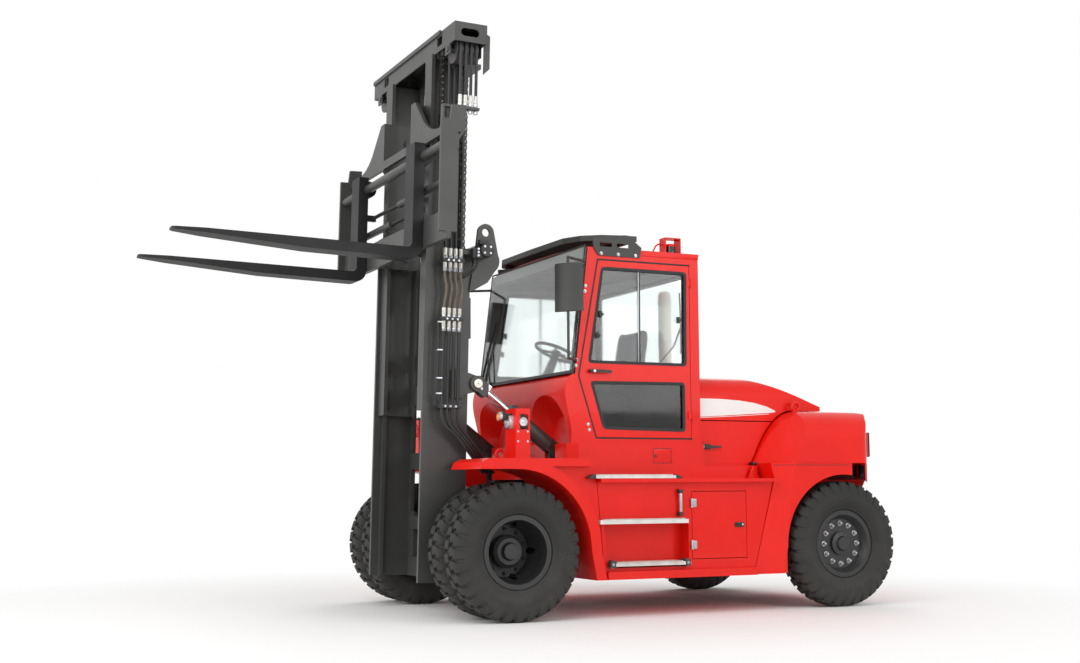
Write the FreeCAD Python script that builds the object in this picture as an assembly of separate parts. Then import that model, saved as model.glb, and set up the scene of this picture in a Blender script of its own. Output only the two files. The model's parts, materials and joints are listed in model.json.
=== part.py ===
"""Heavy counterbalanced forklift with a two-stage mast, twin front wheels and a closed cab.

Millimetres.  X points to the truck's left, Y to its rear and Z up.  Every shape is drawn with Y = 0 at the
front axle and Z = 0 on the ground, and is moved along Y at the end so that the origin lies under the
middle of the whole truck.  The mast is drawn upright and leaned back about the front axle at the end.
"""
import FreeCAD
import Part
import math
import os

V = FreeCAD.Vector
X_AXIS = V(1, 0, 0)
Y_AXIS = V(0, 1, 0)
Z_AXIS = V(0, 0, 1)

# ---------------------------------------------------------------- overall sizes
WHEELBASE = 3000.0
HALF_WIDTH = 1250.0
PANEL_INSET = 70.0
TYRE_R = 520.0
TYRE_W = 278.0
TREAD_W = 216.0
FORK_LENGTH = 1820.0
MAST_HEIGHT = 2900.0
MAST_LEAN = 1.3
LIFT_AT_REST = MAST_HEIGHT - 1560.0
CAB_HEIGHT = 1560.0
CAB_HALF_W = 950.0

# ---------------------------------------------------------------- clearances
RUN_GAP = 0.3
MOVE_GAP = 8.0
PANEL_GAP = 5.0

# ---------------------------------------------------------------- running gear
AXLE_Z = TYRE_R
REAR_Y = WHEELBASE
RIM_R = 254.0
RIM_HALF_W = 100.0
RIM_LIP_R = 276.0
RIM_WALL = 14.0
FRONT_INNER_X = 810.0
FRONT_OUTER_X = FRONT_INNER_X + TYRE_W + 62.0
REAR_X = 1130.0
KINGPIN_X = REAR_X - 180.0
AXLE_TUBE_R = 125.0
DIFF_R = 185.0
DIFF_HALF_W = 190.0
FRONT_SPINDLE_R = 60.0
REAR_SPINDLE_R = 45.0
KINGPIN_R = 35.0
PIVOT_R = 48.0
HUB_R = 125.0
FRONT_ARCH_R = TYRE_R + 100.0
REAR_ARCH_R = TYRE_R + 55.0
ARCH_BAND = 85.0
STEER_SWING_R = math.hypot(TYRE_R, REAR_X - KINGPIN_X + TYRE_W / 2) + 16.0

# ---------------------------------------------------------------- body levels
SILL_Z = 290.0
FENDER_Z = AXLE_Z + FRONT_ARCH_R + 80.0
LEDGE_Z = FENDER_Z - 155.0
DECK_Z = FENDER_Z + 125.0
HOOD_SEAM_Z = DECK_Z - 173.0
HOOD_PARTING_Z = DECK_Z + 205.0
HOOD_TOP_Z = DECK_Z + 595.0
ROOF_Z = DECK_Z + CAB_HEIGHT
DECK_HALF_W = 1000.0
TANK_X = HALF_WIDTH - PANEL_INSET
TANK_FRONT_Y = 704.0
TANK_FRONT_LEAN = 64.0
LIP_T = 28.0
STEP_Z = LEDGE_Z - 318.0
ENGINE_Z = AXLE_Z + 160.0
RAIL_X0 = 380.0
RAIL_X1 = 410.0

# ---------------------------------------------------------------- cab
CAB_FRONT_Y = 650.0
CAB_REAR_Y = 1790.0
CAB_WALL = 60.0
COWL_FRONT_Y = 550.0
COWL_TOP_Z = DECK_Z + 550.0
DOOR_T = 40.0
DOOR_REAR_Y = 1700.0
COWL_LEAN = 70.0
SCOOP_X = 560.0
SCOOP_R = 400.0
PILLAR_FOOT_Y = CAB_FRONT_Y + 105.0
PILLAR_KNEE_Y = CAB_FRONT_Y - 12.0
LOCKER_FRONT_Y = 1552.0
LOCKER_REAR_Y = 2072.0
GLASS_T = 8.0

# ---------------------------------------------------------------- hood and counterweight
HOOD_HALF_W = 900.0
HOOD_WALL = 25.0
HOOD_GAP = 12.0
HOOD_FRONT_Y = CAB_REAR_Y + 12.0
CW_TOP_Z = DECK_Z + 285.0
CW_LOW_Y = REAR_Y - 865.0
CW_LEDGE_Y = REAR_Y - 655.0
CW_SEAM_Z = HOOD_SEAM_Z + 18.0
CW_REAR_Y = REAR_Y + 640.0
CW_BAY_HALF_W = 430.0
CW_BAY_REAR_Y = REAR_Y - 300.0
CW_REAR_ARC_R = 2150.0
CW_EYE_Y = REAR_Y + 165.0
CW_EYE_R = 30.0
HOOD_REAR_Y = REAR_Y + 30.0
HINGE_R = 10.0
CW_FALL = 8.0
HOOD_HINGE_Z = CW_TOP_Z - CW_FALL * (HOOD_REAR_Y - REAR_Y + 250) / 500 + HINGE_R + RUN_GAP

# ---------------------------------------------------------------- mast, drawn upright
MAST_BOTTOM_Z = 260.0
RAIL_OUT_X = 590.0
RAIL_WEB = 30.0
RAIL_FRONT_Y = -545.0
RAIL_REAR_Y = -165.0
FLANGE_T = 30.0
INNER_HALF_X = 402.0
INNER_BOTTOM_Z = MAST_BOTTOM_Z + LIFT_AT_REST
INNER_LENGTH = MAST_HEIGHT - 30.0
INNER_TOP_Z = INNER_BOTTOM_Z + INNER_LENGTH
BEAM_HALF_X = 975.0
BEAM_H = 155.0
BEAM_WALL = 14.0
TUBE_R = 85.0
TUBE_Y = -27.0
TUBE_Z = MAST_HEIGHT - 16.0
EYE_Y = TUBE_Y - 17.0
EYE_Z = TUBE_Z + 158.0
EYE_R = 33.0
LIFT_X = 230.0
LIFT_Y = -120.0
LIFT_BARREL_R = 55.0
LIFT_BORE_R = 46.0
LIFT_ROD_R = 36.0
LIFT_FOOT_Z = 760.0
CHAIN_X = 626.0
CHAIN_SHEAVE_R = 96.0
CHAIN_SHEAVE_W = 82.0
CHAIN_GROOVE = 14.0
CHAIN_T = 38.0
CHAIN_W = 56.0
BEAM_D = 2 * (CHAIN_SHEAVE_R - CHAIN_GROOVE + CHAIN_T + BEAM_WALL + 3)
HOSE_SHEAVE_X = 818.0
HOSE_SHEAVE_R = 120.0
HOSE_R = 13.0
HOSE_COUNT = 4
HOSE_PITCH = 44.0
HOSE_DROP = 32.0
HOSE_ARM_RISE = 1200.0
HOSE_FITTING_Z = MAST_HEIGHT - 420.0

# ---------------------------------------------------------------- carriage and forks, drawn upright
FORK_T = 85.0
FORK_W = 200.0
FORK_X = 690.0
FORK_FACE_Y = -735.0
FORK_BOTTOM_Z = LIFT_AT_REST * 2 + 70.0
FORK_HEIGHT = 915.0
FORK_TIP_T = 20.0
FORK_EYE_R = 72.0
SHAFT_R = 38.0
SHAFT_Y = FORK_FACE_Y + FORK_T
SHAFT_Z = FORK_BOTTOM_Z + FORK_HEIGHT - 103.0
SIDE_PLATE_X = 1270.0
SIDE_PLATE_T = 30.0
POSITIONER_Y = SHAFT_Y + 52.0
POSITIONER_R = 30.0
POSITIONER_ROD_R = 16.0

# ---------------------------------------------------------------- tilt cylinders
TILT_X = 640.0
TILT_EYE_Y = -115.0
TILT_EYE_Z = 1815.0
TILT_PIN_Y = 620.0
TILT_PIN_Z = DECK_Z - 63.0
TILT_PIN_R = 26.0
TILT_BARREL_R = 62.0
TILT_ROD_R = 28.0
TILT_LUG_T = 34.0
TILT_DRIFT = 16.0


# ================================================================ drawing helpers
def block(x0, x1, y0, y1, z0, z1):
    """Box between two corners."""
    return Part.makeBox(x1 - x0, y1 - y0, z1 - z0, V(x0, y0, z0))


def rod_x(radius, x0, x1, y, z):
    """Round bar along X."""
    return Part.makeCylinder(radius, x1 - x0, V(x0, y, z), X_AXIS)


def rod_y(radius, y0, y1, x, z):
    """Round bar along Y."""
    return Part.makeCylinder(radius, y1 - y0, V(x, y0, z), Y_AXIS)


def rod_z(radius, z0, z1, x, y):
    """Round bar along Z."""
    return Part.makeCylinder(radius, z1 - z0, V(x, y, z0), Z_AXIS)


def bar(radius, start, end):
    """Round bar between two points."""
    return Part.makeCylinder(radius, (end - start).Length, start, end - start)


def face_of(points):
    """Flat face from its corner points."""
    return Part.Face(Part.makePolygon(points + [points[0]]))


def plate_x(outline, x0, x1):
    """Plate across X from its outline of (y, z) points."""
    return face_of([V(x0, y, z) for y, z in outline]).extrude(V(x1 - x0, 0, 0))


def plate_y(outline, y0, y1):
    """Plate across Y from its outline of (x, z) points."""
    return face_of([V(x, y0, z) for x, z in outline]).extrude(V(0, y1 - y0, 0))


def plate_z(outline, z0, z1):
    """Plate across Z from its outline of (x, y) points."""
    return face_of([V(x, y, z0) for x, y in outline]).extrude(V(0, 0, z1 - z0))


def spun(outline, y, z):
    """Solid of revolution about a line along X from its outline of (x, radius) points."""
    return face_of([V(x, y, z + r) for x, r in outline]).revolve(V(0, y, z), X_AXIS, 360)


def run_face(runs):
    """Flat face of straight and smooth runs that share their ends; a smooth run of three is an arc."""
    edges = []
    for smooth, points in runs:
        if smooth and len(points) == 3:
            edges.append(Part.Arc(*points).toShape())
        elif smooth:
            curve = Part.BSplineCurve()
            curve.interpolate(points)
            edges.append(curve.toShape())
        else:
            edges = edges + [Part.makeLine(a, b) for a, b in zip(points, points[1:])]
    return Part.Face(Part.Wire(edges))


def run_x(runs, x0, x1):
    """Plate across X from straight and smooth runs of (y, z) points."""
    face = run_face([(smooth, [V(x0, y, z) for y, z in points]) for smooth, points in runs])
    return face.extrude(V(x1 - x0, 0, 0))


def run_y(runs, y0, y1):
    """Plate across Y from straight and smooth runs of (x, z) points."""
    face = run_face([(smooth, [V(x, y0, z) for x, z in points]) for smooth, points in runs])
    return face.extrude(V(0, y1 - y0, 0))


def run_z(runs, z0, z1):
    """Plate across Z from straight and smooth runs of (x, y) points."""
    face = run_face([(smooth, [V(x, y, z0) for x, y in points]) for smooth, points in runs])
    return face.extrude(V(0, 0, z1 - z0))


def both_sides(runs):
    """Closed runs from their right half, which starts and ends on the centre line."""
    other = [(smooth, [(-x, v) for x, v in reversed(points)]) for smooth, points in reversed(runs)]
    return runs + other


def arc_points(centre, radius, start_deg, end_deg, steps):
    """Points on a circular arc in a plane, ends included."""
    span = math.radians(end_deg - start_deg)
    first = math.radians(start_deg)
    angles = [first + span * i / steps for i in range(steps + 1)]
    return [(centre[0] + radius * math.cos(a), centre[1] + radius * math.sin(a)) for a in angles]


def fused(shapes):
    """One shape from several that meet."""
    return shapes[0].multiFuse(shapes[1:]).removeSplitter()


def mirrored(shape):
    """The other side's copy."""
    return shape.mirror(V(0, 0, 0), X_AXIS)


def pair(shape):
    """The left shape and its right copy, side by side."""
    return Part.makeCompound([shape, mirrored(shape)])


def symmetric(outline):
    """Closed outline from its right half, listed from one end of the centre line to the other."""
    return outline + [(-x, v) for x, v in reversed(outline)]


def leaned(shape):
    """Mast part, from its upright drawing to its place at rest."""
    return shape.rotated(V(0, 0, AXLE_Z), X_AXIS, -MAST_LEAN)


def leaned_point(y, z):
    """Where a point of the upright mast lies at rest, as (y, z)."""
    point = FreeCAD.Rotation(X_AXIS, -MAST_LEAN).multVec(V(0, y, z - AXLE_Z))
    return point.y, point.z + AXLE_Z


# ================================================================ wheels and axles
def tyre(centre_x, y):
    """Tyre with a crowned tread, round shoulders and bulged walls."""
    half = TYRE_W / 2
    tread = TREAD_W / 2
    side = [
        (RIM_HALF_W - 14, RIM_R + RUN_GAP),
        (RIM_HALF_W - 14, RIM_LIP_R + 4),
        (RIM_HALF_W + 12, RIM_LIP_R + 12),
        (half - 6, TYRE_R - 190),
        (half, TYRE_R - 130),
        (half - 5, TYRE_R - 75),
        (tread + 14, TYRE_R - 34),
        (tread, TYRE_R - 12),
        (tread - 26, TYRE_R - 2),
        (0, TYRE_R),
    ]
    outline = side + [(-x, r) for x, r in reversed(side[:-1])]
    return spun([(centre_x + x, r) for x, r in outline], y, AXLE_Z)


def rim(centre_x, disc_x, disc_t, bore_r, y):
    """Rim ring with its lips and the dished disc that carries it."""
    toward = 1 if disc_x > centre_x else -1
    end = centre_x + toward * RIM_HALF_W
    other = centre_x - toward * RIM_HALF_W
    inner = RIM_R - RIM_WALL
    outline = [
        (other, RIM_LIP_R),
        (other, inner),
        (end - toward * 45, inner),
        (disc_x - toward * disc_t, inner - 45),
        (disc_x - toward * disc_t, bore_r),
        (disc_x, bore_r),
        (disc_x, inner - 34),
        (end, inner),
        (end, RIM_LIP_R),
        (end - toward * 12, RIM_LIP_R),
        (end - toward * 12, RIM_R),
        (other + toward * 12, RIM_R),
        (other + toward * 12, RIM_LIP_R),
    ]
    return spun(outline, y, AXLE_Z)


def front_rims():
    """Twin rims of the left front wheel on their hub, with the hub's bore on the spindle."""
    middle = (FRONT_INNER_X + FRONT_OUTER_X) / 2
    inner = rim(FRONT_INNER_X, middle, 12, HUB_R, 0)
    outer = rim(FRONT_OUTER_X, middle, 12, HUB_R, 0)
    start = FRONT_INNER_X - 95
    hub = spun([
        (start, FRONT_SPINDLE_R + RUN_GAP),
        (start, 175),
        (start + 60, 175),
        (start + 80, HUB_R + 25),
        (middle - 12, HUB_R + 25),
        (middle - 12, HUB_R),
        (middle + 95, HUB_R),
        (middle + 115, HUB_R - 25),
        (middle + 115, 70),
        (middle + 150, 58),
        (middle + 150, 0),
        (middle + 128, 0),
        (middle + 128, FRONT_SPINDLE_R + RUN_GAP),
    ], 0, AXLE_Z)
    hand_holes = []
    for i in range(5):
        angle = 2 * math.pi * i / 5
        hand_holes.append(rod_x(24, FRONT_INNER_X, FRONT_OUTER_X, 205 * math.cos(angle),
                                AXLE_Z + 205 * math.sin(angle)))
    return fused([inner, outer, hub]).cut(hand_holes)


def rear_rim():
    """Single rim of the left rear wheel with its hub and cap."""
    disc_x = REAR_X + 42
    ring = rim(REAR_X, disc_x, 12, HUB_R - 30, REAR_Y)
    start = KINGPIN_X + 130
    hub = spun([
        (start, REAR_SPINDLE_R + RUN_GAP),
        (start, 120),
        (disc_x - 12, 120),
        (disc_x - 12, HUB_R - 30),
        (disc_x + 25, HUB_R - 30),
        (disc_x + 32, 62),
        (disc_x + 55, 52),
        (disc_x + 55, 0),
        (disc_x + 40, 0),
        (disc_x + 40, REAR_SPINDLE_R + RUN_GAP),
    ], REAR_Y, AXLE_Z)
    return fused([ring, hub])


def front_axle():
    """Drive axle: final-drive bulge, tubes, brake housings and spindles."""
    hub_start = FRONT_INNER_X - 95
    brake_end = hub_start - MOVE_GAP
    half = [
        (0, DIFF_R),
        (80, DIFF_R - 4),
        (150, DIFF_R - 25),
        (DIFF_HALF_W, AXLE_TUBE_R + 12),
        (DIFF_HALF_W + 25, AXLE_TUBE_R),
        (RAIL_OUT_X + 20, AXLE_TUBE_R),
        (RAIL_OUT_X + 30, 200),
        (brake_end - 12, 215),
        (brake_end, 200),
        (brake_end, FRONT_SPINDLE_R),
        ((FRONT_INNER_X + FRONT_OUTER_X) / 2 + 110, FRONT_SPINDLE_R),
        ((FRONT_INNER_X + FRONT_OUTER_X) / 2 + 110, 0),
    ]
    outline = [(-x, r) for x, r in reversed(half)] + half[1:]
    return spun(outline, 0, AXLE_Z)


def steer_axle():
    """Rear axle beam on its centre pivot, with kingpin barrels and the steering cylinder."""
    end = KINGPIN_X - 50
    beam = plate_y(symmetric([(0, AXLE_Z - 95), (620, AXLE_Z - 95), (740, AXLE_Z - 58),
                              (end, AXLE_Z - 58),
                              (end, AXLE_Z + 58), (740, AXLE_Z + 58), (560, AXLE_Z + 110),
                              (0, AXLE_Z + 110)]), REAR_Y - 90, REAR_Y + 90)
    pivot = rod_y(PIVOT_R, REAR_Y - 240, REAR_Y + 183, 0, AXLE_Z + 40)
    cylinder = rod_x(34, -360, 360, REAR_Y - 130, AXLE_Z - 75)
    rods = rod_x(18, -560, 560, REAR_Y - 130, AXLE_Z - 75)
    clamp = block(-200, 200, REAR_Y - 130, REAR_Y - 85, AXLE_Z - 95, AXLE_Z - 50)
    barrel = rod_z(66, AXLE_Z - 70, AXLE_Z + 70, KINGPIN_X, REAR_Y)
    bore = rod_z(KINGPIN_R + RUN_GAP, 0, 2 * AXLE_Z, KINGPIN_X, REAR_Y)
    whole = fused([beam, pivot, cylinder, rods, clamp, barrel, mirrored(barrel)])
    return whole.cut([bore, mirrored(bore)])


def knuckle():
    """Left steering knuckle: two ears on the kingpin, a web and the wheel's spindle."""
    low = AXLE_Z - 70
    high = AXLE_Z + 70
    ear = 42
    web_x = KINGPIN_X + 78
    parts = [rod_z(72, low - 2 - ear, low - 2, KINGPIN_X, REAR_Y),
             rod_z(72, high + 2, high + 2 + ear, KINGPIN_X, REAR_Y)]
    for base in (low - 2 - ear, high + 2):
        parts.append(block(KINGPIN_X, web_x + 32, REAR_Y - 55, REAR_Y + 55, base, base + ear))
    parts.append(block(web_x, web_x + 32, REAR_Y - 55, REAR_Y + 55, low - ear, high + ear))
    parts.append(rod_z(KINGPIN_R, low - 10, high + 10, KINGPIN_X, REAR_Y))
    parts.append(rod_x(REAR_SPINDLE_R, web_x, REAR_X + 75, REAR_Y, AXLE_Z))
    return fused(parts)


# ================================================================ chassis and body
def chassis_frame():
    """Two side rails, cross members, axle saddles and the tilt cylinders' lugs."""
    rear = REAR_Y - 330
    rail = plate_x([(-30, AXLE_Z + 120), (-30, LEDGE_Z - 110), (430, LEDGE_Z - 110), (520, LEDGE_Z),
                    (rear, LEDGE_Z), (rear, AXLE_Z - 40), (760, AXLE_Z - 40), (420, AXLE_Z + 120)],
                   RAIL_X0, RAIL_X1)
    saddle = block(RAIL_X0 - 40, RAIL_X1 + 10, -120, 120, AXLE_Z + 40, AXLE_Z + 130)
    outrigger = block(RAIL_X1 - 10, TILT_X + TILT_LUG_T / 2, TILT_PIN_Y - 60, TILT_PIN_Y + 80,
                      LEDGE_Z - 125, LEDGE_Z)
    lug = plate_x([(TILT_PIN_Y - 60, LEDGE_Z - 125), (TILT_PIN_Y + 80, LEDGE_Z - 125),
                   (TILT_PIN_Y + 80, LEDGE_Z + 80)]
                  + arc_points((TILT_PIN_Y, TILT_PIN_Z), 70, 40, 180, 8)
                  + [(TILT_PIN_Y - 70, TILT_PIN_Z - 60)],
                  TILT_X - TILT_LUG_T / 2, TILT_X + TILT_LUG_T / 2)
    lug = lug.cut(rod_x(TILT_PIN_R + RUN_GAP, 0, 2 * TILT_X, TILT_PIN_Y, TILT_PIN_Z))
    side = fused([rail, saddle, outrigger, lug]).cut(rod_x(AXLE_TUBE_R + RUN_GAP, 0, 600, 0, AXLE_Z))
    cross = []
    for y0, y1, z0 in ((270, 300, AXLE_Z + 160), (1500, 1530, AXLE_Z), (rear - 30, rear, AXLE_Z - 40)):
        cross.append(block(-RAIL_X0 - 5, RAIL_X0 + 5, y0, y1, z0, LEDGE_Z - 120))
    for y0 in (CAB_REAR_Y + 110, REAR_Y - 480):
        mount = block(250, RAIL_X0 + 5, y0, y0 + 80, ENGINE_Z - 40, ENGINE_Z - RUN_GAP)
        cross = cross + [mount, mirrored(mount)]
    nose = block(-80, 80, rear - 5, REAR_Y - 172, AXLE_Z - 40, AXLE_Z + 115)
    nose = nose.cut(rod_y(PIVOT_R + RUN_GAP, rear, REAR_Y, 0, AXLE_Z + 40))
    return fused([side, mirrored(side), nose] + cross)


def front_fender():
    """Left fender over the twin wheels, open below, with a raised band round the arch."""
    arch = FRONT_ARCH_R
    foot_y = TANK_FRONT_Y + TANK_FRONT_LEAN - PANEL_GAP
    outer = [(-303, AXLE_Z + arch + 12), (-285, FENDER_Z - 25), (-235, FENDER_Z), (600, FENDER_Z),
             (640, FENDER_Z - 40), (640, LEDGE_Z), (TANK_FRONT_Y - PANEL_GAP, LEDGE_Z), (foot_y,
                                                                                         SILL_Z),
             (arch + 45, SILL_Z), (arch, AXLE_Z)]
    inner = arc_points((0, AXLE_Z), arch, 4, 90, 14) + [(-303, AXLE_Z + arch)]
    body = plate_x(outer + inner, RAIL_OUT_X + 75, HALF_WIDTH).cut(deck_plan())
    band_r = arch + ARCH_BAND
    beside = block(TANK_X, HALF_WIDTH + 10, 0, 2 * TANK_FRONT_Y, SILL_Z - 10, FENDER_Z - 60)
    band_foot = plate_x([(0, AXLE_Z), (band_r, AXLE_Z), (foot_y - 8, SILL_Z - 20), (0, SILL_Z - 20)],
                        TANK_X - 5, HALF_WIDTH + 20)
    return body.cut(beside.cut([rod_x(band_r, TANK_X - 5, HALF_WIDTH + 20, 0, AXLE_Z), band_foot]))


def tank_front_y(z):
    """Front end of the side tank at a height."""
    return TANK_FRONT_Y + TANK_FRONT_LEAN * (LEDGE_Z - z) / (LEDGE_Z - SILL_Z)


def cw_front_y(z):
    """Front edge of the counterweight beside the tank at a height."""
    return CW_LEDGE_Y - (CW_LEDGE_Y - CW_LOW_Y) * (LEDGE_Z - z) / (LEDGE_Z - SILL_Z)


def tank_slice(z0, z1, x0, x1):
    """Part of the side tank between two heights, with both ends leaning."""
    return plate_x([(tank_front_y(z0), z0), (cw_front_y(z0) - PANEL_GAP, z0),
                    (cw_front_y(z1) - PANEL_GAP, z1),
                    (tank_front_y(z1), z1)], x0, x1)


def side_tank():
    """Left tank: set-in side under an overhanging ledge, step recess, locker bay and sill."""
    body = tank_slice(SILL_Z, LEDGE_Z, RAIL_X1 + 50, TANK_X)
    lip = tank_slice(LEDGE_Z - LIP_T, LEDGE_Z, TANK_X - 20, HALF_WIDTH)
    sill = tank_slice(SILL_Z, SILL_Z + 60, TANK_X - 20, HALF_WIDTH - 4)
    recess_low = SILL_Z + 85
    recess = plate_x([(tank_front_y(recess_low) + 42, recess_low), (LOCKER_FRONT_Y - 30, recess_low),
                      (LOCKER_FRONT_Y - 30, STEP_Z), (tank_front_y(STEP_Z) + 30, STEP_Z)],
                     TANK_X - 120, TANK_X + 50)
    locker = block(TANK_X - 230, TANK_X + 50, LOCKER_FRONT_Y, LOCKER_REAR_Y, SILL_Z + 135,
                   LEDGE_Z - 100)
    return fused([body, lip, sill]).cut([recess, locker])


def tread_plate(y0, y1, x0, x1, z):
    """Step tread: a folded plate with a turned-down lip."""
    return fused([block(x0, x1, y0, y1, z - 6, z), block(x1 - 6, x1, y0, y1, z - 24, z)])


def steps():
    """Left step treads on the ledge, at the recess's head and above the sill, with their brackets."""
    edge = HALF_WIDTH - 4
    ledge = tread_plate(664, 1375, DECK_HALF_W + 20, edge, LEDGE_Z + 26)
    ledge_feet = [block(DECK_HALF_W + 60, edge - 36, y, y + 30, LEDGE_Z + RUN_GAP,
                        LEDGE_Z + 22) for y in (710, 1310)]
    front = tank_front_y(STEP_Z)
    rear = LOCKER_FRONT_Y - 66
    middle = fused([block(TANK_X - 116, edge, front + 34, rear, STEP_Z - 32, STEP_Z - RUN_GAP),
                    block(TANK_X + RUN_GAP, edge, front - 32, front + 36, STEP_Z - 32, STEP_Z - RUN_GAP)])
    low_z = SILL_Z + 125
    low_front = tank_front_y(low_z) + 46
    low = [block(TANK_X - 110, edge - 14, low_front, rear + 24, low_z - 26, low_z)]
    for y in (low_front + 2, rear - 16):
        low.append(block(TANK_X - 100, edge - 44, y, y + 38, SILL_Z + 85 + RUN_GAP, low_z - 20))
    return Part.makeCompound([fused([ledge] + ledge_feet), middle, fused(low)])


def grab_handle():
    """Left upright handle beside the middle step."""
    x = TANK_X + 32
    y = LOCKER_FRONT_Y - 118
    z0 = LEDGE_Z - 290
    z1 = LEDGE_Z - 90
    grip = rod_z(11, z0 + 10, z1 - 10, x, y)
    feet = [block(TANK_X + RUN_GAP, x + 12, y - 13, y + 13, z, z + 20) for z in (z0, z1 - 20)]
    return fused([grip] + feet)


def deck_plan():
    """The platform's full thickness, with nothing taken out."""
    outline = symmetric([(0, COWL_FRONT_Y + 10), (DECK_HALF_W - 60, COWL_FRONT_Y + 10),
                         (DECK_HALF_W, COWL_FRONT_Y + 90), (DECK_HALF_W, CAB_REAR_Y), (0, CAB_REAR_Y)])
    return plate_z(outline, LEDGE_Z, DECK_Z)


def deck():
    """Platform under the cab, open over the engine, with lower side wings along the hood."""
    rear = REAR_Y - 690
    inside = block(-DECK_HALF_W + 40, DECK_HALF_W - 40, 850, CAB_REAR_Y - 60, LEDGE_Z - 10, DECK_Z - 20)
    lug_room = block(TILT_X - 95, TILT_X + 95, COWL_FRONT_Y - 10, TILT_PIN_Y + 110, LEDGE_Z - 10,
                     DECK_Z + 10)
    wing = block(HOOD_HALF_W - 60, DECK_HALF_W, CAB_REAR_Y - 60, rear, LEDGE_Z, HOOD_SEAM_Z)
    body = deck_plan().cut([inside, lug_room, mirrored(lug_room)])
    return fused([body, wing, mirrored(wing)])


def cowl():
    """Red front bulkhead below the windscreen, scooped out round each tilt cylinder."""
    front = [(COWL_FRONT_Y + COWL_LEAN, COWL_TOP_Z), (COWL_FRONT_Y + 22, COWL_TOP_Z - 34),
             (COWL_FRONT_Y, COWL_TOP_Z - 100), (COWL_FRONT_Y + 6, COWL_TOP_Z - 230), (COWL_FRONT_Y + 40, DECK_Z)]
    back = [(COWL_FRONT_Y + 40, DECK_Z), (COWL_FRONT_Y + 280, DECK_Z),
            (COWL_FRONT_Y + 280, DECK_Z + 90),
            (COWL_FRONT_Y + 140, DECK_Z + 300), (COWL_FRONT_Y + 110, COWL_TOP_Z),
            (COWL_FRONT_Y + COWL_LEAN, COWL_TOP_Z)]
    inner = CAB_HALF_W - CAB_WALL
    body = run_x([(True, front), (False, back)], -inner, inner)
    cheek_back = [(COWL_FRONT_Y + 40, DECK_Z), (PILLAR_FOOT_Y, DECK_Z), (PILLAR_KNEE_Y, COWL_TOP_Z),
                  (COWL_FRONT_Y + COWL_LEAN, COWL_TOP_Z)]
    cheek = run_x([(True, front), (False, cheek_back)], inner, CAB_HALF_W)
    scoop = Part.makeCone(SCOOP_R, SCOOP_R - 170, 180, V(SCOOP_X, COWL_FRONT_Y, DECK_Z), Y_AXIS)
    mouth = rod_y(SCOOP_R, COWL_FRONT_Y - 40, COWL_FRONT_Y, SCOOP_X, DECK_Z)
    whole = fused([body, cheek, mirrored(cheek)])
    return whole.cut([scoop, mirrored(scoop), mouth, mirrored(mouth)])


def door_outline(grow):
    """Left door's outline of (y, z) points, grown all round by a gap."""
    return [(CAB_FRONT_Y + 177 - grow, DECK_Z + 51 - grow), (DOOR_REAR_Y + grow, DECK_Z + 51 - grow),
            (DOOR_REAR_Y + grow, ROOF_Z - 84 + grow), (CAB_FRONT_Y + 203 - grow, ROOF_Z - 84 + grow),
            (CAB_FRONT_Y + 25 - grow, DECK_Z + 540)]


def upper_window(inset):
    """Left door's upper window outline."""
    return [(CAB_FRONT_Y + 110 + inset, DECK_Z + 648 + inset),
            (DOOR_REAR_Y - 42 - inset, DECK_Z + 648 + inset),
            (DOOR_REAR_Y - 34 - inset, ROOF_Z - 142 - inset), (CAB_FRONT_Y + 236 + inset, ROOF_Z - 142 - inset)]


def lower_window(inset):
    """Left door's lower window outline."""
    return [(CAB_FRONT_Y + 240 + inset, DECK_Z + 122 + inset),
            (DOOR_REAR_Y - 62 - inset, DECK_Z + 108 + inset),
            (DOOR_REAR_Y - 62 - inset, DECK_Z + 500 - inset), (CAB_FRONT_Y + 130 + inset, DECK_Z + 490 - inset)]


def cab_side():
    """Left side frame of the cab round its door."""
    front = [(PILLAR_FOOT_Y, DECK_Z), (CAB_REAR_Y, DECK_Z), (CAB_REAR_Y, ROOF_Z),
             (CAB_FRONT_Y + 108, ROOF_Z),
             (PILLAR_KNEE_Y, COWL_TOP_Z)]
    frame = plate_x(front, CAB_HALF_W - CAB_WALL, CAB_HALF_W)
    opening = plate_x(door_outline(PANEL_GAP), 0, 2 * CAB_HALF_W)
    return frame.cut(opening)


def cab_shell():
    """Hollow cab: side frames, rear wall with its window, front header and floor."""
    side = cab_side()
    inner = CAB_HALF_W - CAB_WALL
    rear = block(-inner - 5, inner + 5, CAB_REAR_Y - 40, CAB_REAR_Y, DECK_Z, ROOF_Z)
    rear_window = block(-inner + 90, inner - 90, CAB_REAR_Y - 60, CAB_REAR_Y + 20, DECK_Z + 660,
                        ROOF_Z - 130)
    header = block(-inner - 5, inner + 5, CAB_FRONT_Y + 112, CAB_FRONT_Y + 172, ROOF_Z - 60, ROOF_Z)
    floor = block(-inner - 5, inner + 5, COWL_FRONT_Y + 285, CAB_REAR_Y - 35, DECK_Z, DECK_Z + 20)
    rear_rail = block(-inner - 5, inner + 5, CAB_REAR_Y - 90, CAB_REAR_Y - 35, ROOF_Z - 50, ROOF_Z)
    return fused([side, mirrored(side), rear.cut(rear_window), header, floor, rear_rail])


def cab_roof():
    """Crowned roof panel on the cab's top rails."""
    crown = symmetric([(0, ROOF_Z), (CAB_HALF_W, ROOF_Z), (CAB_HALF_W, ROOF_Z + 22), (700, ROOF_Z + 42),
                       (350, ROOF_Z + 52), (0, ROOF_Z + 55)])
    return plate_y(crown, CAB_FRONT_Y + 108, CAB_REAR_Y + 8)


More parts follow.
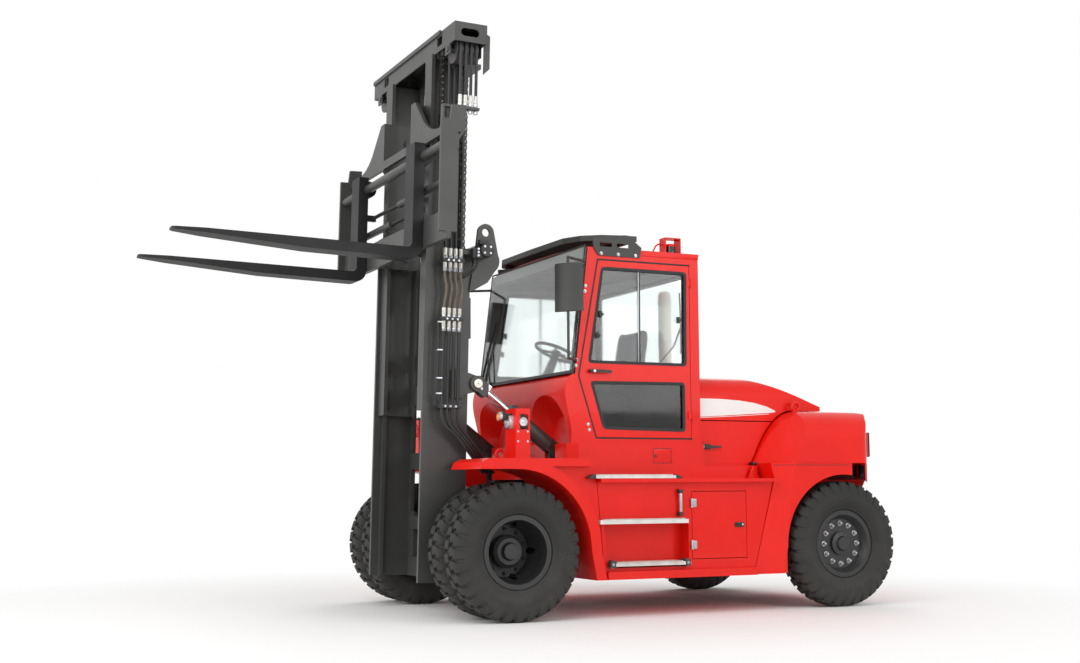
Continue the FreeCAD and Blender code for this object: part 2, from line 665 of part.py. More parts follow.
def roof_visor():
    """Black rain guard over the roof's front with a slotted plate down each side."""
    low = ROOF_Z + 90
    outline = symmetric([(0, CAB_FRONT_Y + 35), (620, CAB_FRONT_Y + 45), (800, CAB_FRONT_Y + 120),
                         (900, CAB_FRONT_Y + 260), (CAB_HALF_W, CAB_FRONT_Y + 440),
                         (CAB_HALF_W, CAB_FRONT_Y + 560), (0, CAB_FRONT_Y + 560)])
    tray = plate_z(outline, low, low + 45)
    hollow = symmetric([(0, CAB_FRONT_Y + 65), (600, CAB_FRONT_Y + 75), (770, CAB_FRONT_Y + 145),
                        (865, CAB_FRONT_Y + 275), (CAB_HALF_W - 30, CAB_FRONT_Y + 450),
                        (CAB_HALF_W - 30, CAB_FRONT_Y + 530), (0, CAB_FRONT_Y + 530)])
    tray = tray.cut(plate_z(hollow, low - 5, low + 33))
    side = plate_x([(CAB_FRONT_Y + 200, ROOF_Z - 45), (CAB_FRONT_Y + 580, ROOF_Z - 45),
                    (CAB_FRONT_Y + 600, ROOF_Z + 40), (CAB_FRONT_Y + 470, low + 45),
                    (CAB_FRONT_Y + 440, low + 45), (CAB_FRONT_Y + 150, low + 10),
                    (CAB_FRONT_Y + 160, ROOF_Z + 10)], CAB_HALF_W + RUN_GAP, CAB_HALF_W + 10)
    slots = [block(CAB_HALF_W - 5, CAB_HALF_W + 20, y, y + 110, ROOF_Z + 30, ROOF_Z + 62)
             for y in (CAB_FRONT_Y + 215, CAB_FRONT_Y + 370)]
    side = side.cut(slots)
    bridge = block(CAB_HALF_W - 40, CAB_HALF_W + 10, CAB_FRONT_Y + 445, CAB_FRONT_Y + 555, low,
                   low + 40)
    return fused([tray, side, mirrored(side), bridge, mirrored(bridge)])


def cab_glass():
    """Windscreen and rear window."""
    inner = CAB_HALF_W - CAB_WALL - RUN_GAP
    foot = (PILLAR_KNEE_Y - 26, COWL_TOP_Z + RUN_GAP)
    head = (CAB_FRONT_Y + 108 - 16, ROOF_Z + 40)
    screen = plate_x([foot, head, (head[0] + GLASS_T, head[1]), (foot[0] + GLASS_T, foot[1])],
                     -CAB_HALF_W + 4, CAB_HALF_W - 4)
    rear = block(-inner + 90 + 2 * RUN_GAP, inner - 90 - 2 * RUN_GAP, CAB_REAR_Y - 24,
                 CAB_REAR_Y - 24 + GLASS_T,
                 DECK_Z + 660 + RUN_GAP, ROOF_Z - 130 - RUN_GAP)
    return Part.makeCompound([screen, rear])


def hinge_knuckles(x, y, reach, heights):
    """Hinge barrels outside a side panel, each with a leaf reaching along Y onto the door."""
    knuckles = []
    for z in heights:
        knuckles.append(rod_z(HINGE_R, z, z + 70, x + HINGE_R + RUN_GAP, y))
        knuckles.append(block(x - 2, x + 9, min(y, y + reach), max(y, y + reach), z + 5, z + 65))
    leaves = fused(knuckles)
    keep_off = block(x - 10, x + RUN_GAP, y - 8, y + HINGE_R + 8, 0, 2 * ROOF_Z)
    if reach > 0:
        keep_off = block(x - 10, x + RUN_GAP, y - HINGE_R - 8, y + 5, 0, 2 * ROOF_Z)
    return [leaves.cut(keep_off)]


def cab_door():
    """Left door as thick as it is, with both windows cut and its outside handle."""
    x1 = CAB_HALF_W
    panel = plate_x(door_outline(0), x1 - DOOR_T, x1)
    cuts = [plate_x(upper_window(0), x1 - DOOR_T - 5, x1 + 5),
            plate_x(lower_window(0), x1 - DOOR_T - 5, x1 + 5)]
    handle_y = CAB_FRONT_Y + 110
    handle_z = DECK_Z + 575
    grip = block(x1 + 22, x1 + 42, handle_y, handle_y + 180, handle_z - 14, handle_z + 14)
    feet = [block(x1 - 5, x1 + 30, y, y + 24, handle_z - 12, handle_z + 12) for y in (handle_y,
                                                                                      handle_y + 156)]
    return fused([panel.cut(cuts), grip] + feet + hinge_knuckles(x1, DOOR_REAR_Y + 12, -40,
                                                                 (DECK_Z + 200, ROOF_Z - 260)))


def door_glass():
    """Panes in the left door's two windows."""
    x0 = CAB_HALF_W - DOOR_T / 2 - GLASS_T / 2
    return Part.makeCompound([plate_x(upper_window(RUN_GAP), x0, x0 + GLASS_T),
                              plate_x(lower_window(RUN_GAP), x0, x0 + GLASS_T)])


def seat_parts():
    """Seat base, cushion and backrest on the cab floor."""
    floor = DECK_Z + 20
    y = CAB_FRONT_Y + 500
    base = fused([block(-200, 200, y, y + 380, floor, floor + 50),
                  block(-150, 150, y + 40, y + 340, floor + 50, floor + 300),
                  block(-230, 230, y - 10, y + 400, floor + 300, floor + 340)])
    cushion = plate_x([(y - 20, floor + 340 + RUN_GAP), (y + 400, floor + 340 + RUN_GAP),
                       (y + 400, floor + 430),
                       (y + 40, floor + 450), (y - 20, floor + 420)], -250, 250)
    rest_y = y + 400 + RUN_GAP
    back = plate_x([(rest_y, floor + 345), (rest_y + 96, floor + 345), (y + 590, floor + 1010),
                    (y + 520, floor + 1030), (rest_y, floor + 460)], -235, 235)
    return base, cushion, back


def dash_console():
    """Console in front of the driver with the steering column and wheel."""
    floor = DECK_Z + 20
    stand = plate_x([(CAB_FRONT_Y + 200, floor), (CAB_FRONT_Y + 330, floor),
                     (CAB_FRONT_Y + 250, floor + 560),
                     (CAB_FRONT_Y + 60, floor + 560), (CAB_FRONT_Y + 60, floor + 420),
                     (CAB_FRONT_Y + 190, floor + 180)], -230, 230)
    hub = V(0, CAB_FRONT_Y + 290, floor + 790)
    foot = V(0, CAB_FRONT_Y + 180, floor + 540)
    column = bar(38, foot, hub)
    lean = FreeCAD.Rotation(Z_AXIS, hub - foot)
    wheel = Part.makeTorus(190, 15)
    spokes = [bar(11, V(0, 0, 0), V(190 * math.cos(a), 190 * math.sin(a), 0))
              for a in (math.radians(90), math.radians(210), math.radians(330))]
    ring = fused([wheel, Part.makeCylinder(46, 40, V(0, 0, -22))] + spokes)
    ring.Placement = FreeCAD.Placement(hub, lean)
    return fused([stand, column, ring])


def mirror_arm():
    """Left mirror, turned to the driver, on its tube from the cab's front pillar."""
    x = CAB_HALF_W + 140
    y = CAB_FRONT_Y - 140
    half = 118.0
    head = run_z([(False, [(half, 30), (half, 12)]), (True, [(half, 12), (0, -34), (-half, 12)]),
                  (False, [(-half, 12), (-half, 30), (half, 30)])], ROOF_Z - 530, ROOF_Z - 150)
    head.rotate(V(0, 0, 0), Z_AXIS, 42)
    head.translate(V(x, y, 0))
    post = bar(11, V(x, y, ROOF_Z - 900), V(x, y, ROOF_Z - 100))
    arms = [bar(11, V(x, y, z), V(CAB_HALF_W - 20, CAB_FRONT_Y + depth, z))
            for z, depth in ((ROOF_Z - 100, 108), (ROOF_Z - 900, 16))]
    return fused([head, post] + arms).cut(block(0, CAB_HALF_W, 0, 2 * CAB_REAR_Y, 0, 2 * ROOF_Z))


def lamp_post():
    """Left open box post on the fender with windows for the lamps."""
    x0 = HALF_WIDTH - 290
    x1 = HALF_WIDTH - 100
    y0 = 28.0
    y1 = 148.0
    top = FENDER_Z + 380
    wall = 8
    box = block(x0, x1, y0, y1, FENDER_Z, top)
    inside = block(x0 + wall, x1 - wall, y0 + wall, y1 + 10, FENDER_Z - 5, top - wall)
    window = block(x1 - 30, x1 + 10, y0 + 32, y1 - 14, top - 160, top - 42)
    front = block(x0 + 40, x1 - 40, y0 - 5, y0 + wall + 5, top - 160, top - 42)
    return box.cut([inside, window, front])


def lamps():
    """Left front lamp in the post and left rear lamp cluster on the counterweight."""
    x = HALF_WIDTH - 195
    top = FENDER_Z + 380
    front = rod_y(55 - RUN_GAP, 4, 92, x, top - 101)
    back = cw_rear_y(1090)
    rear = block(1050, 1130, back - 8, back + 22, DECK_Z - 95, DECK_Z + 105)
    rear = rear.cut(rod_z(CW_REAR_ARC_R + RUN_GAP, 0, 2 * CW_TOP_Z, 0, CW_REAR_Y - CW_REAR_ARC_R))
    return front, rear


def cw_rear_y(x, depth=0.0):
    """Rear face of the counterweight, or a depth inside it, at a distance from the centre line."""
    return CW_REAR_Y - CW_REAR_ARC_R + math.sqrt((CW_REAR_ARC_R - depth) ** 2 - x ** 2)


def cw_rise(gap):
    """Counterweight's front edge from the seam up to its top, moved a gap forward and up."""
    line = ((680, CW_SEAM_Z), (600, DECK_Z), (500, DECK_Z + 150), (390, DECK_Z + 250), (250, CW_TOP_Z))
    return [(REAR_Y - ahead - gap * 0.7, z + gap * 0.85) for ahead, z in line]


def cw_flank(sign):
    """Slanting faces cut off the counterweight's front corner: beside the tank, then beside the hood."""
    low = SILL_Z - 10
    wires = []
    for z, near, far in ((low, cw_front_y(low), REAR_Y - 622), (CW_SEAM_Z, CW_LEDGE_Y, REAR_Y - 491)):
        corners = [(TANK_X, near), (HALF_WIDTH, far), (HALF_WIDTH + 80, far),
                   (HALF_WIDTH + 80, near - 200),
                   (TANK_X, near - 200)]
        points = [V(sign * x, y, z) for x, y in corners]
        wires.append(Part.makePolygon(points + [points[0]]))
    lower = Part.makeLoft(wires, True, True)
    run = V(320, 189, 0)
    near = V(930, REAR_Y - 680, CW_SEAM_Z) - run
    far = near + run * 3
    corners = [near, far, far + V(0, -900, 0), near + V(0, -900, 0)]
    upper = face_of([V(sign * p.x, p.y, p.z) for p in corners]).extrude(V(0, 0.45, 1) * 500)
    return [lower, upper]


def wheel_well(sign):
    """Room for one steered wheel: its arch in the skin and the sweep behind it."""
    def side(shape):
        return shape if sign > 0 else mirrored(shape)

    skin = HALF_WIDTH - 30
    arch = rod_x(REAR_ARCH_R, skin, HALF_WIDTH + 60, REAR_Y, AXLE_Z)
    foot = plate_x([(REAR_Y - REAR_ARCH_R, AXLE_Z), (REAR_Y - 622, SILL_Z - 20), (REAR_Y, SILL_Z - 20),
                    (REAR_Y, AXLE_Z)], skin, HALF_WIDTH + 60)
    sweep = rod_x(STEER_SWING_R, 555, skin + 2, REAR_Y, AXLE_Z)
    sweep = sweep.common(rod_z(STEER_SWING_R, 0, 2 * CW_TOP_Z, KINGPIN_X, REAR_Y))
    notch_x = DECK_HALF_W
    inner_arc = [(x, cw_rear_y(x, 45)) for x in (HALF_WIDTH - 70, (HALF_WIDTH - 70 + notch_x) / 2,
                                                 notch_x)]
    notch = plate_z([(notch_x, REAR_Y + 90), (HALF_WIDTH + 60, REAR_Y + 90),
                     (HALF_WIDTH + 60, inner_arc[0][1])]
                    + inner_arc, 0, CW_SEAM_Z)
    below = block(notch_x - 370, HALF_WIDTH + 60, REAR_Y + 90, CW_REAR_Y + 60, 0, AXLE_Z + 350)
    seam = block(HALF_WIDTH - 5, HALF_WIDTH + 10, REAR_Y - 480, REAR_Y + 200, CW_SEAM_Z - 3,
                 CW_SEAM_Z + 3)
    return [side(shape) for shape in (arch, foot, sweep, notch, below, seam)]


def counterweight():
    """Cast counterweight: three smooth profiles meet, then flanks, wheel wells, tunnel and radiator duct."""
    corner_x = HALF_WIDTH - 70
    half = [(False, [(0, CW_LOW_Y - 10), (HALF_WIDTH, CW_LOW_Y - 10), (HALF_WIDTH, REAR_Y + 190)]),
            (True, [(HALF_WIDTH, REAR_Y + 190), (HALF_WIDTH - 12, REAR_Y + 245),
                    (corner_x, cw_rear_y(corner_x))]),
            (True, [(x, cw_rear_y(x)) for x in (corner_x, corner_x / 2, 0)])]
    plan = run_z(both_sides(half), 0, 2 * CW_TOP_Z)
    beyond = CW_REAR_Y + 30
    fall = CW_FALL / 4
    crown = [(REAR_Y - 250 + 125 * i, CW_TOP_Z - fall * i) for i in range(5)]
    crown = crown + [(REAR_Y + 430, CW_TOP_Z - 44), (REAR_Y + 560, CW_TOP_Z - 120),
                     (beyond, CW_TOP_Z - 290)]
    rise = cw_rise(0)
    face = [(cw_front_y(LEDGE_Z), LEDGE_Z), rise[0]]
    tail = [(beyond, CW_TOP_Z - 290), (beyond, SILL_Z + 200), (CW_REAR_Y - 70, SILL_Z + 20),
            (CW_LOW_Y, SILL_Z), (cw_front_y(LEDGE_Z), LEDGE_Z)]
    side = run_x([(False, face), (True, rise), (True, crown), (False, tail)], -HALF_WIDTH - 50,
                 HALF_WIDTH + 50)
    shoulder = arc_points((HALF_WIDTH - 230, CW_TOP_Z - 230), 230, 0, 78, 2)
    brow = [shoulder[-1], (HALF_WIDTH - 420, CW_TOP_Z + 4), (0, CW_TOP_Z + 10)]
    front = run_y(both_sides([(False, [(0, 0), (HALF_WIDTH, 0), shoulder[0]]), (True, shoulder),
                              (True, brow)]),
                  CW_LOW_Y - 50, CW_REAR_Y + 50)
    body = plan.common(side).common(front)
    tunnel = block(-560, 560, CW_BAY_REAR_Y - 20, REAR_Y + 185, 0, AXLE_Z + 190)
    bay = block(-CW_BAY_HALF_W, CW_BAY_HALF_W, CW_LOW_Y - 50, CW_BAY_REAR_Y, 0, 2 * CW_TOP_Z)
    duct = block(-330, 330, CW_BAY_REAR_Y - 5, CW_REAR_Y + 50, AXLE_Z + 330, CW_TOP_Z - 190)
    body = body.cut(cw_flank(1) + cw_flank(-1)).cut(wheel_well(1) + wheel_well(-1) + [tunnel, bay,
                                                                                      duct])
    lug = block(-90, 90, REAR_Y + 105, REAR_Y + 190, AXLE_Z - 55, AXLE_Z + 195)
    lug = lug.cut(rod_y(PIVOT_R + RUN_GAP, REAR_Y, REAR_Y + 300, 0, AXLE_Z + 40))
    tow = rod_z(30 + RUN_GAP, AXLE_Z - 110, AXLE_Z + 130, 0, CW_REAR_Y - 75)
    tow_slot = block(-90, 90, CW_REAR_Y - 160, CW_REAR_Y + 50, AXLE_Z - 60, AXLE_Z + 20)
    body = fused([body, lug]).cut([tow, tow_slot])
    eye = rod_x(62, 430, 466, CW_EYE_Y, CW_TOP_Z + 38)
    eye = fused([eye, block(430, 466, CW_EYE_Y - 62, CW_EYE_Y + 68, CW_TOP_Z - 20, CW_TOP_Z + 30)])
    eye = eye.cut(rod_x(CW_EYE_R, 400, 500, CW_EYE_Y, CW_TOP_Z + 42))
    return fused([body, eye, mirrored(eye)])


def rear_grille():
    """Louvred grille in the counterweight's radiator duct."""
    z0 = AXLE_Z + 330 + RUN_GAP
    z1 = CW_TOP_Z - 190 - RUN_GAP
    y1 = CW_REAR_Y - 60
    half = 330 - RUN_GAP
    ring = block(-half, half, y1 - 40, y1, z0,
                 z1).cut(block(-half + 22, half - 22, y1 - 50, y1 + 10, z0 + 22, z1 - 22))
    count = 9
    pitch = (z1 - z0 - 44) / count
    slats = []
    for i in range(count):
        z = z0 + 22 + pitch * (i + 0.25)
        slats.append(plate_x([(y1 - 34, z), (y1 - 34, z + 7), (y1 - 4, z + pitch * 0.5),
                              (y1 - 4, z + pitch * 0.5 - 7)],
                             -half + 20, half - 20))
    return fused([ring] + slats)


def tow_pin():
    """Tow pin standing in the counterweight's rear pocket."""
    y = CW_REAR_Y - 75
    return rod_z(30, AXLE_Z - 110, AXLE_Z + 125, 0, y)


def hood_shell(inset):
    """Hood and side panels' outer form, or the room inside it, as one solid."""
    half = HOOD_HALF_W - inset
    rear = HOOD_REAR_Y
    top = [(HOOD_FRONT_Y, HOOD_TOP_Z), (REAR_Y - 900, HOOD_TOP_Z - 6), (REAR_Y - 650, HOOD_TOP_Z - 38),
           (REAR_Y - 350, HOOD_TOP_Z - 122), (REAR_Y - 100, HOOD_TOP_Z - 214), (rear, HOOD_TOP_Z - 262)]
    rise = cw_rise(HOOD_GAP)
    runs = [(True, top), (False, [top[-1], (rear, rise[-1][1]), rise[-1]]), (True, rise[::-1]),
            (False, [rise[0], (HOOD_FRONT_Y, rise[0][1]), top[0]])]
    if inset:
        top = [(y, z - inset) for y, z in top[:-1]]
        runs = [(True, top), (False, [top[-1], (REAR_Y - 60, CW_TOP_Z), (REAR_Y - 60, 0),
                                      (HOOD_FRONT_Y, 0), top[0]])]
    side = run_x(runs, -half - 10, half + 10)
    shoulder = arc_points((half - 190, HOOD_TOP_Z - 215), 190, 8, 78, 2)
    brow = [shoulder[-1], (380, HOOD_TOP_Z - inset - 4), (0, HOOD_TOP_Z - inset + 2)]
    wall = [(0, 0), (half, 0), (half, HOOD_PARTING_Z + 120), shoulder[0]]
    cross = run_y(both_sides([(False, wall), (True, shoulder), (True, brow)]), HOOD_FRONT_Y - 20,
                  rear + 20)
    return side.common(cross)


def hood_parts():
    """Hinged engine hood and the side panels below it."""
    barrels = [rod_x(HINGE_R, x, x + 90, HOOD_REAR_Y, HOOD_HINGE_Z) for x in (-390, 300)]
    form = hood_shell(0)
    low = block(-DECK_HALF_W, DECK_HALF_W, HOOD_FRONT_Y - 10, REAR_Y, 0, HOOD_PARTING_Z)
    hood = fused([form.cut(hood_shell(HOOD_WALL)).cut(low)] + barrels)
    band = block(HOOD_HALF_W - HOOD_WALL, HOOD_HALF_W, HOOD_FRONT_Y, REAR_Y - 300, 0,
                 HOOD_PARTING_Z - MOVE_GAP)
    pull = block(HOOD_HALF_W - 2, HOOD_HALF_W + 16, HOOD_FRONT_Y + 60, HOOD_FRONT_Y + 200,
                 DECK_Z - 42, DECK_Z - 14)
    foot = block(HOOD_HALF_W - HOOD_WALL, HOOD_HALF_W, HOOD_FRONT_Y, REAR_Y - 710,
                 HOOD_SEAM_Z + RUN_GAP,
                 HOOD_SEAM_Z + 60)
    return hood, fused([form.common(band), foot, pull])


def engine_block():
    """Engine and gearbox as one plain block."""
    return block(-320, 320, CAB_REAR_Y + 80, REAR_Y - 370, ENGINE_Z, HOOD_PARTING_Z + 60)


def locker_door():
    """Left locker door in the tank's side."""
    gap = PANEL_GAP
    x1 = TANK_X
    panel = block(x1 - 22, x1, LOCKER_FRONT_Y + gap, LOCKER_REAR_Y - gap, SILL_Z + 135 + gap,
                  LEDGE_Z - 100 - gap)
    latch = block(x1 - 1, x1 + 9, LOCKER_REAR_Y - 100, LOCKER_REAR_Y - 40, LEDGE_Z - 388, LEDGE_Z - 356)
    return fused([panel, latch] + hinge_knuckles(x1, LOCKER_FRONT_Y - 3, 40,
                                                 (LEDGE_Z - 560, LEDGE_Z - 230)))


def beacon():
    """Lamp in its guard on the roof's left rear corner."""
    x = CAB_HALF_W - 160
    y = CAB_REAR_Y - 170
    base = ROOF_Z + 20
    guard = fused([block(x - 50, x + 50, y - 75, y - 67, base, base + 150),
                   block(x - 50, x + 50, y + 67, y + 75, base, base + 150),
                   block(x - 50, x + 50, y - 75, y + 75, base + 142, base + 150),
                   block(x - 50, x + 50, y - 75, y + 75, base, base + 14)])
    lamp = rod_z(42, base + 14, base + 100, x, y)
    foot = cab_roof()
    return fused([guard, lamp]).cut(foot)


# ================================================================ mast
def outer_mast():
    """Outer rails with side plates, feet on the axle, cross members and lifting eyes."""
    web_x = RAIL_OUT_X - RAIL_WEB
    top = MAST_HEIGHT
    web = plate_x([(RAIL_FRONT_Y, MAST_BOTTOM_Z), (RAIL_REAR_Y, MAST_BOTTOM_Z),
                   (RAIL_REAR_Y, top - 330),
                   (RAIL_REAR_Y + 60, top - 300), (RAIL_REAR_Y + 60, top), (RAIL_FRONT_Y, top)], web_x, RAIL_OUT_X)
    flange_x = RAIL_OUT_X - 75
    front = block(flange_x, web_x, RAIL_FRONT_Y + 65, RAIL_FRONT_Y + 65 + FLANGE_T, MAST_BOTTOM_Z, top)
    rear = block(flange_x, web_x, RAIL_REAR_Y - 50, RAIL_REAR_Y - 20, MAST_BOTTOM_Z, top)
    foot = plate_x([(-210, 340), (-210, 800), (-120, 760), (-40, 690)]
                   + arc_points((0, AXLE_Z), AXLE_TUBE_R + 55, 100, -100, 10) + [(-120, 320)],
                   RAIL_OUT_X - 140, RAIL_OUT_X)
    foot = foot.cut(rod_x(AXLE_TUBE_R + RUN_GAP, 0, RAIL_OUT_X + 50, 0, AXLE_Z))
    end_plate = plate_x([(RAIL_REAR_Y - 10, top - 340), (-137, top - 334), (-21, top - 264)]
                        + arc_points((TUBE_Y, TUBE_Z - 70), TUBE_R + 22, -50, 30, 5)
                        + arc_points((EYE_Y, EYE_Z), EYE_R + 38, 20, 165, 8)
                        + [(RAIL_REAR_Y + 30, top - 60)], RAIL_OUT_X - 4, RAIL_OUT_X + 22)
    end_plate = end_plate.cut(rod_x(EYE_R, RAIL_OUT_X - 20, RAIL_OUT_X + 60, EYE_Y, EYE_Z))
    lug = plate_x([(RAIL_REAR_Y - 150, TILT_EYE_Z - 120), (RAIL_REAR_Y - 150, TILT_EYE_Z + 120)]
                  + arc_points((TILT_EYE_Y, TILT_EYE_Z), 60, 80, -80, 8),
                  TILT_X - TILT_LUG_T / 2, TILT_X + TILT_LUG_T / 2)
    spacer = block(RAIL_OUT_X - 2, TILT_X, RAIL_REAR_Y - 150, RAIL_REAR_Y - 50, TILT_EYE_Z - 120,
                   TILT_EYE_Z + 90)
    lug = lug.cut(rod_x(TILT_PIN_R + TILT_DRIFT, 0, 2 * TILT_X, TILT_EYE_Y, TILT_EYE_Z))
    run_y = chain_centre()[0] + CHAIN_SHEAVE_R - CHAIN_GROOVE
    anchor = block(RAIL_OUT_X - 2, CHAIN_X + 40, run_y - 5, RAIL_REAR_Y - 10, top - 60,
                   top - 25 - RUN_GAP)
    side = fused([web, front, rear, foot, end_plate, spacer, lug, anchor])
    cross_y0 = RAIL_REAR_Y - 50
    plates = [block(-flange_x - 20, flange_x + 20, cross_y0, cross_y0 + 25, z0, z1)
              for z0, z1 in ((MAST_BOTTOM_Z, MAST_BOTTOM_Z + 160), (1150, 1290), (top - 900, top - 760))]
    shelf = fused([block(-flange_x - 20, flange_x + 20, cross_y0, cross_y0 + 25, LIFT_FOOT_Z - 110,
                         LIFT_FOOT_Z),
                   block(-LIFT_X - 75, LIFT_X + 75, cross_y0, LIFT_Y + LIFT_BARREL_R, LIFT_FOOT_Z - 30, LIFT_FOOT_Z)])
    tube = rod_x(TUBE_R, -RAIL_OUT_X + 2, RAIL_OUT_X - 2, TUBE_Y, TUBE_Z)
    whole = fused([side, mirrored(side), shelf, tube] + plates)
    clear = [rod_z(LIFT_BARREL_R + RUN_GAP, LIFT_FOOT_Z, top + 500, sign * LIFT_X,
                   LIFT_Y) for sign in (1, -1)]
    return whole.cut(clear)


def lift_barrel(x):
    """Lift cylinder barrel with its gland."""
    top = MAST_HEIGHT - 20
    barrel = rod_z(LIFT_BARREL_R, LIFT_FOOT_Z, top, x, LIFT_Y)
    bore = rod_z(LIFT_BORE_R, LIFT_FOOT_Z + 40, top - 70, x, LIFT_Y)
    gland = rod_z(LIFT_ROD_R + RUN_GAP, top - 75, top + 5, x, LIFT_Y)
    return barrel.cut([bore, gland])


def lift_rod(x):
    """Lift cylinder rod with its piston, up to the inner mast's shelf."""
    start = INNER_BOTTOM_Z + 600
    rod = rod_z(LIFT_ROD_R, start, beam_z() - 40, x, LIFT_Y)
    piston = rod_z(LIFT_BORE_R - RUN_GAP, start, start + 60, x, LIFT_Y)
    return fused([rod, piston])


def beam_z():
    """Underside of the inner mast's top beam."""
    return INNER_TOP_Z


def beam_front_y():
    """Front face of the inner mast's top beam."""
    return RAIL_FRONT_Y + 50


def inner_mast():
    """Inner rails with flanges both ways, cross plates and the wide top beam."""
    web_x = INNER_HALF_X + 68
    front_y = RAIL_FRONT_Y + 25
    rear_y = RAIL_REAR_Y - 60
    out_x = RAIL_OUT_X - RAIL_WEB - MOVE_GAP
    web = block(web_x, web_x + 30, front_y, rear_y, INNER_BOTTOM_Z, INNER_TOP_Z)
    front = block(INNER_HALF_X, out_x, front_y, front_y + FLANGE_T, INNER_BOTTOM_Z, INNER_TOP_Z)
    rear = block(INNER_HALF_X, out_x, rear_y - FLANGE_T, rear_y, INNER_BOTTOM_Z, INNER_TOP_Z)
    side = fused([web, front, rear])
    z0 = beam_z()
    z1 = z0 + BEAM_H
    y0 = beam_front_y()
    y1 = y0 + BEAM_D
    w = BEAM_WALL
    beam = block(-BEAM_HALF_X, BEAM_HALF_X, y0, y1, z0, z1)
    hollow = block(-BEAM_HALF_X + w, BEAM_HALF_X - w, y0 + w, y1 - w, z0 - 10, z1 - w)
    lip = block(-BEAM_HALF_X, BEAM_HALF_X - 300, y0 - 14, y0 + 2, z1 - 24, z1 + 10)
    window = rod_x(32, BEAM_HALF_X - 40, BEAM_HALF_X + 20, y0 + 85, z0 + 76)
    window = window.fuse(rod_x(32, BEAM_HALF_X - 40, BEAM_HALF_X + 20, y0 + 175, z0 + 76))
    window = window.fuse(block(BEAM_HALF_X - 40, BEAM_HALF_X + 20, y0 + 85, y0 + 175, z0 + 44,
                               z0 + 108))
    slot = block(CHAIN_X - 35, CHAIN_X + 75, y0 - 20, y0 + w + 10, z0 + 45, z0 + 118)
    whole_beam = fused([beam.cut(hollow), lip]).cut([window, mirrored(window), slot, mirrored(slot)])
    plate = block(-web_x - 5, web_x + 5, rear_y - 25, rear_y, INNER_BOTTOM_Z + 90, INNER_BOTTOM_Z + 250)
    shelf = block(-web_x - 5, web_x + 5, rear_y - 25, LIFT_Y + 60, z0 - 40, z0)
    hangers = [block(x0, x0 + 13, y0 + w - 2, y1 - w + 2, z0 - 40, z1 - w + 2)
               for x0 in (CHAIN_X - CHAIN_SHEAVE_W / 2 - 16, CHAIN_X + CHAIN_SHEAVE_W / 2 + 3)]
    pin_hole = rod_x(24 + RUN_GAP, CHAIN_X - 80, CHAIN_X + 80, chain_centre()[0], chain_centre()[1])
    hangers = [hanger.cut(pin_hole) for hanger in hangers]
    hose_z = chain_centre()[1] - HOSE_DROP
    hose_hole = rod_y(24 + RUN_GAP, y0 - 20, y1 + 20, HOSE_SHEAVE_X, hose_z)
    for ear_y in (y0, y1 - w):
        ear = block(HOSE_SHEAVE_X - 46, HOSE_SHEAVE_X + 46, ear_y, ear_y + w, hose_z - 44, z0 + 2)
        hangers.append(ear.cut(hose_hole))
    hangers = hangers + [mirrored(hanger) for hanger in hangers]
    bracket = plate_x([(y1 - 5, z1 - 45), (y1 + 45, z1 - 70), (y1 + 45, z0 - 180), (y1 - 5, z0 - 230)],
                      BEAM_HALF_X - 60, BEAM_HALF_X - 45)
    return fused([side, mirrored(side), whole_beam, plate, shelf, bracket, mirrored(bracket)] + hangers)


def sheave(radius, width, groove, bore):
    """Grooved wheel about Z, for placing."""
    half = width / 2
    outline = [(bore, -half), (radius, -half), (radius, -half + 5), (radius - groove, -half + 12),
               (radius - groove, half - 12), (radius, half - 5), (radius, half), (bore, half)]
    return face_of([V(r, 0, z) for r, z in outline]).revolve(V(0, 0, 0), Z_AXIS, 360)


def chain_centre():
    """Centre of the chain sheaves, as (y, z)."""
    return beam_front_y() + BEAM_D / 2, beam_z() - 2


def sheaves():
    """Left chain sheave and hose sheaves with their pins."""
    y, z = chain_centre()
    chain = sheave(CHAIN_SHEAVE_R, CHAIN_SHEAVE_W, CHAIN_GROOVE, 20)
    chain.rotate(V(0, 0, 0), Y_AXIS, 90)
    chain.translate(V(CHAIN_X, y, z))
    pin_half = CHAIN_SHEAVE_W / 2 + 20
    chain_pin = rod_x(24, CHAIN_X - pin_half, CHAIN_X + pin_half, y, z)
    hoses = []
    for i in range(HOSE_COUNT):
        wheel = sheave(HOSE_SHEAVE_R - HOSE_R - RUN_GAP, HOSE_PITCH, 4, 20)
        wheel.rotate(V(0, 0, 0), X_AXIS, 90)
        wheel.translate(V(HOSE_SHEAVE_X, hose_y(i), z - HOSE_DROP))
        hoses.append(wheel)
    hose_pin = rod_y(24, beam_front_y() - 6, beam_front_y() + BEAM_D + 6, HOSE_SHEAVE_X, z - HOSE_DROP)
    return Part.makeCompound([fused([chain, chain_pin]), fused(hoses + [hose_pin])])


def hose_y(index):
    """Middle of one hose's groove along Y."""
    return beam_front_y() + BEAM_D / 2 + (index - (HOSE_COUNT - 1) / 2) * HOSE_PITCH


def lift_chain():
    """Left lift chain: carriage run, wrap over the sheave and anchor run."""
    y, z = chain_centre()
    r0 = CHAIN_SHEAVE_R - CHAIN_GROOVE + RUN_GAP
    r1 = r0 + CHAIN_T
    half = CHAIN_W / 2
    wrap = rod_x(r1, CHAIN_X - half, CHAIN_X + half, y, z).cut(rod_x(r0, 0, 2 * CHAIN_X, y, z))
    wrap = wrap.common(block(0, 2 * CHAIN_X, y - 500, y + 500, z, z + 500))
    front = block(CHAIN_X - half, CHAIN_X + half, y - r1, y - r0, carriage_anchor_z(), z)
    rear = block(CHAIN_X - half, CHAIN_X + half, y + r0, y + r1, MAST_HEIGHT - 25, z)
    return fused([wrap, front, rear])


def carriage_anchor_z():
    """Top of the carriage's chain anchor."""
    return FORK_BOTTOM_Z + 1075.0


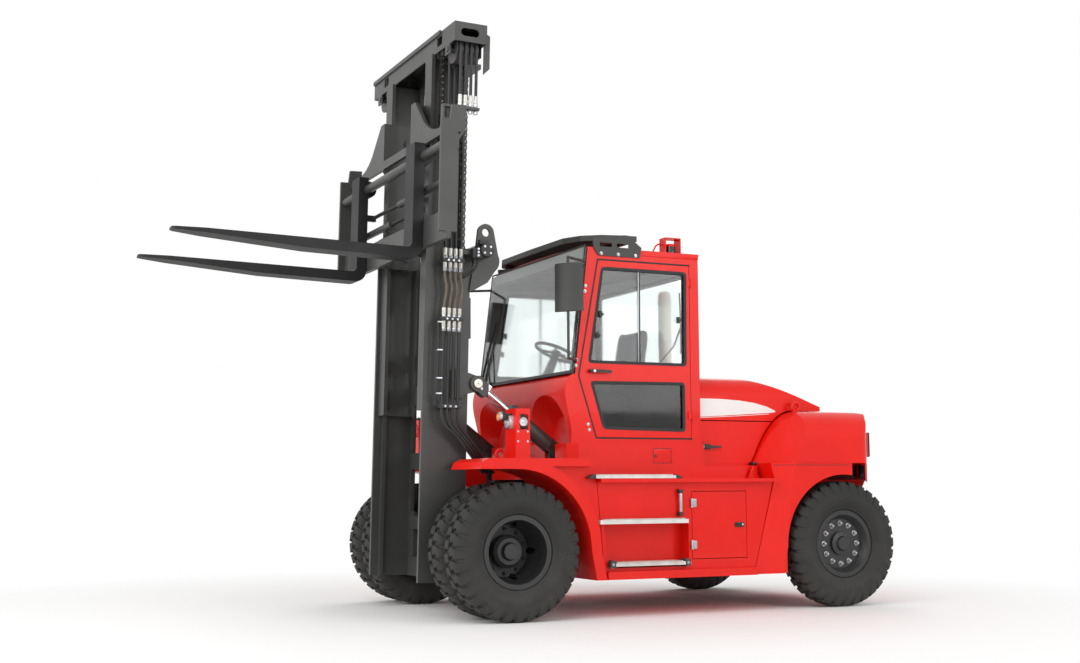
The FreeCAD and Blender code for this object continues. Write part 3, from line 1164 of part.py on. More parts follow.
def moving_hoses():
    """Left hoses from the outer mast over the sheaves down to the carriage."""
    z = chain_centre()[1] - HOSE_DROP
    parts = []
    for i in range(HOSE_COUNT):
        yy = hose_y(i)
        ring = Part.makeTorus(HOSE_SHEAVE_R, HOSE_R, V(HOSE_SHEAVE_X, yy, z), Y_AXIS)
        upper = ring.common(block(0, 2 * HOSE_SHEAVE_X, yy - 100, yy + 100, z, z + 500))
        near = rod_z(HOSE_R, HOSE_FITTING_Z + 150 + RUN_GAP, z, HOSE_SHEAVE_X - HOSE_SHEAVE_R, yy)
        far = rod_z(HOSE_R, FORK_BOTTOM_Z + HOSE_ARM_RISE + RUN_GAP, z, HOSE_SHEAVE_X + HOSE_SHEAVE_R,
                    yy)
        parts.append(fused([upper, near, far]))
    return Part.makeCompound(parts)


def fixed_hoses():
    """Hoses clamped down the outer mast's left side, with their bulkhead."""
    top = HOSE_FITTING_Z
    bulkhead = block(RAIL_OUT_X, HOSE_SHEAVE_X - HOSE_SHEAVE_R + 25, hose_y(0) - 16,
                     hose_y(HOSE_COUNT - 1) + 16,
                     top + 60, top + 90)
    parts = [bulkhead]
    for i in range(HOSE_COUNT):
        yy = hose_y(i)
        xx = HOSE_SHEAVE_X - HOSE_SHEAVE_R
        parts.append(rod_z(HOSE_R + 4, top, top + 150, xx, yy))
        parts.append(rod_z(HOSE_R, 1250, top + 10, xx, yy))
    clamp = block(RAIL_OUT_X, HOSE_SHEAVE_X - HOSE_SHEAVE_R, hose_y(0) - 16,
                  hose_y(HOSE_COUNT - 1) + 16, 1590, 1620)
    low = block(RAIL_OUT_X, HOSE_SHEAVE_X - HOSE_SHEAVE_R, hose_y(0) - 16,
                hose_y(HOSE_COUNT - 1) + 16, 1260, 1290)
    return fused(parts + [clamp, low])


# ================================================================ carriage and forks
def carriage_frame():
    """Side plates, front plates, fork shaft, roller plates and rollers."""
    z0 = FORK_BOTTOM_Z
    front = FORK_FACE_Y + 35
    x1 = SIDE_PLATE_X
    x0 = SIDE_PLATE_X - SIDE_PLATE_T
    side = plate_x([(front, z0 + 140), (front, z0 + 1000), (front + 72, z0 + 1003),
                    (front + 84, z0 + 1113),
                    (front + 195, z0 + 1120), (front + 195, z0 + 930), (front + 142, z0 + 840),
                    (front + 142, z0 + 143)], x0, x1)
    side = side.cut([rod_x(11, x0 - 5, x1 + 5, front + 146, z0 + 899),
                     rod_x(11, x0 - 5, x1 + 5, front + 142, z0 + 770)])
    plate_y0 = SHAFT_Y + 42
    curve = arc_points((x0 - 250, z0 + 1560), 560, 232, 270, 8)
    upper = plate_y(symmetric([(0, z0 + 940), (x0 + 2, z0 + 940),
                               (x0 + 2, z0 + 1000)] + list(reversed(curve))
                              + [(INNER_HALF_X + 18, z0 + 1340), (INNER_HALF_X - 37, z0 + 1340),
                                 (INNER_HALF_X - 37, z0 + 1010), (0, z0 + 1010)]), plate_y0, plate_y0 + 30)
    lower = plate_y(symmetric([(0, z0 + 88), (x1, z0 + 88), (x1, z0 + 312), (0, z0 + 312)]),
                    SHAFT_Y + 5, SHAFT_Y + 45)
    shaft = rod_x(SHAFT_R, -x0 - 2, x0 + 2, SHAFT_Y, SHAFT_Z)
    roller_x0 = INNER_HALF_X - 72
    roller_x1 = INNER_HALF_X - 37
    rear = RAIL_REAR_Y - 100
    plates = plate_x([(plate_y0, z0 + 1340), (rear, z0 + 1340), (rear, z0 + 90),
                      (SHAFT_Y + 30, z0 + 90),
                      (SHAFT_Y + 30, z0 + 330), (SHAFT_Y + 95, z0 + 370), (SHAFT_Y + 95, z0 + 860),
                      (plate_y0, z0 + 930)], roller_x0, roller_x1)
    rollers = []
    roller_y = (RAIL_FRONT_Y + 25 + FLANGE_T + RAIL_REAR_Y - 60 - FLANGE_T) / 2
    roller_r = (RAIL_REAR_Y - 60 - 2 * FLANGE_T - RAIL_FRONT_Y - 25) / 2 - MOVE_GAP
    for z in (z0 + 200, z0 + 1180):
        rollers.append(rod_x(roller_r, roller_x1 + 8, INNER_HALF_X + 68 - MOVE_GAP, roller_y, z))
        rollers.append(rod_x(48, roller_x0 - 25, roller_x1 + 10, roller_y, z))
    anchor = block(RAIL_OUT_X + MOVE_GAP, CHAIN_X + 45, plate_y0 + 25,
                   chain_centre()[0] - CHAIN_SHEAVE_R + CHAIN_GROOVE + 5, z0 + 1030, carriage_anchor_z() - RUN_GAP)
    hose_x = HOSE_SHEAVE_X + HOSE_SHEAVE_R
    arm_z = z0 + HOSE_ARM_RISE
    arm = block(hose_x - 8, hose_x + 37, plate_y0 + 28, hose_y(HOSE_COUNT - 1) + 20, arm_z - 20, arm_z)
    stay = block(hose_x - 8, hose_x + 37, plate_y0 + 28, plate_y0 + 42, z0 + 950, arm_z)
    posts = []
    for sign, z in ((1, z0 + 560), (-1, z0 + 425)):
        post = block(roller_x0, roller_x1, POSITIONER_Y, SHAFT_Y + 100, z - 22, z + 22)
        post = post.cut(rod_x(POSITIONER_R + RUN_GAP, 0, SIDE_PLATE_X, POSITIONER_Y, z))
        posts.append(post if sign > 0 else mirrored(post))
    half = fused([side, plates, anchor] + rollers)
    return fused([half, mirrored(half), upper, lower, shaft, arm, stay] + posts)


def positioner(sign, z):
    """Fork positioner barrel."""
    near = 90.0
    end = 1090.0
    barrel = rod_x(POSITIONER_R, near, end, POSITIONER_Y, z)
    bore = rod_x(POSITIONER_ROD_R + RUN_GAP, near - 5, end - 20, POSITIONER_Y, z)
    whole = barrel.cut(bore)
    return whole if sign > 0 else mirrored(whole)


def fork(sign):
    """Left or right fork: tapered blade, shank, eye on the shaft and positioner rod."""
    z0 = FORK_BOTTOM_Z
    tip_y = FORK_FACE_Y - FORK_LENGTH
    heel = arc_points((FORK_FACE_Y - 40, z0 + FORK_T + 40), 40, 270, 360, 6)
    back = arc_points((SHAFT_Y - 90, z0 + 90), 90, 0, -90, 6)
    side = ([(tip_y, z0 + FORK_T), (tip_y, z0 + FORK_T - FORK_TIP_T)]
            + [(FORK_FACE_Y - FORK_LENGTH * 0.45, z0 + 6)]
            + list(reversed(back)) + [(SHAFT_Y, z0 + FORK_HEIGHT), (FORK_FACE_Y, z0 + FORK_HEIGHT)]
            + list(reversed(heel)))
    x0 = FORK_X - FORK_W / 2
    x1 = FORK_X + FORK_W / 2
    blade = plate_x(side, x0, x1)
    taper = plate_z([(x0 - 10, tip_y - 10), (x0 + 62, tip_y - 10), (x0 + 40, tip_y + 25),
                     (x0, tip_y + 240),
                     (x0 - 10, tip_y + 240)], 0, 3 * z0)
    other = taper.mirror(V(FORK_X, 0, 0), X_AXIS)
    eye = rod_x(FORK_EYE_R, x0, x1, SHAFT_Y, SHAFT_Z)
    body = fused([blade.cut([taper, other]), eye]).cut(rod_x(SHAFT_R + RUN_GAP, x0 - 5, x1 + 5,
                                                             SHAFT_Y, SHAFT_Z))
    z = z0 + 425 if sign > 0 else z0 + 560
    lug = block(x0, x0 + 40, FORK_FACE_Y + 40, POSITIONER_Y + 25, z - 25, z + 25)
    rod = rod_x(POSITIONER_ROD_R, -520, x0 + 20, POSITIONER_Y, z)
    whole = fused([body, lug, rod])
    return whole if sign > 0 else mirrored(whole)


# ================================================================ tilt cylinders
def tilt_line():
    """Start, direction and length of the tilt cylinder at rest."""
    eye_y, eye_z = leaned_point(TILT_EYE_Y, TILT_EYE_Z)
    start = V(TILT_X, TILT_PIN_Y, TILT_PIN_Z)
    end = V(TILT_X, eye_y, eye_z)
    return start, (end - start).normalize(), (end - start).Length


def clevis(centre, direction, reach):
    """Two ears round a lug, with the pin through them and a bridge towards the cylinder."""
    inner = TILT_LUG_T / 2 + 3
    outer = inner + 24
    ears = []
    for x0, x1 in ((centre.x + inner, centre.x + outer), (centre.x - outer, centre.x - inner)):
        ears.append(rod_x(62, x0, x1, centre.y, centre.z))
        arm = Part.makeBox(x1 - x0, 104, reach, V(x0, -52, 0))
        arm.rotate(V(0, 0, 0), X_AXIS, math.degrees(math.atan2(-direction.y, direction.z)))
        arm.translate(V(0, centre.y, centre.z))
        ears.append(arm)
    bridge = Part.makeBox(2 * outer, 104, 34, V(centre.x - outer, -52, reach - 4))
    bridge.rotate(V(0, 0, 0), X_AXIS, math.degrees(math.atan2(-direction.y, direction.z)))
    bridge.translate(V(0, centre.y, centre.z))
    pin = rod_x(TILT_PIN_R, centre.x - outer - 6, centre.x + outer + 6, centre.y, centre.z)
    return fused(ears + [bridge, pin])


def tilt_barrel():
    """Left tilt cylinder barrel on the frame's lug."""
    start, direction = tilt_line()[:2]
    end = start + direction * 545
    base = start + direction * 100
    barrel = bar(TILT_BARREL_R, base, end)
    bore = bar(TILT_ROD_R + RUN_GAP, start + direction * 150, end + direction * 5)
    fork_end = clevis(start, direction, 90)
    return fused([barrel, fork_end]).cut(bore)


def tilt_rod():
    """Left tilt cylinder rod with its clevis at the mast."""
    start, direction, length = tilt_line()
    eye = start + direction * length
    rod = bar(TILT_ROD_R, start + direction * 395, eye - direction * 100)
    return fused([rod, clevis(eye, direction * -1, 80)])


# ================================================================ the whole truck
def build():
    """Every node's shape by name, in the truck's own frame before the last move."""
    nodes = {}
    nodes["chassis_frame"] = chassis_frame()
    nodes["front_axle"] = front_axle()
    nodes["steer_axle"] = steer_axle()
    nodes["front_fenders"] = pair(front_fender())
    nodes["side_tanks"] = pair(side_tank())
    nodes["steps"] = pair(steps())
    nodes["grab_handles"] = pair(grab_handle())
    nodes["lamp_posts"] = pair(lamp_post())
    front_lamp, rear_lamp = lamps()
    nodes["front_lamps"] = pair(front_lamp)
    nodes["tail_lamps"] = pair(rear_lamp.cut(counterweight()))
    nodes["deck"] = deck()
    nodes["cowl"] = cowl()
    nodes["cab_shell"] = cab_shell()
    nodes["cab_roof"] = cab_roof()
    nodes["roof_visor"] = roof_visor()
    nodes["cab_glass"] = cab_glass()
    base, cushion, back = seat_parts()
    nodes["seat_base"] = base
    nodes["seat_cushion"] = cushion
    nodes["seat_backrest"] = back
    nodes["dash_console"] = dash_console()
    nodes["mirrors"] = pair(mirror_arm())
    nodes["beacon"] = beacon()
    nodes["counterweight"] = counterweight()
    nodes["rear_grille"] = rear_grille()
    nodes["tow_pin"] = tow_pin()
    hood, panel = hood_parts()
    nodes["engine_hood"] = hood
    nodes["engine_side_panels"] = pair(panel)
    nodes["engine_block"] = engine_block()
    for side, move in (("left", lambda shape: shape), ("right", mirrored)):
        nodes["cab_door_" + side] = move(cab_door())
        nodes["door_glass_" + side] = move(door_glass())
        nodes["locker_door_" + side] = move(locker_door())
        nodes["front_tyres_" + side] = move(Part.makeCompound([tyre(FRONT_INNER_X, 0),
                                                               tyre(FRONT_OUTER_X, 0)]))
        nodes["front_rims_" + side] = move(front_rims())
        nodes["rear_tyre_" + side] = move(tyre(REAR_X, REAR_Y))
        nodes["rear_rim_" + side] = move(rear_rim())
        nodes["knuckle_" + side] = move(knuckle())
        nodes["tilt_barrel_" + side] = move(tilt_barrel())
        nodes["tilt_rod_" + side] = move(tilt_rod())
    nodes["outer_mast"] = leaned(outer_mast())
    nodes["lift_barrels"] = leaned(Part.makeCompound([lift_barrel(LIFT_X), lift_barrel(-LIFT_X)]))
    nodes["outer_hoses"] = leaned(fixed_hoses())
    nodes["inner_mast"] = leaned(inner_mast())
    nodes["lift_rods"] = leaned(Part.makeCompound([lift_rod(LIFT_X), lift_rod(-LIFT_X)]))
    nodes["mast_sheaves"] = leaned(pair(sheaves()))
    nodes["lift_chains"] = leaned(pair(lift_chain()))
    nodes["mast_hoses"] = leaned(moving_hoses())
    nodes["carriage_frame"] = leaned(carriage_frame())
    nodes["positioner_barrels"] = leaned(Part.makeCompound([positioner(1, FORK_BOTTOM_Z + 560),
                                                            positioner(-1, FORK_BOTTOM_Z + 425)]))
    nodes["fork_left"] = leaned(fork(1))
    nodes["fork_right"] = leaned(fork(-1))
    return nodes


def centre_shift(nodes):
    """Move along Y that puts the origin under the middle of the truck."""
    front = min(shape.BoundBox.YMin for shape in nodes.values())
    rear = max(shape.BoundBox.YMax for shape in nodes.values())
    return -(front + rear) / 2


def main():
    """Write one STEP file for each node."""
    os.makedirs("parts", exist_ok=True)
    nodes = build()
    shift = centre_shift(nodes)
    print("shift along Y", round(shift, 3))
    for name, shape in sorted(nodes.items()):
        placed = shape.copy()
        placed.translate(V(0, shift, 0))
        if not placed.isValid():
            print("not valid:", name)
        placed.exportStep(os.path.join("parts", name + ".step"))


if __name__ == "__main__":
    main()
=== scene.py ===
"""Looks of a heavy forklift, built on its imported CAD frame.

Metres throughout, in the frame's own axes: +X is the truck's left, +Y its rear and +Z up.
"""
import json
import logging
import math
from dataclasses import dataclass, field
from enum import Enum
from typing import Sequence

import bmesh
import bpy
from mathutils import Matrix, Vector
from mathutils.bvhtree import BVHTree


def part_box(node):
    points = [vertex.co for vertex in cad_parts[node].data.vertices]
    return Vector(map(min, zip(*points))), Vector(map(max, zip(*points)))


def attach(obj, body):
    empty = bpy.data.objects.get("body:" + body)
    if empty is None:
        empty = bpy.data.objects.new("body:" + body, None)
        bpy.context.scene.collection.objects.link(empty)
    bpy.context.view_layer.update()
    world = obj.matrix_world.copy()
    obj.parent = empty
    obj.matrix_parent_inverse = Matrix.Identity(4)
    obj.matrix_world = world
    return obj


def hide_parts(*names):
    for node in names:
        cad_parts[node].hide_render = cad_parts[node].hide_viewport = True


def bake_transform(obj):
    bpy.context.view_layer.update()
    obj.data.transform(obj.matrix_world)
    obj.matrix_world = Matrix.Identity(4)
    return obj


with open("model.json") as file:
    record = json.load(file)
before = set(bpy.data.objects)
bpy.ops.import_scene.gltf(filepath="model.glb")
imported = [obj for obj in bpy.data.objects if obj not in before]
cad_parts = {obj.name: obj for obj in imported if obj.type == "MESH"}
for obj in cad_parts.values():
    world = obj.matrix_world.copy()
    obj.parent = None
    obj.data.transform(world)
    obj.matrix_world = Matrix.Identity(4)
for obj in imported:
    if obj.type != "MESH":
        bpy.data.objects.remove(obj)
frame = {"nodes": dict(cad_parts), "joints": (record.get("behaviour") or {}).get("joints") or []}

LOG = logging.getLogger("forklift")
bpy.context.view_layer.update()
Point2 = tuple[float, float]
Colour = tuple[float, float, float]
SIDES: tuple[tuple[str, int], ...] = (("left", 1), ("right", -1))


# ------------------------------------------------------------------ measures read from the frame
def middle(node: str) -> Vector:
    """Centre of a CAD node's box.

    Args:
        node: the CAD node's name.

    Returns:
        The middle of its lowest and highest corners.
    """
    low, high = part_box(node)
    return (low + high) / 2


AXLE: Vector = Vector((0.0, middle("front_tyres_left").y, middle("front_tyres_left").z))
REAR_AXLE: Vector = Vector((0.0, middle("rear_tyre_left").y, middle("rear_tyre_left").z))
UP: Vector = Vector(next(j["axis"] for j in frame["joints"] if j["name"] == "mast_lift")).normalized()
BACK: Vector = Vector((1, 0, 0)).cross(UP) * -1
ROOF_Z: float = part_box("cab_shell")[1].z
CAB_HALF_W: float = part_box("cab_shell")[1].x


def on_mast(x: float, y: float, z: float) -> Vector:
    """Where a point of the upright mast lies at rest.

    Args:
        x: distance to the left of the centre line.
        y: distance behind the front axle on the upright mast.
        z: height above the ground on the upright mast.

    Returns:
        The point in the frame.
    """
    return Vector((x, 0, 0)) + AXLE + BACK * y + UP * (z - AXLE.z)


# ------------------------------------------------------------------ shader groups and finishes
class GroupBuilder:
    """Small helper that lays out a shader group's nodes and links."""

    def __init__(self, name: str) -> None:
        """Start an empty group of that name."""
        self.tree = bpy.data.node_groups.new(name, "ShaderNodeTree")

    def socket(self, name: str, kind: str, out: bool = False, default: object = None) -> None:
        """Add a named socket.

        Args:
            name: the socket's name.
            kind: NodeSocketFloat, NodeSocketColor or NodeSocketVector.
            out: True for an output.
            default: the input's value when nothing sets it.
        """
        made = self.tree.interface.new_socket(name, in_out="OUTPUT" if out else "INPUT", socket_type=kind)
        if default is not None:
            made.default_value = default

    def node(self, kind: str, **values: object) -> bpy.types.Node:
        """Add a node and set its plain properties."""
        made = self.tree.nodes.new(kind)
        for key, value in values.items():
            setattr(made, key, value)
        return made

    def link(self, source: bpy.types.NodeSocket, target: bpy.types.NodeSocket) -> None:
        """Join two sockets."""
        self.tree.links.new(source, target)

    def math(self, operation: str, first: object, second: object = None,
             clamp: bool = False) -> bpy.types.NodeSocket:
        """Add a math node whose operands are sockets or numbers.

        Args:
            operation: Blender's name of the operation.
            first: socket or number.
            second: socket or number, or None.
            clamp: keep the result between 0 and 1.

        Returns:
            The result's socket.
        """
        made = self.node("ShaderNodeMath", operation=operation, use_clamp=clamp)
        for place, value in enumerate((first, second)):
            if isinstance(value, bpy.types.NodeSocket):
                self.link(value, made.inputs[place])
            elif value is not None:
                made.inputs[place].default_value = value
        return made.outputs[0]


def surface_group() -> bpy.types.ShaderNodeTree:
    """Group that varies a surface's tone, settles dust low down and gives its grain.

    Returns:
        The group, built once and shared by every finish.
    """
    found = bpy.data.node_groups.get("surface_story")
    if found:
        return found
    b = GroupBuilder("surface_story")
    for name, default in (("Colour", (0.5, 0.5, 0.5, 1)), ("Shade", (0.4, 0.4, 0.4, 1)),
                          ("Dust", (0.4, 0.37, 0.33, 1))):
        b.socket(name, "NodeSocketColor", default=default)
    for name, default in (("Tone Scale", 3.0), ("Dust Level", 0.5), ("Dust Amount", 0.2),
                          ("Grain Scale", 200.0),
                          ("Roughness", 0.4)):
        b.socket(name, "NodeSocketFloat", default=default)
    b.socket("Colour", "NodeSocketColor", out=True)
    b.socket("Roughness", "NodeSocketFloat", out=True)
    b.socket("Height", "NodeSocketFloat", out=True)
    given = b.node("NodeGroupInput")
    place = b.node("ShaderNodeTexCoord").outputs["Object"]
    tone = b.node("ShaderNodeTexNoise")
    tone.inputs["Detail"].default_value = 5
    b.link(place, tone.inputs["Vector"])
    b.link(given.outputs["Tone Scale"], tone.inputs["Scale"])
    spread = b.node("ShaderNodeMapRange")
    spread.inputs["From Min"].default_value = 0.35
    spread.inputs["From Max"].default_value = 0.65
    b.link(tone.outputs["Fac"], spread.inputs["Value"])
    base = b.node("ShaderNodeMix", data_type="RGBA")
    b.link(spread.outputs["Result"], base.inputs["Factor"])
    b.link(given.outputs["Colour"], base.inputs["A"])
    b.link(given.outputs["Shade"], base.inputs["B"])
    height = b.node("ShaderNodeSeparateXYZ")
    b.link(place, height.inputs[0])
    low = b.node("ShaderNodeMapRange")
    low.inputs["To Min"].default_value = 1
    low.inputs["To Max"].default_value = 0
    b.link(height.outputs["Z"], low.inputs["Value"])
    b.link(given.outputs["Dust Level"], low.inputs["From Max"])
    patch = b.node("ShaderNodeTexNoise")
    patch.inputs["Scale"].default_value = 9
    patch.inputs["Detail"].default_value = 6
    b.link(place, patch.inputs["Vector"])
    dusty = b.math("MULTIPLY", low.outputs["Result"], patch.outputs["Fac"])
    dusty = b.math("MULTIPLY", dusty, given.outputs["Dust Amount"], clamp=True)
    coloured = b.node("ShaderNodeMix", data_type="RGBA")
    b.link(dusty, coloured.inputs["Factor"])
    b.link(base.outputs["Result"], coloured.inputs["A"])
    b.link(given.outputs["Dust"], coloured.inputs["B"])
    rougher = b.math("MULTIPLY_ADD", dusty, 0.5)
    rougher.node.inputs[2].default_value = 0
    b.link(given.outputs["Roughness"], rougher.node.inputs[2])
    mottled = b.math("MULTIPLY_ADD", tone.outputs["Fac"], 0.12, clamp=True)
    b.link(rougher, mottled.node.inputs[2])
    grain = b.node("ShaderNodeTexNoise")
    grain.inputs["Detail"].default_value = 3
    b.link(place, grain.inputs["Vector"])
    b.link(given.outputs["Grain Scale"], grain.inputs["Scale"])
    put = b.node("NodeGroupOutput")
    b.link(coloured.outputs["Result"], put.inputs["Colour"])
    b.link(mottled, put.inputs["Roughness"])
    b.link(grain.outputs["Fac"], put.inputs["Height"])
    return b.tree


@dataclass(frozen=True)
class Finish:
    """One surface: its two tones, gloss, grain and the dust that settles on it."""

    name: str
    colour: Colour
    shade: Colour
    rough: float = 0.4
    metal: float = 0.0
    coat: float = 0.0
    coat_rough: float = 0.08
    tone_scale: float = 3.0
    grain_scale: float = 220.0
    grain: float = 0.0
    dust: float = 0.25
    dust_level: float = 0.7
    glow: Colour | None = None
    clear: float = 0.0
    gloss: float = 0.5

    def material(self) -> bpy.types.Material:
        """Build the material, or give the one already built."""
        found = bpy.data.materials.get(self.name)
        if found:
            return found
        made = bpy.data.materials.new(self.name)
        made.use_nodes = True
        tree = made.node_tree
        shader = tree.nodes["Principled BSDF"]
        shader.inputs["Metallic"].default_value = self.metal
        shader.inputs["Specular IOR Level"].default_value = self.gloss
        shader.inputs["Coat Weight"].default_value = self.coat
        shader.inputs["Coat Roughness"].default_value = self.coat_rough
        story = tree.nodes.new("ShaderNodeGroup")
        story.node_tree = surface_group()
        story.inputs["Colour"].default_value = (*self.colour, 1)
        story.inputs["Shade"].default_value = (*self.shade, 1)
        story.inputs["Tone Scale"].default_value = self.tone_scale
        story.inputs["Dust Level"].default_value = self.dust_level
        story.inputs["Dust Amount"].default_value = self.dust
        story.inputs["Grain Scale"].default_value = self.grain_scale
        story.inputs["Roughness"].default_value = self.rough - 0.06
        tree.links.new(story.outputs["Colour"], shader.inputs["Base Color"])
        tree.links.new(story.outputs["Roughness"], shader.inputs["Roughness"])
        if self.grain:
            bump = tree.nodes.new("ShaderNodeBump")
            bump.inputs["Strength"].default_value = self.grain
            bump.inputs["Distance"].default_value = 0.002
            tree.links.new(story.outputs["Height"], bump.inputs["Height"])
            tree.links.new(bump.outputs["Normal"], shader.inputs["Normal"])
        if self.clear:
            shader.inputs["Transmission Weight"].default_value = self.clear
            shader.inputs["IOR"].default_value = 1.45
        if self.glow:
            shader.inputs["Emission Color"].default_value = (*self.glow, 1)
            shader.inputs["Emission Strength"].default_value = 0.25
        return made


class Finishes(Enum):
    """The truck's finishes by the part that wears them."""

    BODY_RED = Finish("paint_red", (0.80, 0.010, 0.004), (0.75, 0.008, 0.003), rough=0.34, coat=0.16,
                      coat_rough=0.06,
                      grain=0.03, grain_scale=420, dust=0.03, gloss=0.22)
    MAST_GREY = Finish("paint_grey", (0.050, 0.051, 0.048), (0.041, 0.042, 0.040), rough=0.44, coat=0.10,
                       grain=0.05,
                       grain_scale=300, dust=0.06, gloss=0.4)
    FORK = Finish("fork_grey", (0.016, 0.016, 0.016), (0.011, 0.011, 0.011), rough=0.5, grain=0.08,
                  grain_scale=260,
                  dust=0.05, gloss=0.3)
    RIM_BLACK = Finish("rim_black", (0.010, 0.010, 0.010), (0.007, 0.007, 0.007), rough=0.42, coat=0.1,
                       dust=0.08)
    UNDER_BLACK = Finish("under_black", (0.014, 0.014, 0.015), (0.022, 0.021, 0.020), rough=0.6, dust=0.3)
    TYRE = Finish("tyre_rubber", (0.012, 0.0122, 0.0115), (0.017, 0.017, 0.016), rough=0.78, grain=0.25,
                  grain_scale=160,
                  tone_scale=5, dust=0.12, dust_level=1.0)
    TRIM = Finish("trim_plastic", (0.018, 0.018, 0.018), (0.024, 0.024, 0.023), rough=0.5, grain=0.12,
                  grain_scale=500)
    VISOR = Finish("visor_plastic", (0.034, 0.036, 0.033), (0.042, 0.044, 0.040), rough=0.55, grain=0.10,
                   grain_scale=500)
    SEAL = Finish("seal_rubber", (0.010, 0.010, 0.011), (0.015, 0.015, 0.016), rough=0.6, dust=0.1)
    HOSE = Finish("hose_rubber", (0.010, 0.010, 0.011), (0.016, 0.016, 0.017), rough=0.45, grain=0.2,
                  grain_scale=700)
    HOSE_BROWN = Finish("hose_brown", (0.10, 0.078, 0.048), (0.14, 0.115, 0.080), rough=0.5, grain=0.3,
                        grain_scale=600,
                        tone_scale=40)
    FITTING = Finish("plated_fitting", (0.72, 0.71, 0.66), (0.55, 0.54, 0.50), rough=0.38, metal=0.55,
                     dust=0.05)
    ZINC = Finish("zinc_steel", (0.55, 0.56, 0.58), (0.42, 0.43, 0.45), rough=0.32, metal=1.0, grain=0.05,
                  dust=0.1)
    SHEAVE = Finish("sheave_steel", (0.10, 0.10, 0.10), (0.07, 0.07, 0.07), rough=0.42, metal=0.6,
                    grain=0.08, dust=0.1)
    CHROME = Finish("chrome_rod", (0.75, 0.76, 0.78), (0.70, 0.71, 0.73), rough=0.12, metal=1.0, dust=0.0)
    CHAIN = Finish("oiled_chain", (0.050, 0.047, 0.043), (0.028, 0.027, 0.025), rough=0.42, metal=0.7,
                   tone_scale=30)
    CHAIN_PIN = Finish("chain_pin", (0.26, 0.25, 0.23), (0.16, 0.155, 0.145), rough=0.34, metal=0.9,
                       tone_scale=30)
    TREAD = Finish("tread_aluminium", (0.72, 0.71, 0.68), (0.60, 0.59, 0.56), rough=0.48, metal=0.20,
                   tone_scale=12)
    WHITE = Finish("band_white", (0.86, 0.84, 0.83), (0.82, 0.80, 0.79), rough=0.4, dust=0.0)
    SEAT = Finish("seat_cloth", (0.026, 0.028, 0.029), (0.040, 0.042, 0.043), rough=0.9, grain=0.5,
                  grain_scale=900,
                  tone_scale=20, dust=0.0)
    PIPING = Finish("seat_piping", (0.050, 0.052, 0.054), (0.036, 0.038, 0.040), rough=0.6, grain=0.2,
                    grain_scale=900)
    LINING = Finish("cab_lining", (0.245, 0.245, 0.225), (0.215, 0.215, 0.200), rough=0.7, grain=0.15,
                    grain_scale=350)
    PILLAR = Finish("pillar_lining", (0.115, 0.118, 0.108), (0.098, 0.100, 0.092), rough=0.65, grain=0.15,
                    grain_scale=350)
    FRIT = Finish("screen_edge", (0.020, 0.021, 0.020), (0.028, 0.028, 0.027), rough=0.5, dust=0.1)
    STACK = Finish("air_stack", (0.62, 0.59, 0.50), (0.56, 0.53, 0.45), rough=0.45, grain=0.05,
                   grain_scale=300, dust=0.0)
    LAMP_DARK = Finish("beacon_dark", (0.030, 0.012, 0.010), (0.022, 0.010, 0.009), rough=0.2, coat=0.5,
                       dust=0.0)
    HEADLINER = Finish("headliner", (0.150, 0.145, 0.125), (0.125, 0.120, 0.105), rough=0.95, grain=0.4,
                       grain_scale=700)
    WHEEL_GREY = Finish("wheel_grip", (0.045, 0.045, 0.045), (0.060, 0.060, 0.060), rough=0.5, grain=0.1,
                        grain_scale=600)
    AMBER = Finish("amber_lens", (0.75, 0.25, 0.02), (0.7, 0.2, 0.02), rough=0.2, coat=0.6,
                   glow=(0.8, 0.25, 0.02))
    CLEAR_LENS = Finish("clear_lens", (0.75, 0.77, 0.8), (0.6, 0.62, 0.65), rough=0.12, metal=0.3, coat=0.8)
    RED_LENS = Finish("red_lens", (0.45, 0.01, 0.008), (0.4, 0.01, 0.008), rough=0.2, coat=0.7)
    GLASS = Finish("cab_glass", (0.93, 0.98, 0.97), (0.93, 0.98, 0.97), rough=0.06, clear=1.0, dust=0.0)
    DARK_GLASS = Finish("tinted_glass", (0.17, 0.18, 0.165), (0.17, 0.18, 0.165), rough=0.06, clear=1.0,
                        dust=0.0)
    CAST = Finish("engine_cast", (0.05, 0.05, 0.052), (0.08, 0.075, 0.07), rough=0.7, grain=0.4,
                  grain_scale=120)

    def material(self) -> bpy.types.Material:
        """The finish's material."""
        return self.value.material()


# ------------------------------------------------------------------ making meshes
def add_object(name: str, mesh: bpy.types.Mesh, finish: Finishes | None = None) -> bpy.types.Object:
    """Put a mesh in the scene.

    Args:
        name: the piece's name.
        mesh: its mesh, in place.
        finish: the finish it wears, or None.

    Returns:
        The new object, at the origin.
    """
    made = bpy.data.objects.new(name, mesh)
    bpy.context.scene.collection.objects.link(made)
    if finish:
        mesh.materials.clear()
        mesh.materials.append(finish.material())
    return made


def from_bmesh(name: str, shape: bmesh.types.BMesh, finish: Finishes | None = None,
               smooth: bool = True) -> bpy.types.Object:
    """Turn a bmesh into an object with outward faces.

    Args:
        name: the piece's name.
        shape: the bmesh, which is freed.
        finish: the finish it wears.
        smooth: shade it smooth.

    Returns:
        The new object.
    """
    bmesh.ops.remove_doubles(shape, verts=shape.verts, dist=1e-5)
    bmesh.ops.recalc_face_normals(shape, faces=shape.faces)
    mesh = bpy.data.meshes.new(name)
    shape.to_mesh(mesh)
    shape.free()
    if smooth:
        mesh.shade_smooth()
        mesh.set_sharp_from_angle(angle=math.radians(35))
    return add_object(name, mesh, finish)


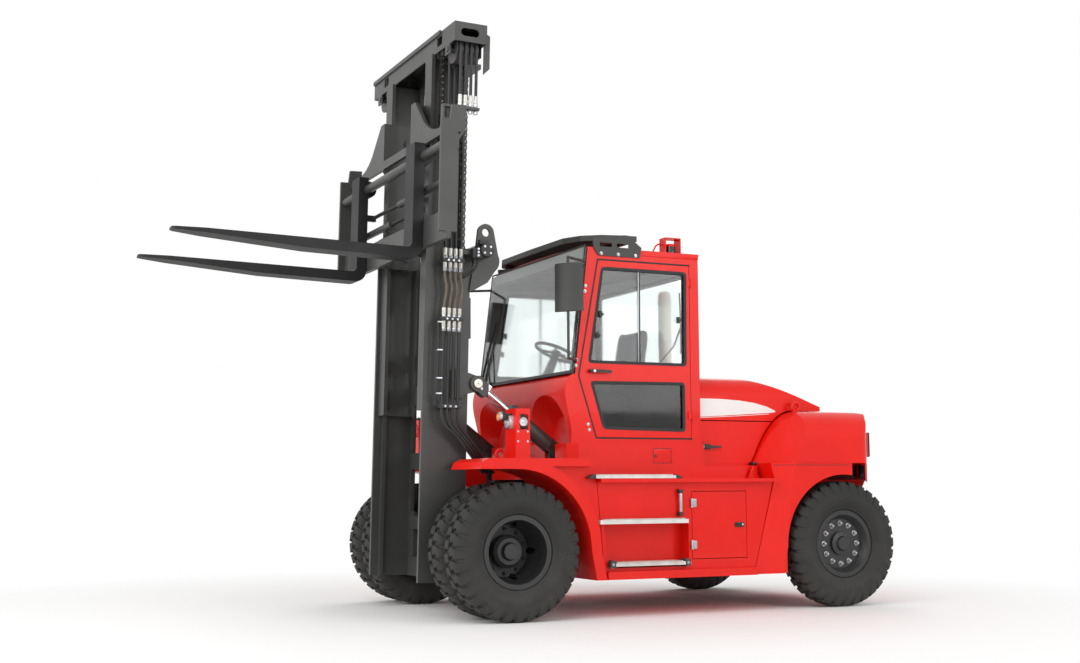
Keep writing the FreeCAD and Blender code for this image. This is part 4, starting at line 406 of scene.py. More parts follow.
def apply_modifiers(piece: bpy.types.Object) -> bpy.types.Object:
    """Bake a piece's modifiers into a plain mesh.

    Args:
        piece: the object to bake.

    Returns:
        The same object, with its modifiers gone.
    """
    bpy.context.view_layer.update()
    graph = bpy.context.evaluated_depsgraph_get()
    mesh = bpy.data.meshes.new_from_object(piece.evaluated_get(graph))
    piece.modifiers.clear()
    piece.data = mesh
    return piece


def joined(name: str, pieces: Sequence[bpy.types.Object], smooth: bool = True) -> bpy.types.Object:
    """One object from several, which are removed.

    Args:
        name: the new piece's name.
        pieces: objects with their places in their meshes.
        smooth: keep smooth shading with sharp corners.

    Returns:
        The joined object.
    """
    shape = bmesh.new()
    slots: list[bpy.types.Material] = []
    for piece in pieces:
        part = piece.data.copy()
        part.transform(piece.matrix_world)
        own = [m for m in part.materials]
        for material in own:
            if material not in slots:
                slots.append(material)
        places = [slots.index(m) for m in own] or [0]
        start = len(shape.faces)
        shape.from_mesh(part)
        shape.faces.ensure_lookup_table()
        for face in shape.faces[start:]:
            face.material_index = places[min(face.material_index, len(places) - 1)]
        bpy.data.meshes.remove(part)
        bpy.data.objects.remove(piece)
    mesh = bpy.data.meshes.new(name)
    shape.to_mesh(mesh)
    shape.free()
    for material in slots:
        mesh.materials.append(material)
    if smooth:
        mesh.shade_smooth()
        mesh.set_sharp_from_angle(angle=math.radians(35))
    return add_object(name, mesh)


def block(name: str, low: Sequence[float], high: Sequence[float], finish: Finishes, bevel: float = 0.002,
          segments: int = 2) -> bpy.types.Object:
    """Box with rounded edges.

    Args:
        name: the piece's name.
        low: lowest corner.
        high: highest corner.
        finish: its finish.
        bevel: the edges' radius.
        segments: facets across each rounded edge.

    Returns:
        The box.
    """
    shape = bmesh.new()
    size = Vector(high) - Vector(low)
    place = Matrix.Translation((Vector(low) + Vector(high)) / 2) @ Matrix.Diagonal((*size, 1))
    bmesh.ops.create_cube(shape, size=1.0, matrix=place)
    if bevel:
        bmesh.ops.bevel(shape, geom=list(shape.edges), offset=min(bevel, min(size) * 0.45),
                        segments=segments,
                        affect="EDGES", profile=0.6)
    return from_bmesh(name, shape, finish)


def prism(name: str, outline: Sequence[Point2], start: float, end: float, finish: Finishes, axis: str = "X",
          bevel: float = 0.0) -> bpy.types.Object:
    """Plate of a given outline.

    Args:
        name: the piece's name.
        outline: corners across the axis, as (y, z), (x, z) or (x, y).
        start: where it begins along the axis.
        end: where it ends.
        finish: its finish.
        axis: X, Y or Z.
        bevel: radius of its edges.

    Returns:
        The plate.
    """
    def corner(a: float, b: float, along: float) -> Vector:
        return Vector({"X": (along, a, b), "Y": (a, along, b), "Z": (a, b, along)}[axis])

    shape = bmesh.new()
    near = [shape.verts.new(corner(a, b, start)) for a, b in outline]
    far = [shape.verts.new(corner(a, b, end)) for a, b in outline]
    shape.faces.new(near)
    shape.faces.new(list(reversed(far)))
    for i in range(len(outline)):
        j = (i + 1) % len(outline)
        shape.faces.new((near[i], near[j], far[j], far[i]))
    if bevel:
        bmesh.ops.bevel(shape, geom=list(shape.edges), offset=bevel, segments=2, affect="EDGES",
                        profile=0.6)
    return from_bmesh(name, shape, finish)


def lathe(name: str, outline: Sequence[Point2], centre: Vector, direction: Vector, finish: Finishes,
          steps: int = 48) -> bpy.types.Object:
    """Solid of revolution.

    Args:
        name: the piece's name.
        outline: (distance along the axis, radius) points; ends on the axis are closed.
        centre: the axis's origin.
        direction: the axis's direction.
        finish: its finish.
        steps: facets round it.

    Returns:
        The turned piece.
    """
    turn = direction.normalized().to_track_quat("Z", "Y").to_matrix().to_4x4()
    shape = bmesh.new()
    rings = []
    for along, radius in outline:
        ring = []
        for i in range(steps):
            angle = 2 * math.pi * i / steps
            local = Vector((radius * math.cos(angle), radius * math.sin(angle), along))
            ring.append(shape.verts.new(Matrix.Translation(centre) @ turn @ local))
        rings.append(ring)
    closed = outline[0] == outline[-1]
    for lower, upper in zip(rings, rings[1:]):
        for i in range(steps):
            j = (i + 1) % steps
            shape.faces.new((lower[i], lower[j], upper[j], upper[i]))
    if not closed:
        for ring in (rings[0], rings[-1]):
            if (ring[0].co - ring[steps // 2].co).length > 1e-5:
                shape.faces.new(ring)
    bmesh.ops.remove_doubles(shape, verts=shape.verts, dist=1e-6)
    flat = [f for f in shape.faces if f.calc_area() < 1e-12]
    bmesh.ops.delete(shape, geom=flat, context="FACES")
    return from_bmesh(name, shape, finish)


def tube(name: str, points: Sequence[Vector], radius: float, finish: Finishes, smooth: bool = True,
         facets: int = 5) -> bpy.types.Object:
    """Round bar or hose along a path.

    Args:
        name: the piece's name.
        points: the path.
        radius: its radius.
        finish: its finish.
        smooth: curve through the points, or go straight between them.
        facets: half the number of sides, less two.

    Returns:
        The tube as a mesh.
    """
    curve = bpy.data.curves.new(name, "CURVE")
    curve.dimensions = "3D"
    curve.bevel_depth = radius
    curve.bevel_resolution = facets
    curve.use_fill_caps = True
    curve.resolution_u = 10
    line = curve.splines.new("NURBS" if smooth else "POLY")
    line.points.add(len(points) - 1)
    for spot, point in zip(line.points, points):
        spot.co = (*point, 1)
    if smooth:
        line.order_u = 3
        line.use_endpoint_u = True
    holder = bpy.data.objects.new(name, curve)
    bpy.context.scene.collection.objects.link(holder)
    graph = bpy.context.evaluated_depsgraph_get()
    mesh = bpy.data.meshes.new_from_object(holder.evaluated_get(graph))
    bpy.data.objects.remove(holder)
    mesh.name = name
    mesh.shade_smooth()
    mesh.set_sharp_from_angle(angle=math.radians(40))
    return add_object(name, mesh, finish)


def inset(outline: Sequence[Point2], distance: float) -> list[Point2]:
    """Convex outline moved inward, or outward where distance is negative.

    Args:
        outline: corners in order.
        distance: how far each side moves in.

    Returns:
        The moved corners.
    """
    count = len(outline)
    area = sum(outline[i][0] * outline[(i + 1) % count][1] - outline[(i + 1) % count][0] * outline[i][1]
               for i in range(count))
    sign = 1 if area > 0 else -1
    lines = []
    for i in range(count):
        a = Vector(outline[i])
        b = Vector(outline[(i + 1) % count])
        along = (b - a).normalized()
        lines.append((a + Vector((-along.y, along.x)) * distance * sign, along))
    moved = []
    for i in range(count):
        (p, d), (q, e) = lines[i - 1], lines[i]
        cross = d.x * e.y - d.y * e.x
        t = ((q.x - p.x) * e.y - (q.y - p.y) * e.x) / cross
        moved.append((p.x + d.x * t, p.y + d.y * t))
    return moved


def rounded(outline: Sequence[Point2], radius: float, steps: int = 4) -> list[Point2]:
    """Outline with its corners rounded.

    Args:
        outline: corners in order.
        radius: how far back from each corner the round begins.
        steps: facets at each corner.

    Returns:
        The rounded outline.
    """
    points = []
    count = len(outline)
    for i in range(count):
        before, here, after = Vector(outline[i - 1]), Vector(outline[i]), Vector(outline[(i + 1) % count])
        start = here + (before - here).normalized() * radius
        end = here + (after - here).normalized() * radius
        for k in range(steps + 1):
            t = k / steps
            point = start * (1 - t) ** 2 + here * 2 * t * (1 - t) + end * t * t
            points.append((point.x, point.y))
    return points


def gasket(name: str, outline: Sequence[Point2], width: float, start: float, end: float, finish: Finishes,
           radius: float = 0.05, axis: str = "X") -> bpy.types.Object:
    """Ring seal inside an outline.

    Args:
        name: the piece's name.
        outline: its outer corners across the axis.
        width: the ring's width.
        start: where it begins along the axis.
        end: where it ends.
        finish: its finish.
        radius: the outer corners' rounding.
        axis: X or Y.

    Returns:
        The ring.
    """
    outer = rounded(outline, radius)
    inner = rounded(inset(outline, width), max(radius - width, 0.01))
    shape = bmesh.new()
    rings = []
    for points, along in ((outer, start), (outer, end), (inner, end), (inner, start)):
        rings.append([shape.verts.new((along, a, b) if axis == "X" else (a, along, b)) for a, b in points])
    count = len(outer)
    for first, second in zip(rings, rings[1:] + rings[:1]):
        for i in range(count):
            j = (i + 1) % count
            shape.faces.new((first[i], first[j], second[j], second[i]))
    return from_bmesh(name, shape, finish)


# ------------------------------------------------------------------ geometry node repeats
class Repeat:
    """Geometry Nodes that copy one part along a line or round an axis along X."""

    def __init__(self) -> None:
        """Build the two trees."""
        self.line = self.build("repeat_along_line", round_axis=False)
        self.ring = self.build("repeat_round_axle", round_axis=True)

    @staticmethod
    def build(name: str, round_axis: bool) -> bpy.types.GeometryNodeTree:
        """One repeating tree.

        Args:
            name: the tree's name.
            round_axis: turn the copies about X instead of moving them along a line.

        Returns:
            The tree.
        """
        tree = bpy.data.node_groups.new(name, "GeometryNodeTree")
        face = tree.interface
        face.new_socket("Geometry", in_out="INPUT", socket_type="NodeSocketGeometry")
        face.new_socket("Part", in_out="INPUT", socket_type="NodeSocketObject")
        face.new_socket("Count", in_out="INPUT", socket_type="NodeSocketInt")
        face.new_socket("Start", in_out="INPUT", socket_type="NodeSocketVector")
        face.new_socket("Step", in_out="INPUT", socket_type="NodeSocketVector")
        face.new_socket("Phase", in_out="INPUT", socket_type="NodeSocketFloat")
        face.new_socket("Finish", in_out="INPUT", socket_type="NodeSocketMaterial")
        face.new_socket("Geometry", in_out="OUTPUT", socket_type="NodeSocketGeometry")
        add = tree.nodes.new
        given, put = add("NodeGroupInput"), add("NodeGroupOutput")
        points = add("GeometryNodePoints")
        index = add("GeometryNodeInputIndex")
        along = add("ShaderNodeVectorMath")
        along.operation = "SCALE"
        part = add("GeometryNodeObjectInfo")
        copies = add("GeometryNodeInstanceOnPoints")
        real = add("GeometryNodeRealizeInstances")
        dress = add("GeometryNodeSetMaterial")
        link = tree.links.new
        link(given.outputs["Count"], points.inputs["Count"])
        link(given.outputs["Part"], part.inputs["Object"])
        link(given.outputs["Step"], along.inputs[0])
        link(index.outputs[0], along.inputs["Scale"])
        place = add("ShaderNodeVectorMath")
        place.operation = "ADD"
        link(given.outputs["Start"], place.inputs[0])
        if round_axis:
            start = add("ShaderNodeCombineXYZ")
            link(given.outputs["Phase"], start.inputs["X"])
            spin = add("ShaderNodeVectorMath")
            spin.operation = "ADD"
            link(along.outputs[0], spin.inputs[0])
            link(start.outputs[0], spin.inputs[1])
            link(spin.outputs[0], copies.inputs["Rotation"])
        else:
            link(along.outputs[0], place.inputs[1])
        link(place.outputs[0], points.inputs["Position"])
        link(points.outputs[0], copies.inputs["Points"])
        link(part.outputs["Geometry"], copies.inputs["Instance"])
        link(copies.outputs[0], real.inputs[0])
        link(real.outputs[0], dress.inputs["Geometry"])
        link(given.outputs["Finish"], dress.inputs["Material"])
        link(dress.outputs[0], put.inputs[0])
        return tree

    def run(self, name: str, tree: bpy.types.GeometryNodeTree, part: bpy.types.Object, count: int,
            start: Vector,
            step: Vector, finish: Finishes, phase: float = 0.0) -> bpy.types.Object:
        """Make the copies as one plain mesh.

        Args:
            name: the new piece's name.
            tree: the line or the ring tree.
            part: the object to copy; it stays.
            count: how many copies.
            start: place of the first copy, or the axle's centre.
            step: move, or turn as Euler angles, from one copy to the next.
            finish: the copies' finish.
            phase: first copy's turn, in radians.

        Returns:
            The copies.
        """
        host = add_object(name, bpy.data.meshes.new(name))
        modifier = host.modifiers.new("repeat", "NODES")
        modifier.node_group = tree
        sockets = {item.name: item.identifier for item in tree.interface.items_tree if item.in_out == "INPUT"}
        modifier[sockets["Part"]] = part
        modifier[sockets["Count"]] = count
        modifier[sockets["Start"]] = tuple(start)
        modifier[sockets["Step"]] = tuple(step)
        modifier[sockets["Phase"]] = phase
        modifier[sockets["Finish"]] = finish.material()
        return apply_modifiers(host)

    def along(self, name: str, part: bpy.types.Object, count: int, start: Vector, step: Vector,
              finish: Finishes) -> bpy.types.Object:
        """Copies along a line; the part is used up."""
        made = self.run(name, self.line, part, count, start, step, finish)
        bpy.data.objects.remove(part)
        return made

    def around(self, name: str, part: bpy.types.Object, count: int, centre: Vector, step: float,
               finish: Finishes,
               phase: float = 0.0) -> bpy.types.Object:
        """Copies round a line along X; the part is used up."""
        made = self.run(name, self.ring, part, count, centre, Vector((step, 0, 0)), finish, phase)
        bpy.data.objects.remove(part)
        return made


# ------------------------------------------------------------------ small shared parts and mounting
def truck(x: float, y: float, z: float) -> Vector:
    """A point of the truck, measured from the ground under the front axle.

    Args:
        x: distance to the left of the centre line.
        y: distance behind the front axle.
        z: height above the ground.

    Returns:
        The point in the frame.
    """
    return Vector((x, AXLE.y + y, z))


def shifted(outline: Sequence[Point2]) -> list[Point2]:
    """Outline of (y, z) points moved from the front axle's origin into the frame's."""
    return [(AXLE.y + y, z) for y, z in outline]


def mount(piece: bpy.types.Object, body: str,
          instead_of: Sequence[str] = ()) -> bpy.types.Object:
    """Put a finished piece on its body.

    Args:
        piece: the piece.
        body: the moving body that carries it.
        instead_of: CAD nodes that it stands for.

    Returns:
        The piece.
    """
    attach(piece, body)
    for node in instead_of:
        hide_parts(node)
    LOG.info("%s on %s: %d faces", piece.name, body, len(piece.data.polygons))
    return piece


def mirror_image(piece: bpy.types.Object, name: str) -> bpy.types.Object:
    """Copy of a left piece for the right side.

    Args:
        piece: the left piece.
        name: the copy's name.

    Returns:
        The right piece.
    """
    mesh = piece.data.copy()
    mesh.transform(Matrix.Diagonal((-1, 1, 1, 1)))
    mesh.flip_normals()
    return add_object(name, mesh)


def pair(name: str, pieces: Sequence[bpy.types.Object], body: str,
         instead_of: Sequence[str] = ()) -> None:
    """Mount left pieces as one object, and its mirror image on the right.

    Args:
        name: the pair's name.
        pieces: the left side's pieces.
        body: the carrying body, whose name ends in the side where it holds "{side}".
        instead_of: CAD nodes that the pair stands for; "{side}" is filled in.
    """
    left = joined(f"{name}_left", pieces)
    right = mirror_image(left, f"{name}_right")
    for piece, (side, _) in zip((left, right), SIDES):
        once = [n.format(side=side) for n in instead_of if "{side}" in n or side == "left"]
        mount(piece, body.format(side=side), once)


def bolt(name: str, centre: Vector, out: Vector, size: float, finish: "Finishes",
         sides: int = 6) -> bpy.types.Object:
    """Screw head on its washer.

    Args:
        name: the piece's name.
        centre: where it meets the surface.
        out: direction that it points in.
        size: the head's radius.
        finish: its finish.
        sides: 6 for a hexagon head, more for a round one.

    Returns:
        The screw head.
    """
    washer = lathe(f"{name}_washer", [(-0.001, 0), (-0.001, size * 1.35), (0.0015, size * 1.35),
                                      (0.0015, 0)], centre, out,
                   finish, 16)
    head = lathe(f"{name}_head", [(0.0015, 0), (0.0015, size), (size * 0.62, size),
                                  (size * 0.75, size * 0.8),
                                  (size * 0.75, 0)], centre, out, finish, sides)
    return joined(name, [washer, head])


def band(name: str, outer: Sequence[Point2], inner: Sequence[Point2], start: float, end: float,
         finish: "Finishes",
         axis: str = "X", bevel: float = 0.0) -> bpy.types.Object:
    """Flat panel between two outlines with the same number of corners.

    Args:
        name: the piece's name.
        outer: outer corners across the axis.
        inner: inner corners, in step with the outer ones.
        start: where it begins along the axis.
        end: where it ends.
        finish: its finish.
        axis: X, Y or Z.
        bevel: radius of its edges.

    Returns:
        The panel.
    """
    def corner(a: float, b: float, along: float) -> Vector:
        return Vector({"X": (along, a, b), "Y": (a, along, b), "Z": (a, b, along)}[axis])

    shape = bmesh.new()
    rings = [[shape.verts.new(corner(a, b, along)) for a, b in points]
             for points, along in ((outer, start), (outer, end), (inner, end), (inner, start))]
    count = len(outer)
    for first, second in zip(rings, rings[1:] + rings[:1]):
        for i in range(count):
            j = (i + 1) % count
            shape.faces.new((first[i], first[j], second[j], second[i]))
    if bevel:
        edges = [e for e in shape.edges if e.calc_face_angle(0) > 0.6]
        bmesh.ops.bevel(shape, geom=edges, offset=bevel, segments=2, affect="EDGES", profile=0.6)
    return from_bmesh(name, shape, finish)


def surface_of(*nodes: str) -> BVHTree:
    """Search tree over the meshes of some CAD nodes."""
    corners: list[Vector] = []
    faces: list[list[int]] = []
    for node in nodes:
        source = frame["nodes"][node]
        start = len(corners)
        corners += [source.matrix_world @ v.co for v in source.data.vertices]
        faces += [[start + i for i in face.vertices] for face in source.data.polygons]
    return BVHTree.FromPolygons(corners, faces)


def draped(name: str, outline: Sequence[Point2], cover: BVHTree, finish: "Finishes", cell: float = 0.03,
           thickness: float = 0.0012) -> bpy.types.Object:
    """Thin film laid on the left side of some CAD nodes.

    Args:
        name: the piece's name.
        outline: its (y, z) corners in the frame, as seen from the left.
        cover: the surface it lies on.
        finish: its finish.
        cell: size of its facets.
        thickness: how thick it is.

    Returns:
        The film.
    """
    shape = bmesh.new()
    shape.faces.new([shape.verts.new((0, y, z)) for y, z in outline])
    low_y, high_y = min(p[0] for p in outline), max(p[0] for p in outline)
    low_z, high_z = min(p[1] for p in outline), max(p[1] for p in outline)
    for low, high, axis in ((low_y, high_y, 1), (low_z, high_z, 2)):
        for k in range(1, int((high - low) / cell) + 1):
            place = [0.0, 0.0, 0.0]
            facing = [0.0, 0.0, 0.0]
            place[axis] = low + k * cell
            facing[axis] = 1.0
            bmesh.ops.bisect_plane(shape, geom=shape.verts[:] + shape.edges[:] + shape.faces[:],
                                   plane_co=place,
                                   plane_no=facing)
    bmesh.ops.triangulate(shape, faces=[f for f in shape.faces if len(f.verts) > 4])
    for vert in shape.verts:
        found = cover.ray_cast(Vector((3, vert.co.y, vert.co.z)), Vector((-1, 0, 0)))[0]
        vert.co.x = found.x + 0.0008 if found else 0.9
    mesh = bpy.data.meshes.new(name)
    bmesh.ops.recalc_face_normals(shape, faces=shape.faces)
    for face in shape.faces:
        face.smooth = True
    shape.to_mesh(mesh)
    shape.free()
    film = add_object(name, mesh, finish)
    if film.data.polygons[0].normal.x < 0:
        film.data.flip_normals()
    thick = film.modifiers.new("thick", "SOLIDIFY")
    thick.thickness = thickness
    thick.offset = 1
    return apply_modifiers(film)


# ------------------------------------------------------------------ studio
@dataclass
class Studio:
    """Camera, light and floor."""

    eye: Vector = field(default_factory=lambda: AXLE + Vector((11.0456, -4.4286, 1.0132 - AXLE.z)))
    heading_deg: float = 25.239
    rise_deg: float = 6.172
    roll_deg: float = -0.283
    lens_mm: float = 47.535

    def build(self) -> None:
        """Make the camera, lamps, world and floor."""
        self.camera()
        self.lamps()
        self.world()
        self.floor()

    def camera(self) -> None:
        """Place the camera and make it the scene's own."""
        data = bpy.data.cameras.new("view")
        data.lens = self.lens_mm
        data.sensor_width = 36
        data.clip_end = 200
        camera = bpy.data.objects.new("view", data)
        bpy.context.scene.collection.objects.link(camera)
        heading, rise, roll = (math.radians(v) for v in (self.heading_deg, self.rise_deg, self.roll_deg))
        forward = Vector((-math.cos(heading) * math.cos(rise), math.sin(heading) * math.cos(rise),
                          math.sin(rise)))
        right = forward.cross(Vector((0, 0, 1))).normalized()
        upward = right.cross(forward)
        turned = right * math.cos(roll) + upward * math.sin(roll)
        upward = upward * math.cos(roll) - right * math.sin(roll)
        basis = Matrix((turned, upward, -forward)).transposed().to_4x4()
        camera.matrix_world = Matrix.Translation(self.eye) @ basis
        bpy.context.scene.camera = camera

    @staticmethod
    def lamps() -> None:
        """One broad key from the front left, one from behind the camera and a low rim light."""
        for name, place, size, power in (("key", (6, -7, 9), 7, 400), ("front", (1.5, -10, 4), 6, 310),
                                         ("fill", (10, 4, 5), 6, 280),
                                         ("back", (-8, 6, 7), 6, 230)):
            data = bpy.data.lights.new(name, "AREA")
            data.size = size
            data.energy = power
            lamp = bpy.data.objects.new(name, data)
            lamp.location = place
            lamp.rotation_euler = (Vector((0, 0, 1.5)) - Vector(place)).to_track_quat("-Z", "Y").to_euler()
            bpy.context.scene.collection.objects.link(lamp)

    @staticmethod
    def world() -> None:
        """White to the camera, through glass and in reflections; softer as light."""
        world = bpy.data.worlds.new("studio")
        bpy.context.scene.world = world
        world.use_nodes = True
        tree = world.node_tree
        back = tree.nodes["Background"]
        seen = tree.nodes.new("ShaderNodeLightPath")
        white = tree.nodes.new("ShaderNodeBackground")
        white.inputs["Color"].default_value = (1, 1, 1, 1)
        back.inputs["Color"].default_value = (1.0, 0.985, 0.96, 1)
        back.inputs["Strength"].default_value = 0.62
        clear = tree.nodes.new("ShaderNodeMath")
        clear.operation = "MAXIMUM"
        mix = tree.nodes.new("ShaderNodeMixShader")
        tree.links.new(seen.outputs["Is Camera Ray"], clear.inputs[0])
        tree.links.new(seen.outputs["Is Transmission Ray"], clear.inputs[1])
        bright = tree.nodes.new("ShaderNodeMath")
        bright.operation = "MAXIMUM"
        tree.links.new(clear.outputs[0], bright.inputs[0])
        tree.links.new(seen.outputs["Is Glossy Ray"], bright.inputs[1])
        tree.links.new(bright.outputs[0], mix.inputs[0])
        tree.links.new(back.outputs[0], mix.inputs[1])
        tree.links.new(white.outputs[0], mix.inputs[2])
        tree.links.new(mix.outputs[0], tree.nodes["World Output"].inputs["Surface"])

    @staticmethod
    def floor() -> None:
        """Pale floor that fades to white away from the truck."""
        mesh = bpy.data.meshes.new("floor")
        reach = 60.0
        mesh.from_pydata([(-reach, -reach, 0), (reach, -reach, 0), (reach, reach, 0), (-reach, reach, 0)],
                         [],
                         [(0, 1, 2, 3)])
        floor = add_object("floor", mesh)
        made = bpy.data.materials.new("floor_pale")
        made.use_nodes = True
        tree = made.node_tree
        shader = tree.nodes["Principled BSDF"]
        shader.inputs["Base Color"].default_value = (0.93, 0.93, 0.93, 1)
        shader.inputs["Roughness"].default_value = 0.85
        place = tree.nodes.new("ShaderNodeTexCoord")
        far = tree.nodes.new("ShaderNodeVectorMath")
        far.operation = "LENGTH"
        fade = tree.nodes.new("ShaderNodeMapRange")
        fade.inputs["From Min"].default_value = 2.6
        fade.inputs["From Max"].default_value = 6.0
        white = tree.nodes.new("ShaderNodeEmission")
        mix = tree.nodes.new("ShaderNodeMixShader")
        seen = tree.nodes.new("ShaderNodeLightPath")
        only = tree.nodes.new("ShaderNodeMath")
        only.operation = "MULTIPLY"
        tree.links.new(place.outputs["Object"], far.inputs[0])
        tree.links.new(far.outputs["Value"], fade.inputs["Value"])
        tree.links.new(fade.outputs["Result"], only.inputs[0])
        tree.links.new(seen.outputs["Is Camera Ray"], only.inputs[1])
        tree.links.new(only.outputs[0], mix.inputs[0])
        tree.links.new(shader.outputs[0], mix.inputs[1])
        tree.links.new(white.outputs[0], mix.inputs[2])
        tree.links.new(mix.outputs[0], tree.nodes["Material Output"].inputs["Surface"])
        mesh.materials.append(made)


# ------------------------------------------------------------------ wheels
@dataclass
class Wheels:
    """Tyres with their tread, and the nuts on the rims."""

    repeat: Repeat
    lugs: int = 32
    tread_depth: float = 0.022
    stud_radius: float = 0.1675

    def build(self) -> None:
        """Dress every wheel."""
        for side, sign in SIDES:
            low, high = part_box(f"front_tyres_{side}")
            width = (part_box(f"rear_tyre_{side}")[1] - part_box(f"rear_tyre_{side}")[0]).x
            front = [self.tyre(f"front_{side}_{i}", Vector((x, AXLE.y, AXLE.z)), width)
                     for i, x in enumerate((low.x + width / 2, high.x - width / 2))]
            twin = joined(f"twin_tyres_{side}", front)
            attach(twin, f"front_wheels_{side}")
            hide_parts(f"front_tyres_{side}")
            single = self.tyre(f"steer_tyre_{side}", middle(f"rear_tyre_{side}"), width)
            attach(single, f"rear_wheel_{side}")
            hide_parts(f"rear_tyre_{side}")
            self.nuts(side, sign)
            LOG.info("wheels %s", side)

    def tyre(self, name: str, centre: Vector, width: float) -> bpy.types.Object:
        """One tyre: carcass with its ribs, and a ring of blocks on each shoulder.

        Args:
            name: the piece's name.
            centre: the wheel's centre.
            width: the tyre's full width.

        Returns:
            The tyre.
        """
        radius = centre.z
        base = radius - self.tread_depth
        half = width / 2
        bead = 0.256
        wall = [(0.088, bead), (0.090, bead + 0.026), (0.108, bead + 0.030), (half - 0.022, bead + 0.048),
                (half - 0.018, bead + 0.052), (half - 0.008, bead + 0.075), (half - 0.004, bead + 0.080),
                (half, radius - 0.150), (half, radius - 0.128), (half - 0.003, radius - 0.122),
                (half - 0.003, radius - 0.100), (half - 0.010, radius - 0.072), (0.118, base - 0.022),
                (0.104, base - 0.006), (0.06, base), (0.0, base + 0.001)]
        outline = [(-x, r) for x, r in wall] + [(x, r) for x,
                                                r in reversed(wall[:-1])] + [(-wall[0][0], wall[0][1])]
        carcass = lathe(f"{name}_carcass", outline, centre, Vector((1, 0, 0)), Finishes.TYRE, steps=96)
        turn = 2 * math.pi / self.lugs
        pieces = [carcass]
        for sign, phase in ((1, 0.0), (-1, turn / 2)):
            lug = self.lug(f"{name}_lug", radius, sign)
            pieces.append(self.repeat.around(f"{name}_lugs", lug, self.lugs, centre, turn, Finishes.TYRE,
                                             phase))
        return joined(name, pieces)

    def lug(self, name: str, radius: float, sign: int) -> bpy.types.Object:
        """One tread block, standing at the top of a wheel whose axle is the X axis.

        Args:
            name: the piece's name.
            radius: the tyre's outer radius.
            sign: 1 for the left shoulder, -1 for the right.

        Returns:
            The block.
        """
        pitch = 2 * math.pi * radius / self.lugs
        stations = [(0.006, 0.0, 0.34, 0.30), (0.030, 0.0, 0.36, 0.18), (0.056, 0.001, 0.32, 0.30),
                    (0.088, 0.004, 0.37, 0.10), (0.107, 0.012, 0.36, 0.04), (0.121, 0.034, 0.33, 0.02),
                    (0.133, 0.070, 0.28, 0.0), (0.1365, 0.098, 0.22, 0.0)]
        shape = bmesh.new()
        rings = []
        for x, drop, share, shift in stations:
            half = pitch * share
            mid = pitch * (shift - 0.1)
            top = radius - drop
            low = top - 0.030
            inner = x - (0.018 if x > 0.12 else 0.0)
            rings.append([shape.verts.new((sign * inner, mid - half, low)),
                          shape.verts.new((sign * x, mid - half + 0.004, top)),
                          shape.verts.new((sign * x, mid + half - 0.004,
                                           top)), shape.verts.new((sign * inner, mid + half, low))])
        for first, second in zip(rings, rings[1:]):
            for i in range(4):
                j = (i + 1) % 4
                shape.faces.new((first[i], first[j], second[j], second[i]))
        shape.faces.new(rings[0])
        shape.faces.new(list(reversed(rings[-1])))
        return from_bmesh(name, shape, Finishes.TYRE, smooth=False)

    def nut(self, name: str, outward: int, size: float, domed: bool) -> bpy.types.Object:
        """One wheel nut with its washer and stud end, at the stud circle's top.

        Args:
            name: the piece's name.
            outward: 1 where the nut faces +X.
            size: across its flats.
            domed: True for a closed nut.

        Returns:
            The nut.
        """
        centre = Vector((0, 0, self.stud_radius))
        out = Vector((outward, 0, 0))
        washer = lathe(f"{name}_washer", [(0, 0), (0, size * 0.72), (0.004, size * 0.72), (0.004, 0)],
                       centre, out,
                       Finishes.ZINC, 16)
        body = lathe(f"{name}_body", [(0.004, 0), (0.004, size * 0.56), (0.020, size * 0.56),
                                      (0.023, size * 0.48),
                                      (0.023, 0)], centre, out, Finishes.ZINC, 6)
        tip = [(0.023, 0), (0.023, size * 0.34), (0.034, size * 0.3 if domed else size * 0.32),
               (0.038, size * 0.16), (0.039, 0)]
        return joined(name, [washer, body, lathe(f"{name}_tip", tip, centre, out, Finishes.ZINC, 12)])

    def nuts(self, side: str, sign: int) -> None:
        """Nuts round the rims of one side."""
        tyre_x = middle(f"rear_tyre_{side}").x
        disc = tyre_x + sign * 0.042
        made = self.repeat.around(f"steer_nuts_{side}", self.nut("steer_nut", sign, 0.030, True), 12,
                                  Vector((disc, REAR_AXLE.y, REAR_AXLE.z)), math.tau / 12, Finishes.ZINC)
        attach(made, f"rear_wheel_{side}")
        low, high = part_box(f"front_tyres_{side}")
        disc = (low.x + high.x) / 2
        made = self.repeat.around(f"drive_nuts_{side}", self.nut("drive_nut", sign, 0.030, False), 10,
                                  Vector((disc, AXLE.y, AXLE.z)), math.tau / 10, Finishes.RIM_BLACK)
        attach(made, f"front_wheels_{side}")


